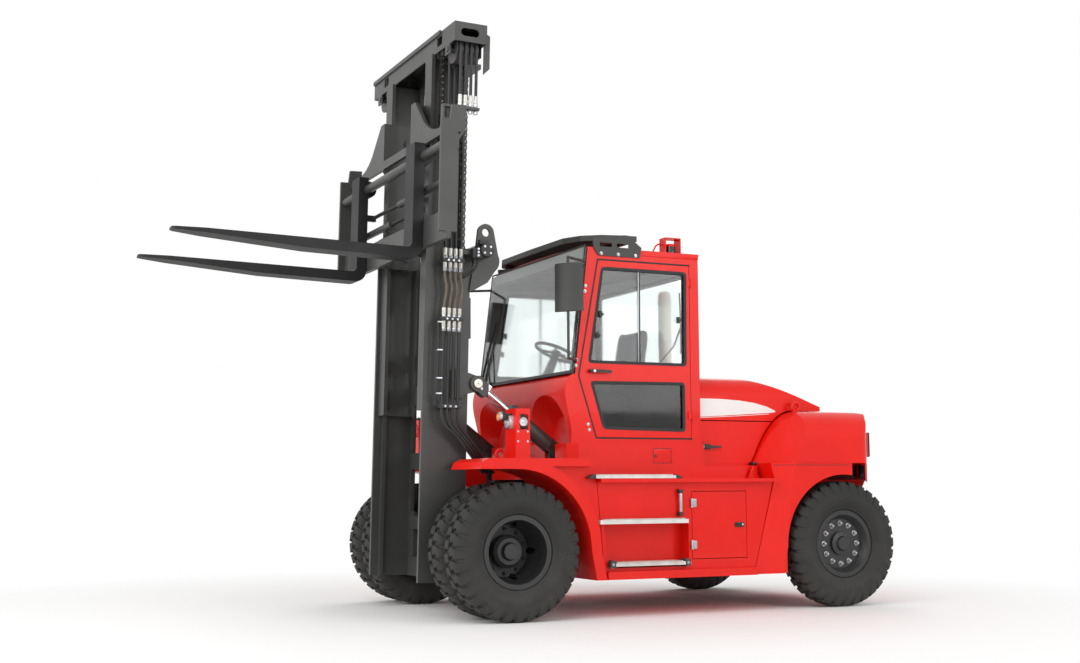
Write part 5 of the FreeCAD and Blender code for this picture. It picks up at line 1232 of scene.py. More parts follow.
# ------------------------------------------------------------------ mast
@dataclass
class Mast:
    """Chains, hoses and fittings of the mast; its rails keep their CAD shapes."""

    repeat: Repeat
    chain_x: float = 0.626
    sheave_y: float = -0.358
    sheave_z: float = 4.468
    chain_r: float = 0.1013
    pitch: float = 0.0508
    link_r: float = 0.0175
    plate_t: float = 0.0042
    plate_gap: float = 0.0049
    hose_x: float = 0.818
    hose_r: float = 0.120
    hose_drop: float = 0.032
    hose_radius: float = 0.0125
    hose_pitch: float = 0.044
    hoses: int = 4
    joint_z: float = 2.86
    second_z: float = 2.39
    clamp_z: float = 1.605
    arm_z: float = 3.95
    anchor_top_z: float = 2.875
    carriage_z: float = 3.825
    valve_at: Point2 = (-0.075, 2.880)

    def build(self) -> None:
        """Make the chains, hoses and pins."""
        for side, sign in SIDES:
            self.chain(side, sign)
        self.anchors()
        self.hose_runs()
        self.fixed_hoses()
        self.valve_block()
        self.chassis_hoses()
        self.carriage_end()
        self.pins()

    def plates(self, name: str, places: Sequence[float]) -> bpy.types.Object:
        """Plates of one leaf-chain link, standing along Z at the origin.

        Args:
            name: the piece's name.
            places: the plates' middles across the chain.

        Returns:
            The plates.
        """
        outline = []
        for end in (1, -1):
            for k in range(7):
                angle = math.radians(100) * (k / 3 - 1)
                outline.append((self.link_r * math.sin(angle) * end,
                                end * (self.pitch / 2 + self.link_r * math.cos(angle))))
            outline.append((self.link_r * 0.72 * end, 0.0))
        half = self.plate_t / 2
        return joined(name, [prism(f"{name}_{i}", outline, x - half, x + half, Finishes.CHAIN) for i,
                             x in enumerate(places)])

    def chain_pins(self, name: str) -> bpy.types.Object:
        """The two pins of one link."""
        profile = [(-0.0285, 0), (-0.0285, 0.006), (-0.027, 0.0075), (0.027, 0.0075), (0.0285, 0.006),
                   (0.0285, 0)]
        return joined(name, [lathe(f"{name}_{end}", profile, Vector((0, 0, (end - 0.5) * self.pitch)),
                                   Vector((1, 0, 0)),
                                   Finishes.CHAIN_PIN, 10) for end in (0, 1)])

    def chain_parts(self, name: str) -> list[tuple[bpy.types.Object, float, Finishes]]:
        """One part of each kind that the chain repeats, with its offset in pitches and its finish."""
        wide = [self.plate_gap * k for k in (-5, -3, -1, 1, 3, 5)]
        narrow = [self.plate_gap * k for k in (-4, -2, 0, 2, 4)]
        return [(self.plates(f"{name}_wide", wide), 0.5, Finishes.CHAIN),
                (self.chain_pins(f"{name}_pins"), 0.5, Finishes.CHAIN_PIN),
                (self.plates(f"{name}_narrow", narrow), 1.5, Finishes.CHAIN)]

    def chain(self, side: str, sign: int) -> None:
        """Three stretches of one lift chain.

        Args:
            side: left or right.
            sign: 1 on the left, -1 on the right.
        """
        x = sign * self.chain_x
        lean = -math.acos(min(UP.z, 1.0))
        for name, way, bottom, other in (("front", -1, self.carriage_z, "carriage"),
                                         ("rear", 1, self.anchor_top_z, "mast_outer")):
            y = self.sheave_y + way * self.chain_r
            count = int((self.sheave_z - bottom) / (2 * self.pitch)) + 1
            pieces = []
            for part, offset, finish in self.chain_parts(f"chain_{name}"):
                part.data.transform(Matrix.Rotation(lean, 4, "X"))
                start = on_mast(x, y, self.sheave_z - offset * self.pitch)
                pieces.append(self.repeat.along(f"chain_{name}", part, count, start, UP * (-2 * self.pitch),
                                                finish))
            made = joined(f"lift_chain_{name}_{side}", pieces)
            tuple(on_mast(x, y, self.sheave_z))
            tuple(on_mast(x, y, bottom))
            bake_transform(made)
            if name == "front":
                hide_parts("lift_chains")
        turn = self.pitch / self.chain_r
        count = int(math.pi / (2 * turn)) + 1
        centre = on_mast(x, self.sheave_y, self.sheave_z)
        pieces = []
        for part, offset, finish in self.chain_parts("chain_wrap"):
            part.data.transform(Matrix.Translation((0, 0, self.chain_r)) @ Matrix.Rotation(math.pi / 2, 4,
                                                                                           "X"))
            first = math.pi / 2 - turn * offset + lean
            pieces.append(self.repeat.around("chain_wrap", part, count, centre, -2 * turn, finish, first))
        mount(joined(f"lift_chain_wrap_{side}", pieces), "mast_inner")

    def anchors(self) -> None:
        """Clevis, threaded stud and nuts at both ends of each chain."""
        for name, way, top, body in (("carriage", -1, self.carriage_z, "carriage"),
                                     ("mast", 1, self.anchor_top_z, "mast_outer")):
            y = self.sheave_y + way * self.chain_r
            foot = on_mast(self.chain_x, y, top)
            pieces = [lathe(f"{name}_clevis", [(-0.01, 0), (-0.01, 0.024), (0.0, 0.028), (0.030, 0.028),
                                               (0.036, 0.022),
                                               (0.036, 0)], foot, UP, Finishes.CHAIN, 24),
                      lathe(f"{name}_stud", [(-0.05, 0), (-0.05, 0.012), (0.0, 0.012), (0.0, 0)], foot, UP,
                            Finishes.ZINC, 12),
                      lathe(f"{name}_nut", [(-0.045, 0), (-0.045, 0.020), (-0.021, 0.020), (-0.021, 0)],
                            foot, UP,
                            Finishes.ZINC, 6)]
            pair(f"chain_anchor_{name}", pieces, body)

    def hose_y(self, index: int) -> float:
        """One hose's place along Y on the upright mast."""
        return self.sheave_y + (index - (self.hoses - 1) / 2) * self.hose_pitch

    def hose_runs(self) -> None:
        """Moving hoses: rising stretch, wrap over the sheave and falling stretch."""
        z = self.sheave_z - self.hose_drop
        near, far = self.hose_x - self.hose_r, self.hose_x + self.hose_r
        rising, falling, wraps = [], [], []
        for i in range(self.hoses):
            y = self.hose_y(i)
            rising.append(self.straight(f"hose_up_{i}", near, y, self.joint_z, z, 24))
            falling.append(self.straight(f"hose_down_{i}", far, y, self.arm_z + 0.09, z, 8))
            arc = [on_mast(self.hose_x + self.hose_r * math.cos(a), y, z + self.hose_r * math.sin(a))
                   for a in (math.pi * k / 16 for k in range(17))]
            wraps.append(tube(f"hose_wrap_{i}", arc, self.hose_radius, Finishes.HOSE, smooth=False))
        up = joined("mast_hoses_rising", rising)
        tuple(on_mast(0, 0, self.joint_z))
        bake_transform(up)
        down = joined("mast_hoses_falling", falling)
        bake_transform(down)
        over = joined("mast_hoses_over", wraps)
        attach(over, "mast_inner")
        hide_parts("mast_hoses")

    def straight(self, name: str, x: float, y: float, low: float, high: float,
                 cuts: int) -> bpy.types.Object:
        """A straight stretch of hose with rings of points along it.

        Args:
            name: the piece's name.
            x: its place across the truck.
            y: its place along the upright mast.
            low: its lower end.
            high: its upper end.
            cuts: stretches between rings.

        Returns:
            The hose.
        """
        line = [on_mast(x, y, low + (high - low) * k / cuts) for k in range(cuts + 1)]
        return tube(name, line, self.hose_radius, Finishes.HOSE, smooth=False)

    def coupling(self, name: str, x: float, y: float, z: float, length: float) -> bpy.types.Object:
        """Crimped hose end with its nut, the crimp upward.

        Args:
            name: the piece's name.
            x: its place across the truck.
            y: its place along the upright mast.
            z: its lower end.
            length: its whole length.

        Returns:
            The coupling.
        """
        foot = on_mast(x, y, z)
        nut = lathe(f"{name}_nut", [(0, 0), (0, 0.0165), (0.003, 0.0185), (0.026, 0.0185), (0.029, 0.0165),
                                    (0.029, 0)], foot,
                    UP, Finishes.ZINC, 6)
        ribs = [(0.029, 0), (0.029, 0.0145)]
        step = (length - 0.034) / 8
        for k in range(8):
            radius = 0.0172 if k % 2 else 0.0152
            ribs += [(0.031 + k * step, radius), (0.031 + (k + 0.8) * step, radius)]
        ribs += [(length, 0.0145), (length, 0)]
        return joined(name, [nut, lathe(f"{name}_crimp", ribs, foot, UP, Finishes.FITTING, 20)])

    def clamp(self, name: str, z: float, height: float) -> list[bpy.types.Object]:
        """Two-part clamp that holds the four hoses on a bracket from the rail.

        Args:
            name: the piece's name.
            z: its lower edge on the upright mast.
            height: its height.

        Returns:
            Its pieces.
        """
        x = self.hose_x - self.hose_r
        front, rear = self.hose_y(0) - 0.026, self.hose_y(self.hoses - 1) + 0.026
        pieces = []
        for x0, x1 in ((x - 0.024, x - 0.002), (x + 0.002, x + 0.022)):
            low, high = on_mast(x0, front, z), on_mast(x1, rear, z + height)
            pieces.append(block(f"{name}_half", low, high, Finishes.TRIM, 0.004))
        foot_low, foot_high = on_mast(0.588, front + 0.03, z + 0.004), on_mast(x - 0.022, rear - 0.03,
                                                                               z + height - 0.004)
        pieces.append(block(f"{name}_foot", foot_low, foot_high, Finishes.MAST_GREY, 0.002))
        for i in range(self.hoses - 1):
            y = (self.hose_y(i) + self.hose_y(i + 1)) / 2
            pieces.append(bolt(f"{name}_bolt_{i}", on_mast(x + 0.022, y, z + height / 2), Vector((1, 0, 0)),
                               0.0065,
                               Finishes.ZINC))
        return pieces

    def fixed_hoses(self) -> None:
        """Hoses held down the outer rail, with their couplings and clamps."""
        x = self.hose_x - self.hose_r
        pieces = []
        for i in range(self.hoses):
            y = self.hose_y(i)
            upper = self.joint_z - 0.09
            pieces.append(self.coupling(f"top_coupling_{i}", x, y, self.joint_z - 0.075, 0.085))
            pieces.append(self.coupling(f"under_coupling_{i}", x, y, upper - 0.085, 0.080))
            pieces.append(self.coupling(f"mid_coupling_{i}", x, y, self.second_z - 0.08, 0.085))
            pieces.append(self.coupling(f"low_coupling_{i}", x, y, self.second_z - 0.180, 0.085))
            bend = 0.022
            path = [on_mast(x, y, upper - 0.06), on_mast(x, y, upper - 0.14),
                    on_mast(x + 0.004, y + bend, 2.56),
                    on_mast(x, y + bend * 0.2, self.second_z + 0.05), on_mast(x, y, self.second_z)]
            pieces.append(tube(f"brown_hose_{i}", path, self.hose_radius * 0.92, Finishes.HOSE_BROWN))
            path = [on_mast(x, y, z) for z in (self.second_z - 0.10, 2.1, 1.9, self.clamp_z + 0.05,
                                               self.clamp_z - 0.01)]
            pieces.append(tube(f"black_hose_{i}", path, self.hose_radius, Finishes.HOSE))
        for name, z in (("top", self.joint_z - 0.105), ("second", self.second_z - 0.10),
                        ("third", self.clamp_z)):
            pieces += self.clamp(f"{name}_clamp", z, 0.036)
        pieces += self.feed_line()
        mount(joined("fixed_hose_set", pieces), "mast_outer", ["outer_hoses"])

    def feed_line(self) -> list[bpy.types.Object]:
        """Thin line in front of the hoses, strapped to the first of them."""
        heights = (2.28, 2.06, 1.84, 1.72)
        x = self.hose_x - self.hose_r - 0.006
        front = self.hose_y(0) - 0.034
        path = [on_mast(x, front - (0.0 if k % 2 else 0.008), z) for k, z in enumerate(heights)]
        path += [on_mast(x + 0.002, front + 0.010, 1.67), on_mast(x + 0.006, self.hose_y(0), 1.625)]
        pieces = [tube("feed_line", path, 0.007, Finishes.HOSE)]
        for k, z in enumerate(heights):
            low, high = on_mast(x - 0.012, front - 0.018, z - 0.007), on_mast(x + 0.018, front + 0.030,
                                                                              z + 0.007)
            pieces.append(block(f"clip_{k}", low, high, Finishes.ZINC, 0.003))
        return pieces

    def chassis_hoses(self) -> None:
        """Hoses that bend from the mast's foot back into the truck's frame."""
        x = self.hose_x - self.hose_r
        pieces = []
        for i in range(self.hoses):
            start = on_mast(x, self.hose_y(i), self.clamp_z)
            spread = i * 0.030
            path = [start, start - UP * 0.12, truck(x, -0.275 + spread, 1.41),
                    truck(x - 0.004, -0.190 + spread, 1.30),
                    truck(x - 0.030, -0.100 + spread, 1.205), truck(x - 0.075, -0.020 + spread, 1.115)]
            pieces.append(tube(f"chassis_hose_{i}", path, self.hose_radius, Finishes.HOSE))
        made = joined("chassis_hose_set", pieces)
        tuple(on_mast(x, self.sheave_y, self.clamp_z - 0.03))
        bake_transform(made)

    def valve_block(self) -> None:
        """Black valve with its boss, unions and pipes on the outer mast's eye plate."""
        out = Vector((1, 0, 0))
        y, z = self.valve_at
        face = 0.6665
        pieces = [lathe("valve_boss", [(-0.002, 0), (-0.002, 0.062), (0.010, 0.062), (0.014, 0.056),
                                       (0.060, 0.056), (0.066, 0.050),
                                       (0.066, 0)], on_mast(face, y, z), out, Finishes.TRIM, 36),
                  block("valve_body", on_mast(face - 0.002, y - 0.120, z - 0.070),
                        on_mast(face + 0.050, y - 0.040, z + 0.010),
                        Finishes.TRIM, 0.004),
                  block("valve_foot", on_mast(face - 0.002, y - 0.060, z + 0.045),
                        on_mast(face + 0.040, y + 0.020, z + 0.085),
                        Finishes.TRIM, 0.004)]
        for k in range(4):
            angle = math.pi / 4 + k * math.pi / 2
            place = on_mast(face + 0.066, y + 0.036 * math.cos(angle), z + 0.036 * math.sin(angle))
            pieces.append(bolt(f"valve_bolt_{k}", place, out, 0.007, Finishes.ZINC))
        for k, dz in enumerate((-0.052, -0.026, 0.0)):
            pieces.append(lathe(f"valve_union_{k}", [(0, 0), (0, 0.012), (0.014, 0.012), (0.016, 0.008),
                                                     (0.024, 0.008), (0.024, 0)],
                                on_mast(face + 0.050, y - 0.080, z + dz), out, Finishes.ZINC, 6))
        for k, (dy, dz) in enumerate(((-0.095, -0.068), (-0.065, -0.068))):
            x = face + 0.024 - 0.008 * k
            run = [on_mast(x, y + dy, z + dz), on_mast(x, y + dy, z - 0.130),
                   on_mast(x, y + dy - 0.060, z - 0.200),
                   on_mast(x, y + dy - 0.120, z - 0.235)]
            pieces.append(tube(f"valve_pipe_{k}", run, 0.008, Finishes.TRIM))
        pair("valve_blocks", pieces, "mast_outer")

    def carriage_end(self) -> None:
        """Couplings of the falling hoses on the carriage's arm, and the hoses that leave it."""
        x = self.hose_x + self.hose_r
        pieces = []
        for i in range(self.hoses):
            pieces.append(self.coupling(f"arm_coupling_{i}", x, self.hose_y(i), self.arm_z + 0.004, 0.095))
            pieces.append(lathe(f"arm_nut_{i}", [(0, 0), (0, 0.019), (-0.026, 0.019), (-0.026, 0)],
                                on_mast(x, self.hose_y(i), self.arm_z - 0.021), UP, Finishes.ZINC, 6))
        mount(joined("carriage_couplings", pieces), "carriage")

    def pins(self) -> None:
        """Pin plates of the tilt cylinders, each with a nipple and a bolt beside it."""
        ear = 0.062
        for node, body in (("tilt_rod_left", "tilt_piston_{side}"),
                           ("tilt_barrel_left", "tilt_cylinder_{side}")):
            low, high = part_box(node)
            front = body.startswith("tilt_piston")
            centre = Vector((low.x + 0.050, low.y + ear if front else high.y - ear,
                             high.z - ear if front else low.z + ear))
            face = 0.690
            out = Vector((1, 0, 0))
            pieces = [lathe("pin_plate", [(-0.002, 0), (-0.002, 0.036), (0.004, 0.036), (0.006, 0.034),
                                          (0.006, 0)],
                            Vector((face, centre.y, centre.z)), out, Finishes.FITTING, 32),
                      lathe("pin_nipple", [(0.006, 0), (0.006, 0.008), (0.016, 0.005), (0.016, 0)],
                            Vector((face, centre.y, centre.z)), out, Finishes.ZINC, 12),
                      bolt("pin_bolt", Vector((face - 0.002, centre.y + 0.030, centre.z - 0.040)), out,
                           0.008, Finishes.ZINC)]
            name = "rod" if front else "barrel"
            pair(f"tilt_{name}_pin", pieces, body)


# ------------------------------------------------------------------ cab
@dataclass
class Cab:
    """Linings, seals, glazing bars, wipers, controls and the padded seat."""

    outside: float = 0.950
    floor: float = 1.365
    ceiling: float = 2.905
    rear: float = 1.750
    screen_foot: Point2 = (0.612, 1.895)
    screen_head: Point2 = (0.742, 2.945)
    opening: tuple[Point2, ...] = ((0.827, 1.396), (1.700, 1.396), (1.700, 2.821), (0.853, 2.821),
                                   (0.675, 1.885))
    side: tuple[Point2, ...] = ((0.765, 1.372), (1.746, 1.372), (1.746, 2.904), (0.758, 2.904),
                                (0.631, 1.893))
    upper: tuple[Point2, ...] = ((0.760, 1.993), (1.658, 1.993), (1.666, 2.763), (0.886, 2.763))
    lower: tuple[Point2, ...] = ((0.890, 1.467), (1.638, 1.453), (1.638, 1.845), (0.780, 1.835))

    def build(self) -> None:
        """Dress the cab."""
        self.door()
        self.door_surround()
        self.linings()
        self.screens()
        self.seat()
        self.console()
        self.furniture()

    def door(self) -> None:
        """Panes, seals, sliding bar, latches, lining and handle of the doors."""
        panes = []
        for name, outline, finish in (("upper", self.upper, Finishes.GLASS),
                                      ("lower", self.lower, Finishes.DARK_GLASS)):
            panes.append(prism(f"{name}_pane", shifted(rounded(inset(outline, 0.002), 0.03)), 0.926, 0.934,
                               finish))
        pair("door_panes", panes, "cab_door_body_{side}", ["door_glass_{side}"])
        pieces = []
        for outline in (self.upper, self.lower):
            edge = shifted(inset(outline, -0.008))
            pieces.append(gasket("outer_seal", edge, 0.024, 0.936, 0.9530, Finishes.SEAL, 0.038))
            pieces.append(gasket("inner_seal", edge, 0.024, 0.906, 0.924, Finishes.SEAL, 0.038))
        for y, wide, finish in ((1.216, 0.007, Finishes.ZINC), (1.226, 0.010, Finishes.TRIM)):
            bar = shifted([(y, 2.002), (y + wide, 2.002), (y + wide + 0.004, 2.754), (y + 0.004, 2.754)])
            pieces.append(prism("glazing_bar", bar, 0.934, 0.945, finish, bevel=0.002))
        for y, z in ((0.873, 2.384), (0.842, 2.214), (1.596, 2.368)):
            pieces += self.latch(y, z)
        panel = shifted(inset(self.opening, 0.012))
        for outline, cut in ((self.lower, 1.905), (self.upper, None)):
            pieces += self.lining_of(panel, outline, cut)
        pieces += self.handle()
        pair("door_fittings", pieces, "cab_door_body_{side}")

    def lining_of(self, panel: Sequence[Point2], window: Sequence[Point2],
                  cut: float | None) -> list[bpy.types.Object]:
        """Half of a door's inner lining, round one window.

        Args:
            panel: the door's outline in the frame.
            window: the window's outline.
            cut: height of the lining's upper edge, or None for the upper half.

        Returns:
            Its pieces.
        """
        split = 1.905
        inner = shifted(inset(window, -0.020))
        if cut:
            outer = [panel[0], panel[1], (panel[1][0], split), (panel[4][0] + 0.005, split - 0.02)]
        else:
            outer = [(panel[4][0] + 0.008, split + 0.002), (panel[1][0], split + 0.002), panel[2], panel[3]]
        return [band("door_lining", outer, inner, 0.900, 0.9085, Finishes.LINING, bevel=0.002)]

    def latch(self, y: float, z: float) -> list[bpy.types.Object]:
        """Finger latch on a sliding pane.

        Args:
            y: its middle behind the front axle.
            z: its middle's height.

        Returns:
            Its pieces.
        """
        low, high = truck(0.934, y - 0.013, z - 0.026), truck(0.950, y + 0.013, z + 0.026)
        lug_low, lug_high = truck(0.950, y - 0.022, z - 0.009), truck(0.962, y + 0.022, z + 0.009)
        return [block("latch_body", low, high, Finishes.TRIM, 0.004),
                block("latch_lug", lug_low, lug_high, Finishes.TRIM, 0.004)]

    def handle(self) -> list[bpy.types.Object]:
        """Slim black pull with its lock, over the door's own grip."""
        y0, z = 0.757, 1.920
        grip = rounded([(y0 - 0.004, z - 0.013), (y0 + 0.190, z - 0.012), (y0 + 0.190, z + 0.010),
                        (y0 - 0.004, z + 0.014)], 0.010)
        pieces = [prism("handle_grip", shifted(grip), 0.9695, 0.9945, Finishes.TRIM, bevel=0.005)]
        for y in (y0 + 0.012, y0 + 0.168):
            pieces.append(block("handle_foot", truck(0.949, y - 0.012, z - 0.012),
                                truck(0.972, y + 0.012, z + 0.012),
                                Finishes.TRIM, 0.004))
        pieces.append(lathe("lock", [(0, 0), (0, 0.012), (0.007, 0.012), (0.009, 0.010), (0.009, 0.004),
                                     (0.007, 0.003),
                                     (0.007, 0)], truck(0.9945, y0 + 0.030, z), Vector((1, 0,
                                                                                        0)), Finishes.ZINC,
                                                                                        20))
        return pieces

    def door_surround(self) -> None:
        """Rubber lip round four sides of the doorway and the bolts on the front pillar."""
        near, far = shifted(inset(self.opening, -0.0035)), shifted(inset(self.opening, -0.013))
        pieces = []
        for i, j in ((0, 1), (2, 3), (3, 4), (4, 0)):
            strip = [near[i], near[j], far[j], far[i]]
            pieces.append(prism("doorway_lip", strip, 0.9495, 0.9530, Finishes.SEAL))
        for (y, z), lean in (((0.742, 2.585), -0.19), ((0.655, 1.985), -0.19), ((0.762, 1.475), 0.31)):
            for k in (-1, 1):
                place = truck(0.9505, y - lean * 0.9 * 0.018 * k - 0.008, z + 0.022 * k)
                pieces.append(bolt("pillar_bolt", place, Vector((1, 0, 0)), 0.0095, Finishes.ZINC, 12))
        pair("doorway", pieces, "truck")

    def linings(self) -> None:
        """Grey panels inside the cab: sides, rear wall, ceiling, cowl and floor mat."""
        doorway = shifted(inset(self.opening, -0.016))
        side = shifted(self.side)
        pair("side_lining", [band("side_lining", side, doorway, 0.880, 0.889, Finishes.PILLAR,
                                  bevel=0.003)], "truck")
        wall = [(-0.8795, 1.372), (0.8795, 1.372), (0.8795, 2.904), (-0.8795, 2.904)]
        window = [(-0.806, 1.999), (0.806, 1.999), (0.806, 2.781), (-0.806, 2.781)]
        rear = AXLE.y + self.rear
        pieces = [band("rear_wall", wall, window, rear - 0.012, rear - 0.0005, Finishes.LINING, "Y", 0.004)]
        pieces.append(gasket("rear_seal_in", window, 0.030, rear - 0.016, rear + 0.010, Finishes.SEAL, 0.05,
                             "Y"))
        window_out = [(-0.806, 1.999), (0.806, 1.999), (0.806, 2.781), (-0.806, 2.781)]
        pieces.append(gasket("rear_seal_out", window_out, 0.032, AXLE.y + 1.776, AXLE.y + 1.794,
                             Finishes.SEAL, 0.05, "Y"))
        header = [(0.757, 2.836), (0.828, 2.836), (0.832, 2.850), (0.832, 2.9035), (0.757, 2.9035)]
        pieces.append(prism("header_trim", shifted(header), -0.886, 0.886, Finishes.HEADLINER, "X", 0.003))
        pieces += self.screen_edges()
        front, back = AXLE.y + 0.826, AXLE.y + self.rear - 0.012
        plan = [(-0.8797, front), (0.8797, front), (0.8797, back), (-0.8797, back)]
        field_plan = inset(plan, 0.10)
        ceiling = self.ceiling
        pieces.append(band("ceiling_rim", plan, field_plan, ceiling - 0.022, ceiling - 0.0005,
                           Finishes.HEADLINER, "Z", 0.006))
        pieces.append(prism("ceiling_field", inset(field_plan, -0.004), ceiling - 0.014, ceiling - 0.002,
                            Finishes.HEADLINER, "Z"))
        mat = inset([(-0.868, front + 0.03), (0.868, front + 0.03), (0.868, back - 0.01),
                     (-0.868, back - 0.01)], 0.01)
        pieces.append(prism("floor_mat", rounded(mat, 0.04), self.floor, self.floor + 0.006, Finishes.TRIM,
                            "Z", 0.002))
        pieces.append(prism("cowl_shelf", shifted([(0.625, 1.897), (0.790, 1.897), (0.800, 1.915),
                                                   (0.640, 1.925)]), -0.860, 0.860,
                            Finishes.TRIM, "X", 0.006))
        mount(joined("cab_linings", pieces), "truck")

    def screen_edges(self) -> list[bpy.types.Object]:
        """Strips behind the windscreen's edges, over the pillars and the header."""
        made = []
        for name, x0, x1, foot, head in (("near", 0.879, 0.9455, 0.0, 0.985),
                                         ("far", -0.9455, -0.879, 0.0, 0.985),
                                         ("top", -0.944, 0.944, 0.900, 0.985)):
            shape = bmesh.new()
            rings = [[shape.verts.new(self.on_screen(x, up, out)) for x in (x0, x1) for up in (foot, head)]
                     for out in (-0.0115, -0.0150)]
            for (a, b, c, d) in rings:
                shape.faces.new((a, b, d, c))
            for i, j in ((0, 1), (1, 3), (3, 2), (2, 0)):
                shape.faces.new((rings[0][i], rings[0][j], rings[1][j], rings[1][i]))
            finish = Finishes.FRIT if name == "near" else Finishes.LINING
            made.append(from_bmesh(f"screen_edge_{name}", shape, finish, smooth=False))
        return made

    def on_screen(self, x: float, up: float, out: float) -> Vector:
        """A point on the windscreen.

        Args:
            x: distance to the left of the centre line.
            up: share of the way from its foot to its head.
            out: distance in front of the glass.

        Returns:
            The point in the frame.
        """
        (y0, z0), (y1, z1) = self.screen_foot, self.screen_head
        run = Vector((0, y1 - y0, z1 - z0))
        facing = Vector((0, -run.z, run.y)).normalized()
        return truck(x, y0, z0) + run * up + facing * out

    def screens(self) -> None:
        """Windscreen border, foot strip and the wipers front and rear."""
        pieces = []
        corners = [(-0.946, 0.0), (0.946, 0.0), (0.946, 1.0), (-0.946, 1.0)]
        inner = [(-0.932, 0.030), (0.932, 0.030), (0.932, 0.986), (-0.932, 0.986)]
        shape = bmesh.new()
        rings = [[shape.verts.new(self.on_screen(x, up, out)) for x, up in line]
                 for line, out in ((corners, 0.0002), (corners, 0.0035), (inner, 0.0025), (inner, 0.0002))]
        for first, second in zip(rings, rings[1:] + rings[:1]):
            for i in range(4):
                j = (i + 1) % 4
                shape.faces.new((first[i], first[j], second[j], second[i]))
        pieces.append(from_bmesh("screen_border", shape, Finishes.SEAL))
        pieces.append(prism("screen_foot", shifted([(0.580, 1.8965), (0.609, 1.8965), (0.611, 1.920),
                                                    (0.603, 1.924),
                                                    (0.592,
                                                     1.910)]), -0.945, 0.945, Finishes.TRIM, "X", 0.003))
        pieces += self.front_wiper(-0.66)
        pieces += self.rear_wiper()
        mount(joined("screen_trim", pieces), "truck")

    def front_wiper(self, x: float) -> list[bpy.types.Object]:
        """Wiper with its pivot at the windscreen's foot.

        Args:
            x: the pivot's place across the truck.

        Returns:
            Its pieces.
        """
        pivot = self.on_screen(x, 0.02, 0.022)
        elbow = self.on_screen(x - 0.13, 0.30, 0.030)
        facing = (self.on_screen(0, 0, 1) - self.on_screen(0, 0, 0)).normalized()
        blade = [self.on_screen(x - 0.22, 0.06, 0.016), self.on_screen(x - 0.13, 0.30, 0.022),
                 self.on_screen(x - 0.04, 0.56, 0.016)]
        rubber = [self.on_screen(x - 0.22, 0.06, 0.008), self.on_screen(x - 0.04, 0.56, 0.008)]
        return [lathe("wiper_pivot", [(-0.02, 0), (-0.02, 0.020), (0.008, 0.018), (0.014, 0.010),
                                      (0.014, 0)], pivot, facing,
                      Finishes.TRIM, 20),
                tube("wiper_arm", [pivot, elbow], 0.0075, Finishes.TRIM, smooth=False),
                tube("wiper_frame", blade, 0.0065, Finishes.TRIM, smooth=False),
                tube("wiper_rubber", rubber, 0.0045, Finishes.SEAL, smooth=False)]

    def rear_wiper(self) -> list[bpy.types.Object]:
        """Wiper on the rear window."""
        y = 1.800
        return [lathe("rear_pivot", [(-0.012, 0), (-0.012, 0.026), (0.010, 0.022), (0.016, 0.012),
                                     (0.016, 0)],
                      truck(0.20, y - 0.004, 2.035), Vector((0, 1, 0)), Finishes.TRIM, 20),
                tube("rear_arm", [truck(0.20, y + 0.006, 2.035), truck(0.52, y + 0.006, 2.20),
                                  truck(0.655, y + 0.002, 2.36)],
                     0.008, Finishes.TRIM, smooth=False),
                tube("rear_blade", [truck(0.66, y - 0.010, 2.12), truck(0.655, y - 0.004, 2.36),
                                    truck(0.65, y - 0.010, 2.64)],
                     0.0075, Finishes.TRIM, smooth=False)]

    def seat(self) -> None:
        """Seat cushion and backrest, blown up as cloth, with their piping."""
        for node, facing in (("seat_cushion", Vector((0, 0, -1))), ("seat_backrest", Vector((0, 1, 0)))):
            pad = self.pad(node)
            pieces = [pad] + self.piping(node, pad, facing)
            made = joined(f"padded_{node}", pieces)
            mount(made, "truck", [node])

    def pad(self, node: str) -> bpy.types.Object:
        """Inflated copy of a cushion's CAD solid.

        Args:
            node: the CAD node.

        Returns:
            The pad.
        """
        low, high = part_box(node)
        centre, size = (low + high) / 2, high - low
        shape = bmesh.new()
        shape.from_mesh(frame["nodes"][node].data)
        bmesh.ops.remove_doubles(shape, verts=shape.verts, dist=1e-5)
        bmesh.ops.dissolve_limit(shape, angle_limit=0.02, verts=shape.verts, edges=shape.edges)
        bmesh.ops.bevel(shape, geom=list(shape.edges), offset=0.028, segments=3, affect="EDGES",
                        profile=0.5)
        for vert in shape.verts:
            for k in range(3):
                vert.co[k] = centre[k] + (vert.co[k] - centre[k]) * (1 - 0.024 / size[k])
        pad = from_bmesh(f"pad_{node}", shape, Finishes.SEAT)
        grid = pad.modifiers.new("grid", "REMESH")
        grid.mode = "VOXEL"
        grid.voxel_size = 0.007
        apply_modifiers(pad)
        rest = [v.co.copy() for v in pad.data.vertices]
        cloth = pad.modifiers.new("cloth", "CLOTH")
        cloth.settings.use_pressure = True
        cloth.settings.uniform_pressure_force = 4.0
        cloth.settings.effector_weights.gravity = 0.0
        cloth.settings.quality = 4
        scene = bpy.context.scene
        for step in range(1, 21):
            scene.frame_set(step)
        apply_modifiers(pad)
        scene.frame_set(1)
        cap = 0.024
        for vert, start in zip(pad.data.vertices, rest):
            moved = vert.co - start
            if moved.length > cap:
                vert.co = start + moved * (cap / moved.length)
            for k in range(3):
                vert.co[k] = min(max(vert.co[k], low[k] - 0.004), high[k] + 0.004)
        soft = pad.modifiers.new("soft", "SUBSURF")
        soft.levels = soft.render_levels = 1
        apply_modifiers(pad)
        pad.data.materials.clear()
        pad.data.materials.append(Finishes.SEAT.material())
        pad.data.shade_smooth()
        return pad

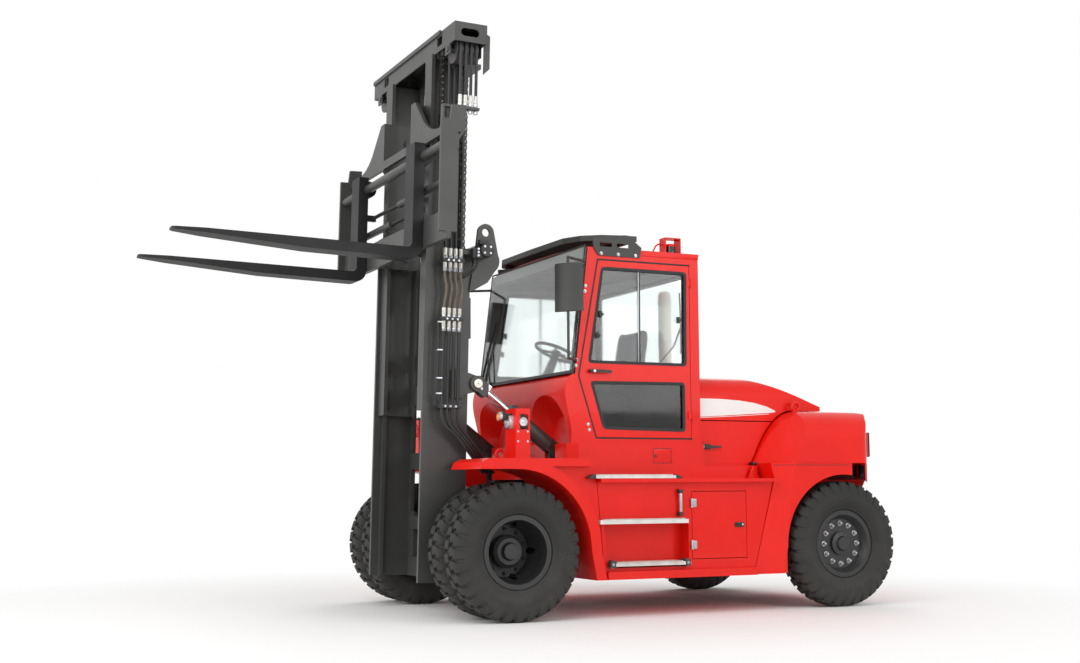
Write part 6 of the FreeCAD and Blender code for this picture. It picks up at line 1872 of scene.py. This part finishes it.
    def piping(self, node: str, pad: bpy.types.Object, facing: Vector) -> list[bpy.types.Object]:
        """Piping round a pad's face and two sewn channels down it.

        Args:
            node: the CAD node that the pad stands for.
            pad: the pad.
            facing: direction of the rays that find the face.

        Returns:
            The piping and channels.
        """
        low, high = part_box(node)
        flat = facing.z != 0
        v0, v1 = (low.y, high.y) if flat else (low.z + 0.09, high.z - 0.03)
        edge = [(low.x, v0), (high.x, v0), (high.x, v1), (low.x, v1)]
        loop = rounded(inset(edge, 0.045), 0.05, 6)
        lines = [loop + loop[:1]]
        for x in (-0.10, 0.10):
            lines.append([(x, v0 + 0.06 + (v1 - v0 - 0.12) * k / 10) for k in range(11)])
        cover = BVHTree.FromPolygons([v.co.copy() for v in pad.data.vertices],
                                     [list(f.vertices) for f in pad.data.polygons])
        made = []
        for i, line in enumerate(lines):
            points = []
            for a, b in line:
                start = Vector((a, b, high.z + 0.3)) if flat else Vector((a, low.y - 0.3, b))
                found = cover.ray_cast(start, facing)[0]
                if found:
                    points.append(found)
            made.append(tube(f"piping_{i}", points, 0.0036 if i == 0 else 0.0024, Finishes.PIPING,
                             smooth=False, facets=3))
        return made

    def console(self) -> None:
        """Steering wheel on its column, the instrument stand and its gauges."""
        f = 0.650
        hub = truck(0, f + 0.290, self.floor + 0.790)
        foot = truck(0, f + 0.180, self.floor + 0.540)
        axis = (hub - foot).normalized()
        side = Vector((1, 0, 0))
        other = axis.cross(side)
        ring = [hub + side * 0.19 * math.cos(a) + other * 0.19 * math.sin(a) for a in (math.tau * k / 40 for k in range(41))]
        pieces = [tube("wheel_rim", ring, 0.0145, Finishes.WHEEL_GREY, smooth=False)]
        for a in (90, 210, 330):
            angle = math.radians(a)
            rim_point = hub + (side * math.cos(angle) + other * math.sin(angle)) * 0.19
            pieces.append(tube("wheel_spoke", [hub, hub.lerp(rim_point, 0.5) - axis * 0.008, rim_point],
                               0.011,
                               Finishes.WHEEL_GREY))
        knob = hub + (side * math.cos(2.4) + other * math.sin(2.4)) * 0.19
        pieces.append(lathe("wheel_knob", [(0, 0), (0, 0.008), (0.02, 0.008), (0.026, 0.019),
                                           (0.048, 0.021), (0.058, 0.012),
                                           (0.060, 0)], knob, axis, Finishes.TRIM, 20))
        pieces.append(lathe("wheel_hub", [(-0.02, 0), (-0.02, 0.045), (0.012, 0.040), (0.018, 0.02),
                                          (0.018, 0)], hub, axis,
                            Finishes.TRIM, 24))
        pieces.append(lathe("column", [(0, 0), (0, 0.045), (0.10, 0.040), (0.25, 0.034), (0.25, 0)], foot,
                            axis,
                            Finishes.TRIM, 24))
        z = self.floor
        stand = [(f + 0.200, z), (f + 0.330, z), (f + 0.250, z + 0.560), (f + 0.060, z + 0.560),
                 (f + 0.060, z + 0.420),
                 (f + 0.190, z + 0.180)]
        pieces.append(prism("stand", shifted(stand), -0.23, 0.23, Finishes.LINING, bevel=0.012))
        for k, x in enumerate((-0.15, -0.05, 0.05, 0.15)):
            place = truck(x, f + 0.130, z + 0.5605)
            pieces.append(lathe(f"gauge_{k}", [(0, 0), (0, 0.034), (0.006, 0.034), (0.007, 0.030),
                                               (0.004, 0.028), (0.004, 0)],
                                place, Vector((0, 0, 1)), Finishes.TRIM, 24))
        for k, x in enumerate((-0.125, -0.045, 0.06)):
            pieces.append(block(f"pedal_{k}", truck(x - 0.03, f + 0.345, z + 0.055),
                                truck(x + 0.03, f + 0.357, z + 0.135),
                                Finishes.TRIM, 0.004))
            pieces.append(tube(f"pedal_arm_{k}", [truck(x, f + 0.325, z + 0.16),
                                                  truck(x, f + 0.350, z + 0.10)], 0.006,
                               Finishes.ZINC, smooth=False))
        mount(joined("steering_console", pieces), "truck", ["dash_console"])

    def furniture(self) -> None:
        """Seat suspension, arm rests, levers and the fire extinguisher."""
        z = self.floor
        y = 1.150
        pieces = []
        for k in range(5):
            low = z + 0.055 + k * 0.047
            pieces.append(block(f"bellows_{k}", truck(-0.165, y + 0.025, low),
                                truck(0.165, y + 0.355, low + 0.036),
                                Finishes.TRIM, 0.014))
        for sign in (-1, 1):
            x = sign * 0.262
            bar = [truck(x, y + 0.43, z + 0.60), truck(x, y + 0.25, z + 0.615),
                   truck(x, y + 0.11, z + 0.605)]
            pieces.append(tube(f"arm_rest_{'a' if sign > 0 else 'b'}", bar, 0.022, Finishes.TRIM))
        for k in range(4):
            foot = truck(-0.262, y + 0.10 - k * 0.045, z + 0.62)
            pieces.append(tube(f"lever_{k}", [foot, foot + Vector((0, -0.012, 0.11))], 0.0045,
                               Finishes.ZINC, smooth=False))
            pieces.append(lathe(f"lever_knob_{k}", [(0, 0), (0, 0.008), (0.01, 0.013), (0.028, 0.014),
                                                    (0.036, 0.008), (0.037, 0)],
                                foot + Vector((0, -0.012, 0.105)), Vector((0, -0.11,
                                                                           1)), Finishes.TRIM, 16))
        box = [(y + 0.145, z + 0.56), (y + 0.145, z + 0.62), (y - 0.075, z + 0.62), (y - 0.060, z + 0.575)]
        pieces.append(prism("lever_box", shifted(box), -0.285, -0.240, Finishes.TRIM, bevel=0.006))
        foot = truck(0.750, 1.712, 1.565)
        up = Vector((0, 0, 1))
        pieces.append(lathe("extinguisher", [(0, 0), (0, 0.028), (0.006, 0.034), (0.150, 0.034),
                                             (0.172, 0.024), (0.180, 0.012),
                                             (0.200, 0.012), (0.200, 0)], foot, up, Finishes.BODY_RED, 28))
        pieces.append(block("extinguisher_head", foot + Vector((-0.010, -0.030, 0.196)),
                            foot + Vector((0.010, 0.026, 0.212)),
                            Finishes.TRIM, 0.003))
        pieces.append(lathe("extinguisher_strap", [(0, 0.0335), (0, 0.0355), (0.014, 0.0355),
                                                   (0.014, 0.0335), (0, 0.0335)],
                            foot + up * 0.07, up, Finishes.TRIM, 28))
        mount(joined("cab_furniture", pieces), "truck")


# ------------------------------------------------------------------ body
@dataclass
class Body:
    """Steps, latches, hinges, lamps, eyes, grille and the white hood band."""

    repeat: Repeat
    tank_x: float = 1.180
    edge_x: float = 1.246
    deck_x: float = 1.000
    hood_x: float = 0.916
    fender_z: float = 1.220
    tread_pitch: float = 0.022
    tread_levels: tuple[tuple[float, float, float, float], ...] = (
        (0.670, 1.370, 1.030, 1.0912), (0.735, 1.478, 1.186, 0.7472), (0.840, 1.440, 1.090, 0.4152))

    def build(self) -> None:
        """Dress the body."""
        self.treads()
        self.tank_fittings()
        self.locker()
        self.hood_marks()
        self.lamp_post()
        self.tail()
        self.roof()
        self.stack()
        self.grille()
        self.lifting_eyes()

    def treads(self) -> None:
        """Serrated ribs on every step, with the black brackets at their ends."""
        pieces = []
        for y0, y1, x0, z in self.tread_levels:
            tooth = [(-0.006, 0.0), (0.006, 0.0), (0.004, 0.0075), (-0.004, 0.0075)]
            rib = prism("tread_rib", tooth, x0, self.edge_x - 0.001, Finishes.TREAD, "X", 0.001)
            count = int((y1 - y0) / self.tread_pitch)
            pieces.append(self.repeat.along("tread_ribs", rib, count, truck(0, y0 + 0.012, z),
                                            Vector((0, self.tread_pitch, 0)),
                                            Finishes.TREAD))
        for y, toward in ((0.664, -1), (1.375, 1)):
            wedge = [(y, 1.0665), (y, 1.098), (y + toward * 0.016, 1.098), (y + toward * 0.060, 1.076),
                     (y + toward * 0.060, 1.0665)]
            pieces.append(prism("ledge_end", shifted(wedge), 1.040, self.edge_x, Finishes.TRIM, "X", 0.002))
            pieces.append(bolt("ledge_bolt", truck(1.14, y + toward * 0.040, 1.088), Vector((0, 0, 1)),
                               0.007, Finishes.ZINC))
        for y, toward in ((0.835, -1), (1.462, 1)):
            cheek = [(y, 0.376), (y + toward * 0.045, 0.382), (y + toward * 0.045, 0.420),
                     (y + toward * 0.030, 0.436),
                     (y - toward * 0.004, 0.436)]
            pieces.append(prism("low_bracket", shifted(cheek), 1.150, self.edge_x - 0.012, Finishes.TRIM,
                                "X", 0.003))
            pieces.append(bolt("low_bolt", truck(self.edge_x - 0.0125, y + toward * 0.022, 0.405),
                               Vector((1, 0, 0)), 0.008,
                               Finishes.ZINC))
        pair("step_treads", pieces, "truck")

    def tank_fittings(self) -> None:
        """Silver sleeve on the grab handle, the deck flap's outline and the gusset on the ledge."""
        handle = truck(self.tank_x + 0.032, 1.434, 0.802)
        pieces = [lathe("grab_sleeve", [(0, 0.0105), (0, 0.0130), (0.004, 0.0140), (0.142, 0.0140),
                                        (0.146, 0.0130),
                                        (0.146, 0.0105), (0, 0.0105)], handle, Vector((0, 0,
                                                                                       1)), Finishes.ZINC,
                                                                                       24)]
        for z in (0.775, 0.955):
            pieces.append(block("grab_foot", truck(self.tank_x, 1.416, z - 0.004),
                                truck(self.tank_x + 0.046, 1.452, z + 0.024),
                                Finishes.TRIM, 0.005))
        pair("grab_trim", pieces, "truck")
        flap = [(1.309, 1.188), (1.482, 1.188), (1.482, 1.309), (1.309, 1.309)]
        lines = [gasket("flap_gap", shifted(flap), 0.004, self.deck_x - 0.002, self.deck_x + 0.0006,
                        Finishes.SEAL, 0.008),
                 prism("flap_skin", shifted(rounded(inset(flap, 0.005), 0.006)), self.deck_x - 0.002,
                       self.deck_x + 0.0012,
                       Finishes.BODY_RED, "X", 0.0005),
                 lathe("flap_lock", [(0, 0), (0, 0.011), (0.003, 0.011), (0.004, 0.009), (0.004, 0)],
                       truck(self.deck_x + 0.001, 1.330, 1.248), Vector((1, 0, 0)), Finishes.TRIM, 20)]
        for z in (1.205, 1.285):
            lines.append(lathe("flap_hinge", [(-0.012, 0), (-0.012, 0.006), (0.012, 0.006), (0.012, 0)],
                               truck(self.deck_x + 0.002, 1.484, z), Vector((0, 0,
                                                                             1)), Finishes.BODY_RED, 12))
        gusset = [(2.190, 1.0655), (2.300, 1.0655), (2.300, 1.078), (2.250, 1.165), (2.235, 1.165)]
        lines.append(prism("ledge_gusset", shifted(gusset), self.deck_x + 0.030, self.deck_x + 0.038,
                           Finishes.BODY_RED, "X", 0.002))
        hole = truck(self.deck_x + 0.0385, 2.243, 1.118)
        lines.append(lathe("gusset_ring", [(-0.001, 0.010), (-0.001, 0.018), (0.004, 0.018), (0.004, 0.010),
                                           (-0.001, 0.010)], hole,
                           Vector((1, 0, 0)), Finishes.BODY_RED, 24))
        lines.append(block("ledge_corner", truck(0.925, 2.285, 1.176), truck(0.972, 2.335, 1.200),
                           Finishes.SEAL, 0.009))
        pair("deck_trim", lines, "truck")

    def locker(self) -> None:
        """Silver hinges and the black paddle latch of the lockers."""
        pieces = []
        x, y = self.tank_x, 1.549
        for z in (0.505, 0.835):
            centre = truck(x + 0.0103, y, z - 0.002)
            pieces.append(lathe("locker_barrel", [(0, 0), (0, 0.0112), (0.004, 0.0118), (0.070, 0.0118),
                                                  (0.074, 0.0112),
                                                  (0.074,
                                                   0)], centre, Vector((0, 0, 1)), Finishes.ZINC, 20))
            leaf = [(y + 0.006, z + 0.003), (y + 0.044, z + 0.003), (y + 0.044, z + 0.067),
                    (y + 0.006, z + 0.067)]
            pieces.append(prism("locker_leaf", shifted(rounded(leaf, 0.006)), x + 0.0085, x + 0.0105,
                                Finishes.ZINC, "X", 0.0006))
            for a, b in ((0.030, 0.018), (0.030, 0.052)):
                pieces.append(bolt("locker_screw", truck(x + 0.0105, y + a, z + b), Vector((1, 0, 0)),
                                   0.0045, Finishes.ZINC, 12))
        plate = rounded([(1.958, 0.674), (2.040, 0.674), (2.040, 0.712), (1.958, 0.712)], 0.008)
        pieces.append(prism("latch_plate", shifted(plate), x - 0.001, x + 0.0095, Finishes.TRIM, "X",
                            0.002))
        paddle = rounded([(1.966, 0.680), (2.010, 0.680), (2.010, 0.706), (1.966, 0.706)], 0.006)
        pieces.append(prism("latch_paddle", shifted(paddle), x + 0.0095, x + 0.0145, Finishes.SEAL, "X",
                            0.0015))
        pieces.append(lathe("latch_lock", [(0, 0), (0, 0.009), (0.003, 0.009), (0.004, 0.007), (0.004, 0)],
                            truck(x + 0.0095, 2.026, 0.693), Vector((1, 0, 0)), Finishes.ZINC, 20))
        pair("locker_fittings", pieces, "locker_body_{side}")

    def hood_marks(self) -> None:
        """White band and fine line along the hood, and the latches of its side panels."""
        cover = surface_of("engine_hood")
        upper = [(1.812, 1.728), (2.020, 1.728), (2.210, 1.718), (2.360, 1.700), (2.480, 1.672),
                 (2.560, 1.640)]
        lower = [(2.570, 1.628), (2.520, 1.620), (2.380, 1.6115), (2.210, 1.600), (2.020, 1.588),
                 (1.812, 1.576)]
        film = draped("hood_band", shifted(upper + lower), cover, Finishes.WHITE)
        fine_upper = [(1.812, 1.571), (2.020, 1.582), (2.210, 1.593), (2.380, 1.604), (2.500, 1.612)]
        fine_lower = [(2.500, 1.607), (2.380, 1.599), (2.210, 1.588), (2.020, 1.577), (1.812, 1.566)]
        line = draped("hood_line", shifted(fine_upper + fine_lower), cover, Finishes.WHITE)
        pair("hood_stripe", [film, line], "hood")
        x = self.hood_x
        plate = rounded([(1.824, 1.306), (1.906, 1.306), (1.906, 1.350), (1.824, 1.350)], 0.012)
        lever = rounded([(1.846, 1.316), (2.004, 1.320), (2.004, 1.334), (1.846, 1.340)], 0.006)
        pieces = [prism("panel_plate", shifted(plate), x - 0.002, x + 0.005, Finishes.TRIM, "X", 0.0015),
                  prism("panel_lever", shifted(lever), x + 0.005, x + 0.017, Finishes.TRIM, "X", 0.003),
                  lathe("panel_lock", [(0, 0), (0, 0.010), (0.004, 0.010), (0.005, 0.008), (0.005, 0)],
                        truck(x + 0.005, 1.836, 1.328), Vector((1, 0, 0)), Finishes.ZINC, 20)]
        pair("panel_latch", pieces, "truck")

    def lamp(self, name: str, centre: Vector, out: Vector, radius: float,
             glass: "Finishes") -> list[bpy.types.Object]:
        """Round lamp: bezel, ribbed lens and bowl.

        Args:
            name: the piece's name.
            centre: middle of its face.
            out: direction that it shines in.
            radius: its radius.
            glass: the lens's finish.

        Returns:
            Its pieces.
        """
        bezel = lathe(f"{name}_bezel", [(-0.020, radius * 0.90), (-0.020, radius), (0.002, radius),
                                        (0.005, radius * 0.97),
                                        (0.005, radius * 0.88), (0.0, radius * 0.84), (-0.020,
                                                                                       radius * 0.90)],
                                                                                       centre, out,
                      Finishes.ZINC, 40)
        rings = [(-0.004, 0.0)]
        for k in range(7):
            share = (k + 1) / 7
            rings += [(0.006 - 0.006 * share ** 2, radius * 0.86 * (share - 0.07)),
                      (0.0042 - 0.006 * share ** 2, radius * 0.86 * share)]
        return [bezel, lathe(f"{name}_lens", [(0.006, 0.0)] + rings[1:] + [(-0.010, radius * 0.86),
                                                                           (-0.010,
                                                                            0)], centre, out, glass, 40)]

    def lamp_post(self) -> None:
        """Faces of the front lamps, side lamps, marker dome and bolts of the lamp posts."""
        front, outward = Vector((0, -1, 0)), Vector((1, 0, 0))
        z = self.fender_z + 0.279
        pieces = self.lamp("head_lamp", truck(1.055, 0.000, z), front, 0.054, Finishes.CLEAR_LENS)
        pieces += self.lamp("side_lamp", truck(1.139, 0.097, z), outward, 0.034, Finishes.CLEAR_LENS)
        pieces += self.lamp("round_lamp", truck(1.070, -0.078, z + 0.040), front, 0.036, Finishes.AMBER)
        pieces.append(lathe("round_shell", [(0, 0), (0, 0.037), (0.020, 0.037), (0.045, 0.026), (0.052, 0)],
                            truck(1.070, -0.060, z + 0.040), Vector((0, 1, 0)), Finishes.TRIM, 28))
        pieces.append(tube("round_bracket", [truck(1.070, -0.020, z + 0.040),
                                             truck(1.070, 0.010, z + 0.060),
                                             truck(1.070, 0.032, z + 0.055)], 0.010, Finishes.TRIM))
        pieces.append(lathe("marker_dome", [(0, 0), (0, 0.026), (0.010, 0.026), (0.022, 0.020),
                                            (0.029, 0.010), (0.031, 0)],
                            truck(1.055, 0.062, self.fender_z + 0.380), Vector((0, 0,
                                                                                1)), Finishes.TRIM, 28))
        for y, dz in ((0.048, 0.205), (0.128, 0.205), (0.048, 0.130), (0.128, 0.130)):
            pieces.append(bolt("post_bolt", truck(1.150, y, self.fender_z + dz), outward, 0.006,
                               Finishes.ZINC))
        pair("post_lamps", pieces, "truck")

    def tail(self) -> None:
        """Rear lamp clusters in their black frames."""
        low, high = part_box("tail_lamps")
        left, right = high.x - 0.080, high.x
        y = high.y
        frame_low, frame_high = low.z, high.z
        outer = [(left - 0.004, frame_low - 0.004), (right + 0.004, frame_low - 0.004),
                 (right + 0.004, frame_high + 0.004),
                 (left - 0.004, frame_high + 0.004)]
        pieces = [gasket("tail_frame", outer, 0.009, y - 0.004, y + 0.004, Finishes.SEAL, 0.010, "Y")]
        step = (frame_high - frame_low - 0.012) / 3
        for k, finish in enumerate((Finishes.CLEAR_LENS, Finishes.AMBER, Finishes.RED_LENS)):
            z = frame_low + 0.006 + k * step
            pane = rounded([(left + 0.006, z + 0.002), (right - 0.006, z + 0.002),
                            (right - 0.006, z + step - 0.002),
                            (left + 0.006, z + step - 0.002)], 0.008)
            pieces.append(prism(f"tail_pane_{k}", pane, y - 0.006, y + 0.005, finish, "Y", 0.002))
            ridge = prism("tail_ridge", [(-0.0012, 0.0), (0.0012, 0.0), (0.0012, step - 0.012),
                                         (-0.0012, step - 0.012)],
                          y + 0.0045, y + 0.0065, finish, "Y")
            pieces.append(self.repeat.along(f"tail_ridges_{k}", ridge, 7,
                                            Vector((left + 0.013, 0, z + 0.006)),
                                            Vector((0.009, 0, 0)), finish))
        pair("tail_cluster", pieces, "truck")

    def roof(self) -> None:
        """Dark beacon lamp with its red loop, the visor's bolts and the roof's drip rails."""
        low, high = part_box("beacon")
        centre = (low + high) / 2
        foot = Vector((centre.x, centre.y, low.z + 0.003))
        pieces = [lathe("beacon_lens", [(0, 0), (0, 0.0435), (0.010, 0.0445), (0.012, 0.0435),
                                        (0.052, 0.0430), (0.066, 0.036),
                                        (0.071, 0.018), (0.072, 0)], foot + Vector((0, 0,
                                                                                    0.012)), Vector((0, 0,
                                                                                                     1)),
                        Finishes.LAMP_DARK, 32)]
        loop = [foot + Vector((-0.030, dy, dz)) for dy,
                dz in ((-0.050, 0.020), (-0.070, 0.090), (-0.115, 0.085), (-0.150, 0.020),
                                                               (-0.170, -0.022))]
        pieces.append(tube("beacon_loop", loop, 0.0065, Finishes.BODY_RED))
        mount(joined("beacon_lamp", pieces), "truck")
        bolts = []
        for y in (0.876, 1.032, 1.192):
            bolts.append(bolt("visor_bolt", truck(0.960, y, 2.878), Vector((1, 0, 0)), 0.0105,
                              Finishes.ZINC, 20))
        pair("visor_bolts", bolts, "truck")
        gutter = [(0.9500, 2.880), (0.9570, 2.883), (0.9570, 2.900), (0.9500, 2.903)]
        rail = prism("drip_rail", gutter, AXLE.y + 1.258, AXLE.y + 1.790, Finishes.BODY_RED, "Y", 0.001)
        pair("drip_rails", [rail], "truck")

    def stack(self) -> None:
        """Cream stack that stands on the hood behind the rear window."""
        foot = truck(0.105, 1.960, 0.0)
        foot.z = surface_of("engine_hood").ray_cast(Vector((foot.x, foot.y, 4.0)), Vector((0, 0, -1)))[0].z
        top = 2.735 - foot.z
        r = 0.058
        outline = [(-0.020, 0.0), (-0.020, r + 0.016), (0.012, r + 0.016), (0.020, r), (top * 0.42, r),
                   (top * 0.42 + 0.004, r + 0.003),
                   (top * 0.42 + 0.026, r + 0.003), (top * 0.42 + 0.030, r), (top - 0.050, r), (top - 0.024,
                                                                                                r * 0.88),
                   (top - 0.008, r * 0.58), (top, 0.0)]
        made = lathe("air_stack", outline, foot, Vector((0, 0, 1)), Finishes.STACK, 48)
        mount(made, "hood")

    def grille(self) -> None:
        """Louvred radiator grille in the counterweight."""
        low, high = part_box("rear_grille")
        outer = [(low.x + 0.001, low.z + 0.001), (high.x - 0.001, low.z + 0.001),
                 (high.x - 0.001, high.z - 0.001),
                 (low.x + 0.001, high.z - 0.001)]
        pieces = [band("grille_frame", outer, inset(outer, 0.028), low.y, high.y, Finishes.UNDER_BLACK, "Y",
                       0.003)]
        pitch = 0.028
        depth = high.y - low.y
        blade = [(low.y + 0.004, 0.014), (low.y + 0.007, 0.017), (high.y - 0.004, 0.002),
                 (high.y - 0.007, -0.001)]
        slat = prism("grille_slat", blade, low.x + 0.026, high.x - 0.026, Finishes.UNDER_BLACK, "X")
        count = int((high.z - low.z - 0.060) / pitch)
        pieces.append(self.repeat.along("grille_slats", slat, count, Vector((0, 0, low.z + 0.032)),
                                        Vector((0, 0, pitch)),
                                        Finishes.UNDER_BLACK))
        for x in (-0.165, 0.0, 0.165):
            pieces.append(block("grille_stay", (x - 0.006, low.y + depth * 0.2, low.z + 0.02),
                                (x + 0.006, low.y + depth * 0.8,
                                 high.z - 0.02), Finishes.UNDER_BLACK, 0.002))
        mount(joined("radiator_grille", pieces), "truck", ["rear_grille"])

    def lifting_eyes(self) -> None:
        """Rings on the front fenders and on the counterweight, and the counterweight's seam."""
        ring = [truck(0.800, 0.052 + 0.034 * math.cos(a), self.fender_z + 0.038 + 0.034 * math.sin(a))
                for a in (math.tau * k / 28 for k in range(29))]
        pieces = [tube("fender_ring", ring, 0.0125, Finishes.BODY_RED, smooth=False),
                  block("fender_pad", truck(0.770, 0.010, self.fender_z + 0.0005),
                        truck(0.830, 0.094, self.fender_z + 0.012),
                        Finishes.BODY_RED, 0.004)]
        pair("fender_eye", pieces, "truck")
        cover = surface_of("counterweight")
        seam = [(2.345, 1.171), (3.318, 1.171), (3.318, 1.175), (2.345, 1.175)]
        pair("counterweight_seam", [draped("cw_seam", shifted(seam), cover, Finishes.SEAL)], "truck")
        foot = truck(0.955, 2.735, 0.0)
        foot.z = cover.ray_cast(Vector((foot.x, foot.y, 4.0)), Vector((0, 0, -1)))[0].z
        turns = (math.tau * k / 28 for k in range(29))
        ring = [foot + Vector((0, 0.036 * math.cos(a), 0.040 + 0.036 * math.sin(a))) for a in turns]
        pieces = [tube("lifting_ring", ring, 0.0145, Finishes.BODY_RED, smooth=False),
                  lathe("lifting_foot", [(-0.02, 0), (-0.02, 0.034), (0.004, 0.034), (0.010, 0.024),
                                         (0.014, 0)], foot,
                        Vector((0, 0, 1)), Finishes.BODY_RED, 28)]
        pair("lifting_eye", pieces, "truck")


# ------------------------------------------------------------------ CAD nodes that keep their shape
@dataclass
class Dressing:
    """Finish of each CAD node that stays in view."""

    plan: dict[str, Finishes] = field(default_factory=lambda: {
        "outer_mast": Finishes.MAST_GREY, "inner_mast": Finishes.MAST_GREY,
        "carriage_frame": Finishes.MAST_GREY,
        "fork_left": Finishes.FORK, "fork_right": Finishes.FORK, "lift_barrels": Finishes.MAST_GREY,
        "positioner_barrels": Finishes.MAST_GREY, "mast_sheaves": Finishes.SHEAVE,
        "lift_rods": Finishes.CHROME,
        "tow_pin": Finishes.ZINC, "engine_block": Finishes.CAST, "chassis_frame": Finishes.UNDER_BLACK,
        "front_axle": Finishes.UNDER_BLACK, "steer_axle": Finishes.UNDER_BLACK,
        "rear_grille": Finishes.UNDER_BLACK,
        "roof_visor": Finishes.VISOR, "mirrors": Finishes.VISOR, "seat_base": Finishes.TRIM,
        "grab_handles": Finishes.TRIM, "front_lamps": Finishes.CLEAR_LENS, "tail_lamps": Finishes.RED_LENS,
        "steps": Finishes.TREAD, "cab_glass": Finishes.GLASS,
    })

    def build(self) -> None:
        """Give every visible CAD node its material."""
        starts = (("front_rims", Finishes.RIM_BLACK), ("rear_rim", Finishes.RIM_BLACK),
                  ("knuckle", Finishes.UNDER_BLACK),
                  ("door_glass", Finishes.GLASS), ("tilt_barrel", Finishes.MAST_GREY), ("tilt_rod",
                                                                                        Finishes.CHROME))
        for name, node in frame["nodes"].items():
            finish = self.plan.get(name)
            if finish is None:
                finish = next((f for start, f in starts if name.startswith(start)), Finishes.BODY_RED)
            node.data.materials.clear()
            node.data.materials.append(self.zoned(name) or finish.material())

    @staticmethod
    def zoned(name: str) -> bpy.types.Material | None:
        """Two-tone paint of the nodes that need one, and black painted shade in the counterweight's recess over the
        rear wheel.

        Args:
            name: the CAD node's name.

        Returns:
            The material, or None when one finish covers the node.
        """
        if name.startswith("tilt_rod"):
            return two_tone(f"paint_of_{name}", Finishes.CHROME, Finishes.MAST_GREY, (0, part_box(name)[0].y - 1, 0),
                            (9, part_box(name)[0].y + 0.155, 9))
        if name in ("cab_shell", "cab_roof"):
            return two_tone("paint_of_cab", Finishes.BODY_RED, Finishes.PILLAR, (-1, -9, 0),
                            (CAB_HALF_W - 0.0035, AXLE.y + 1.7515, ROOF_Z + 0.001))
        if name.startswith("cab_door"):
            return two_tone("paint_of_doors", Finishes.BODY_RED, Finishes.PILLAR, (-1, -9, 0),
                            (0.925, 9, 9))
        # Painted shade: the counterweight's recess over the rear wheel, inside a box set in from its outer face, is
        # painted black.
        if name == "counterweight":
            return two_tone("paint_of_counterweight", Finishes.BODY_RED, Finishes.UNDER_BLACK,
                            (0.60, AXLE.y + 2.80, 0), (1.235, AXLE.y + 3.330, 1.172))
        return None


def two_tone(name: str, plain: Finishes, marked: Finishes, low: Sequence[float],
             high: Sequence[float]) -> bpy.types.Material:
    """One finish with another inside a box, whose X limits count from the centre line.

    Args:
        name: the material's name.
        plain: finish outside the box.
        marked: finish inside it.
        low: the box's lowest corner.
        high: its highest corner.

    Returns:
        The material, built once.
    """
    found = bpy.data.materials.get(name)
    if found:
        return found
    made = plain.material().copy()
    made.name = name
    tree = made.node_tree
    shader = tree.nodes["Principled BSDF"]
    apart = tree.nodes.new("ShaderNodeSeparateXYZ")
    tree.links.new(tree.nodes.new("ShaderNodeTexCoord").outputs["Object"], apart.inputs[0])
    wide = tree.nodes.new("ShaderNodeMath")
    wide.operation = "ABSOLUTE"
    tree.links.new(apart.outputs["X"], wide.inputs[0])
    mask = None
    for socket, least, most in zip((wide.outputs[0], apart.outputs["Y"], apart.outputs["Z"]), low, high):
        within = tree.nodes.new("ShaderNodeMath")
        within.operation = "COMPARE"
        within.inputs[1].default_value = (least + most) / 2
        within.inputs[2].default_value = (most - least) / 2
        tree.links.new(socket, within.inputs[0])
        if mask is not None:
            both = tree.nodes.new("ShaderNodeMath")
            both.operation = "MULTIPLY"
            tree.links.new(mask, both.inputs[0])
            tree.links.new(within.outputs[0], both.inputs[1])
        mask = within.outputs[0] if mask is None else both.outputs[0]
    story = tree.nodes.new("ShaderNodeGroup")
    story.node_tree = surface_group()
    story.inputs["Colour"].default_value = (*marked.value.colour, 1)
    story.inputs["Shade"].default_value = (*marked.value.shade, 1)
    story.inputs["Tone Scale"].default_value = marked.value.tone_scale
    story.inputs["Roughness"].default_value = marked.value.rough - 0.06
    for socket, result in (("Base Color", "Colour"), ("Roughness", "Roughness")):
        blend = tree.nodes.new("ShaderNodeMix")
        blend.data_type = "RGBA"
        tree.links.new(mask, blend.inputs["Factor"])
        tree.links.new(shader.inputs[socket].links[0].from_socket, blend.inputs["A"])
        tree.links.new(story.outputs[result], blend.inputs["B"])
        tree.links.new(blend.outputs["Result"], shader.inputs[socket])
    metal = tree.nodes.new("ShaderNodeMapRange")
    metal.inputs["To Min"].default_value = plain.value.metal
    metal.inputs["To Max"].default_value = marked.value.metal
    tree.links.new(mask, metal.inputs["Value"])
    tree.links.new(metal.outputs["Result"], shader.inputs["Metallic"])
    return made


def main() -> None:
    """Build the studio and every piece in order."""
    logging.basicConfig(level=logging.INFO)
    bpy.context.scene.view_settings.view_transform = "Standard"
    repeat = Repeat()
    for stage in (Studio(), Dressing(), Wheels(repeat), Mast(repeat), Cab(), Body(repeat)):
        stage.build()
        LOG.info("built %s", type(stage).__name__)


if __name__ == "__main__":
    main()
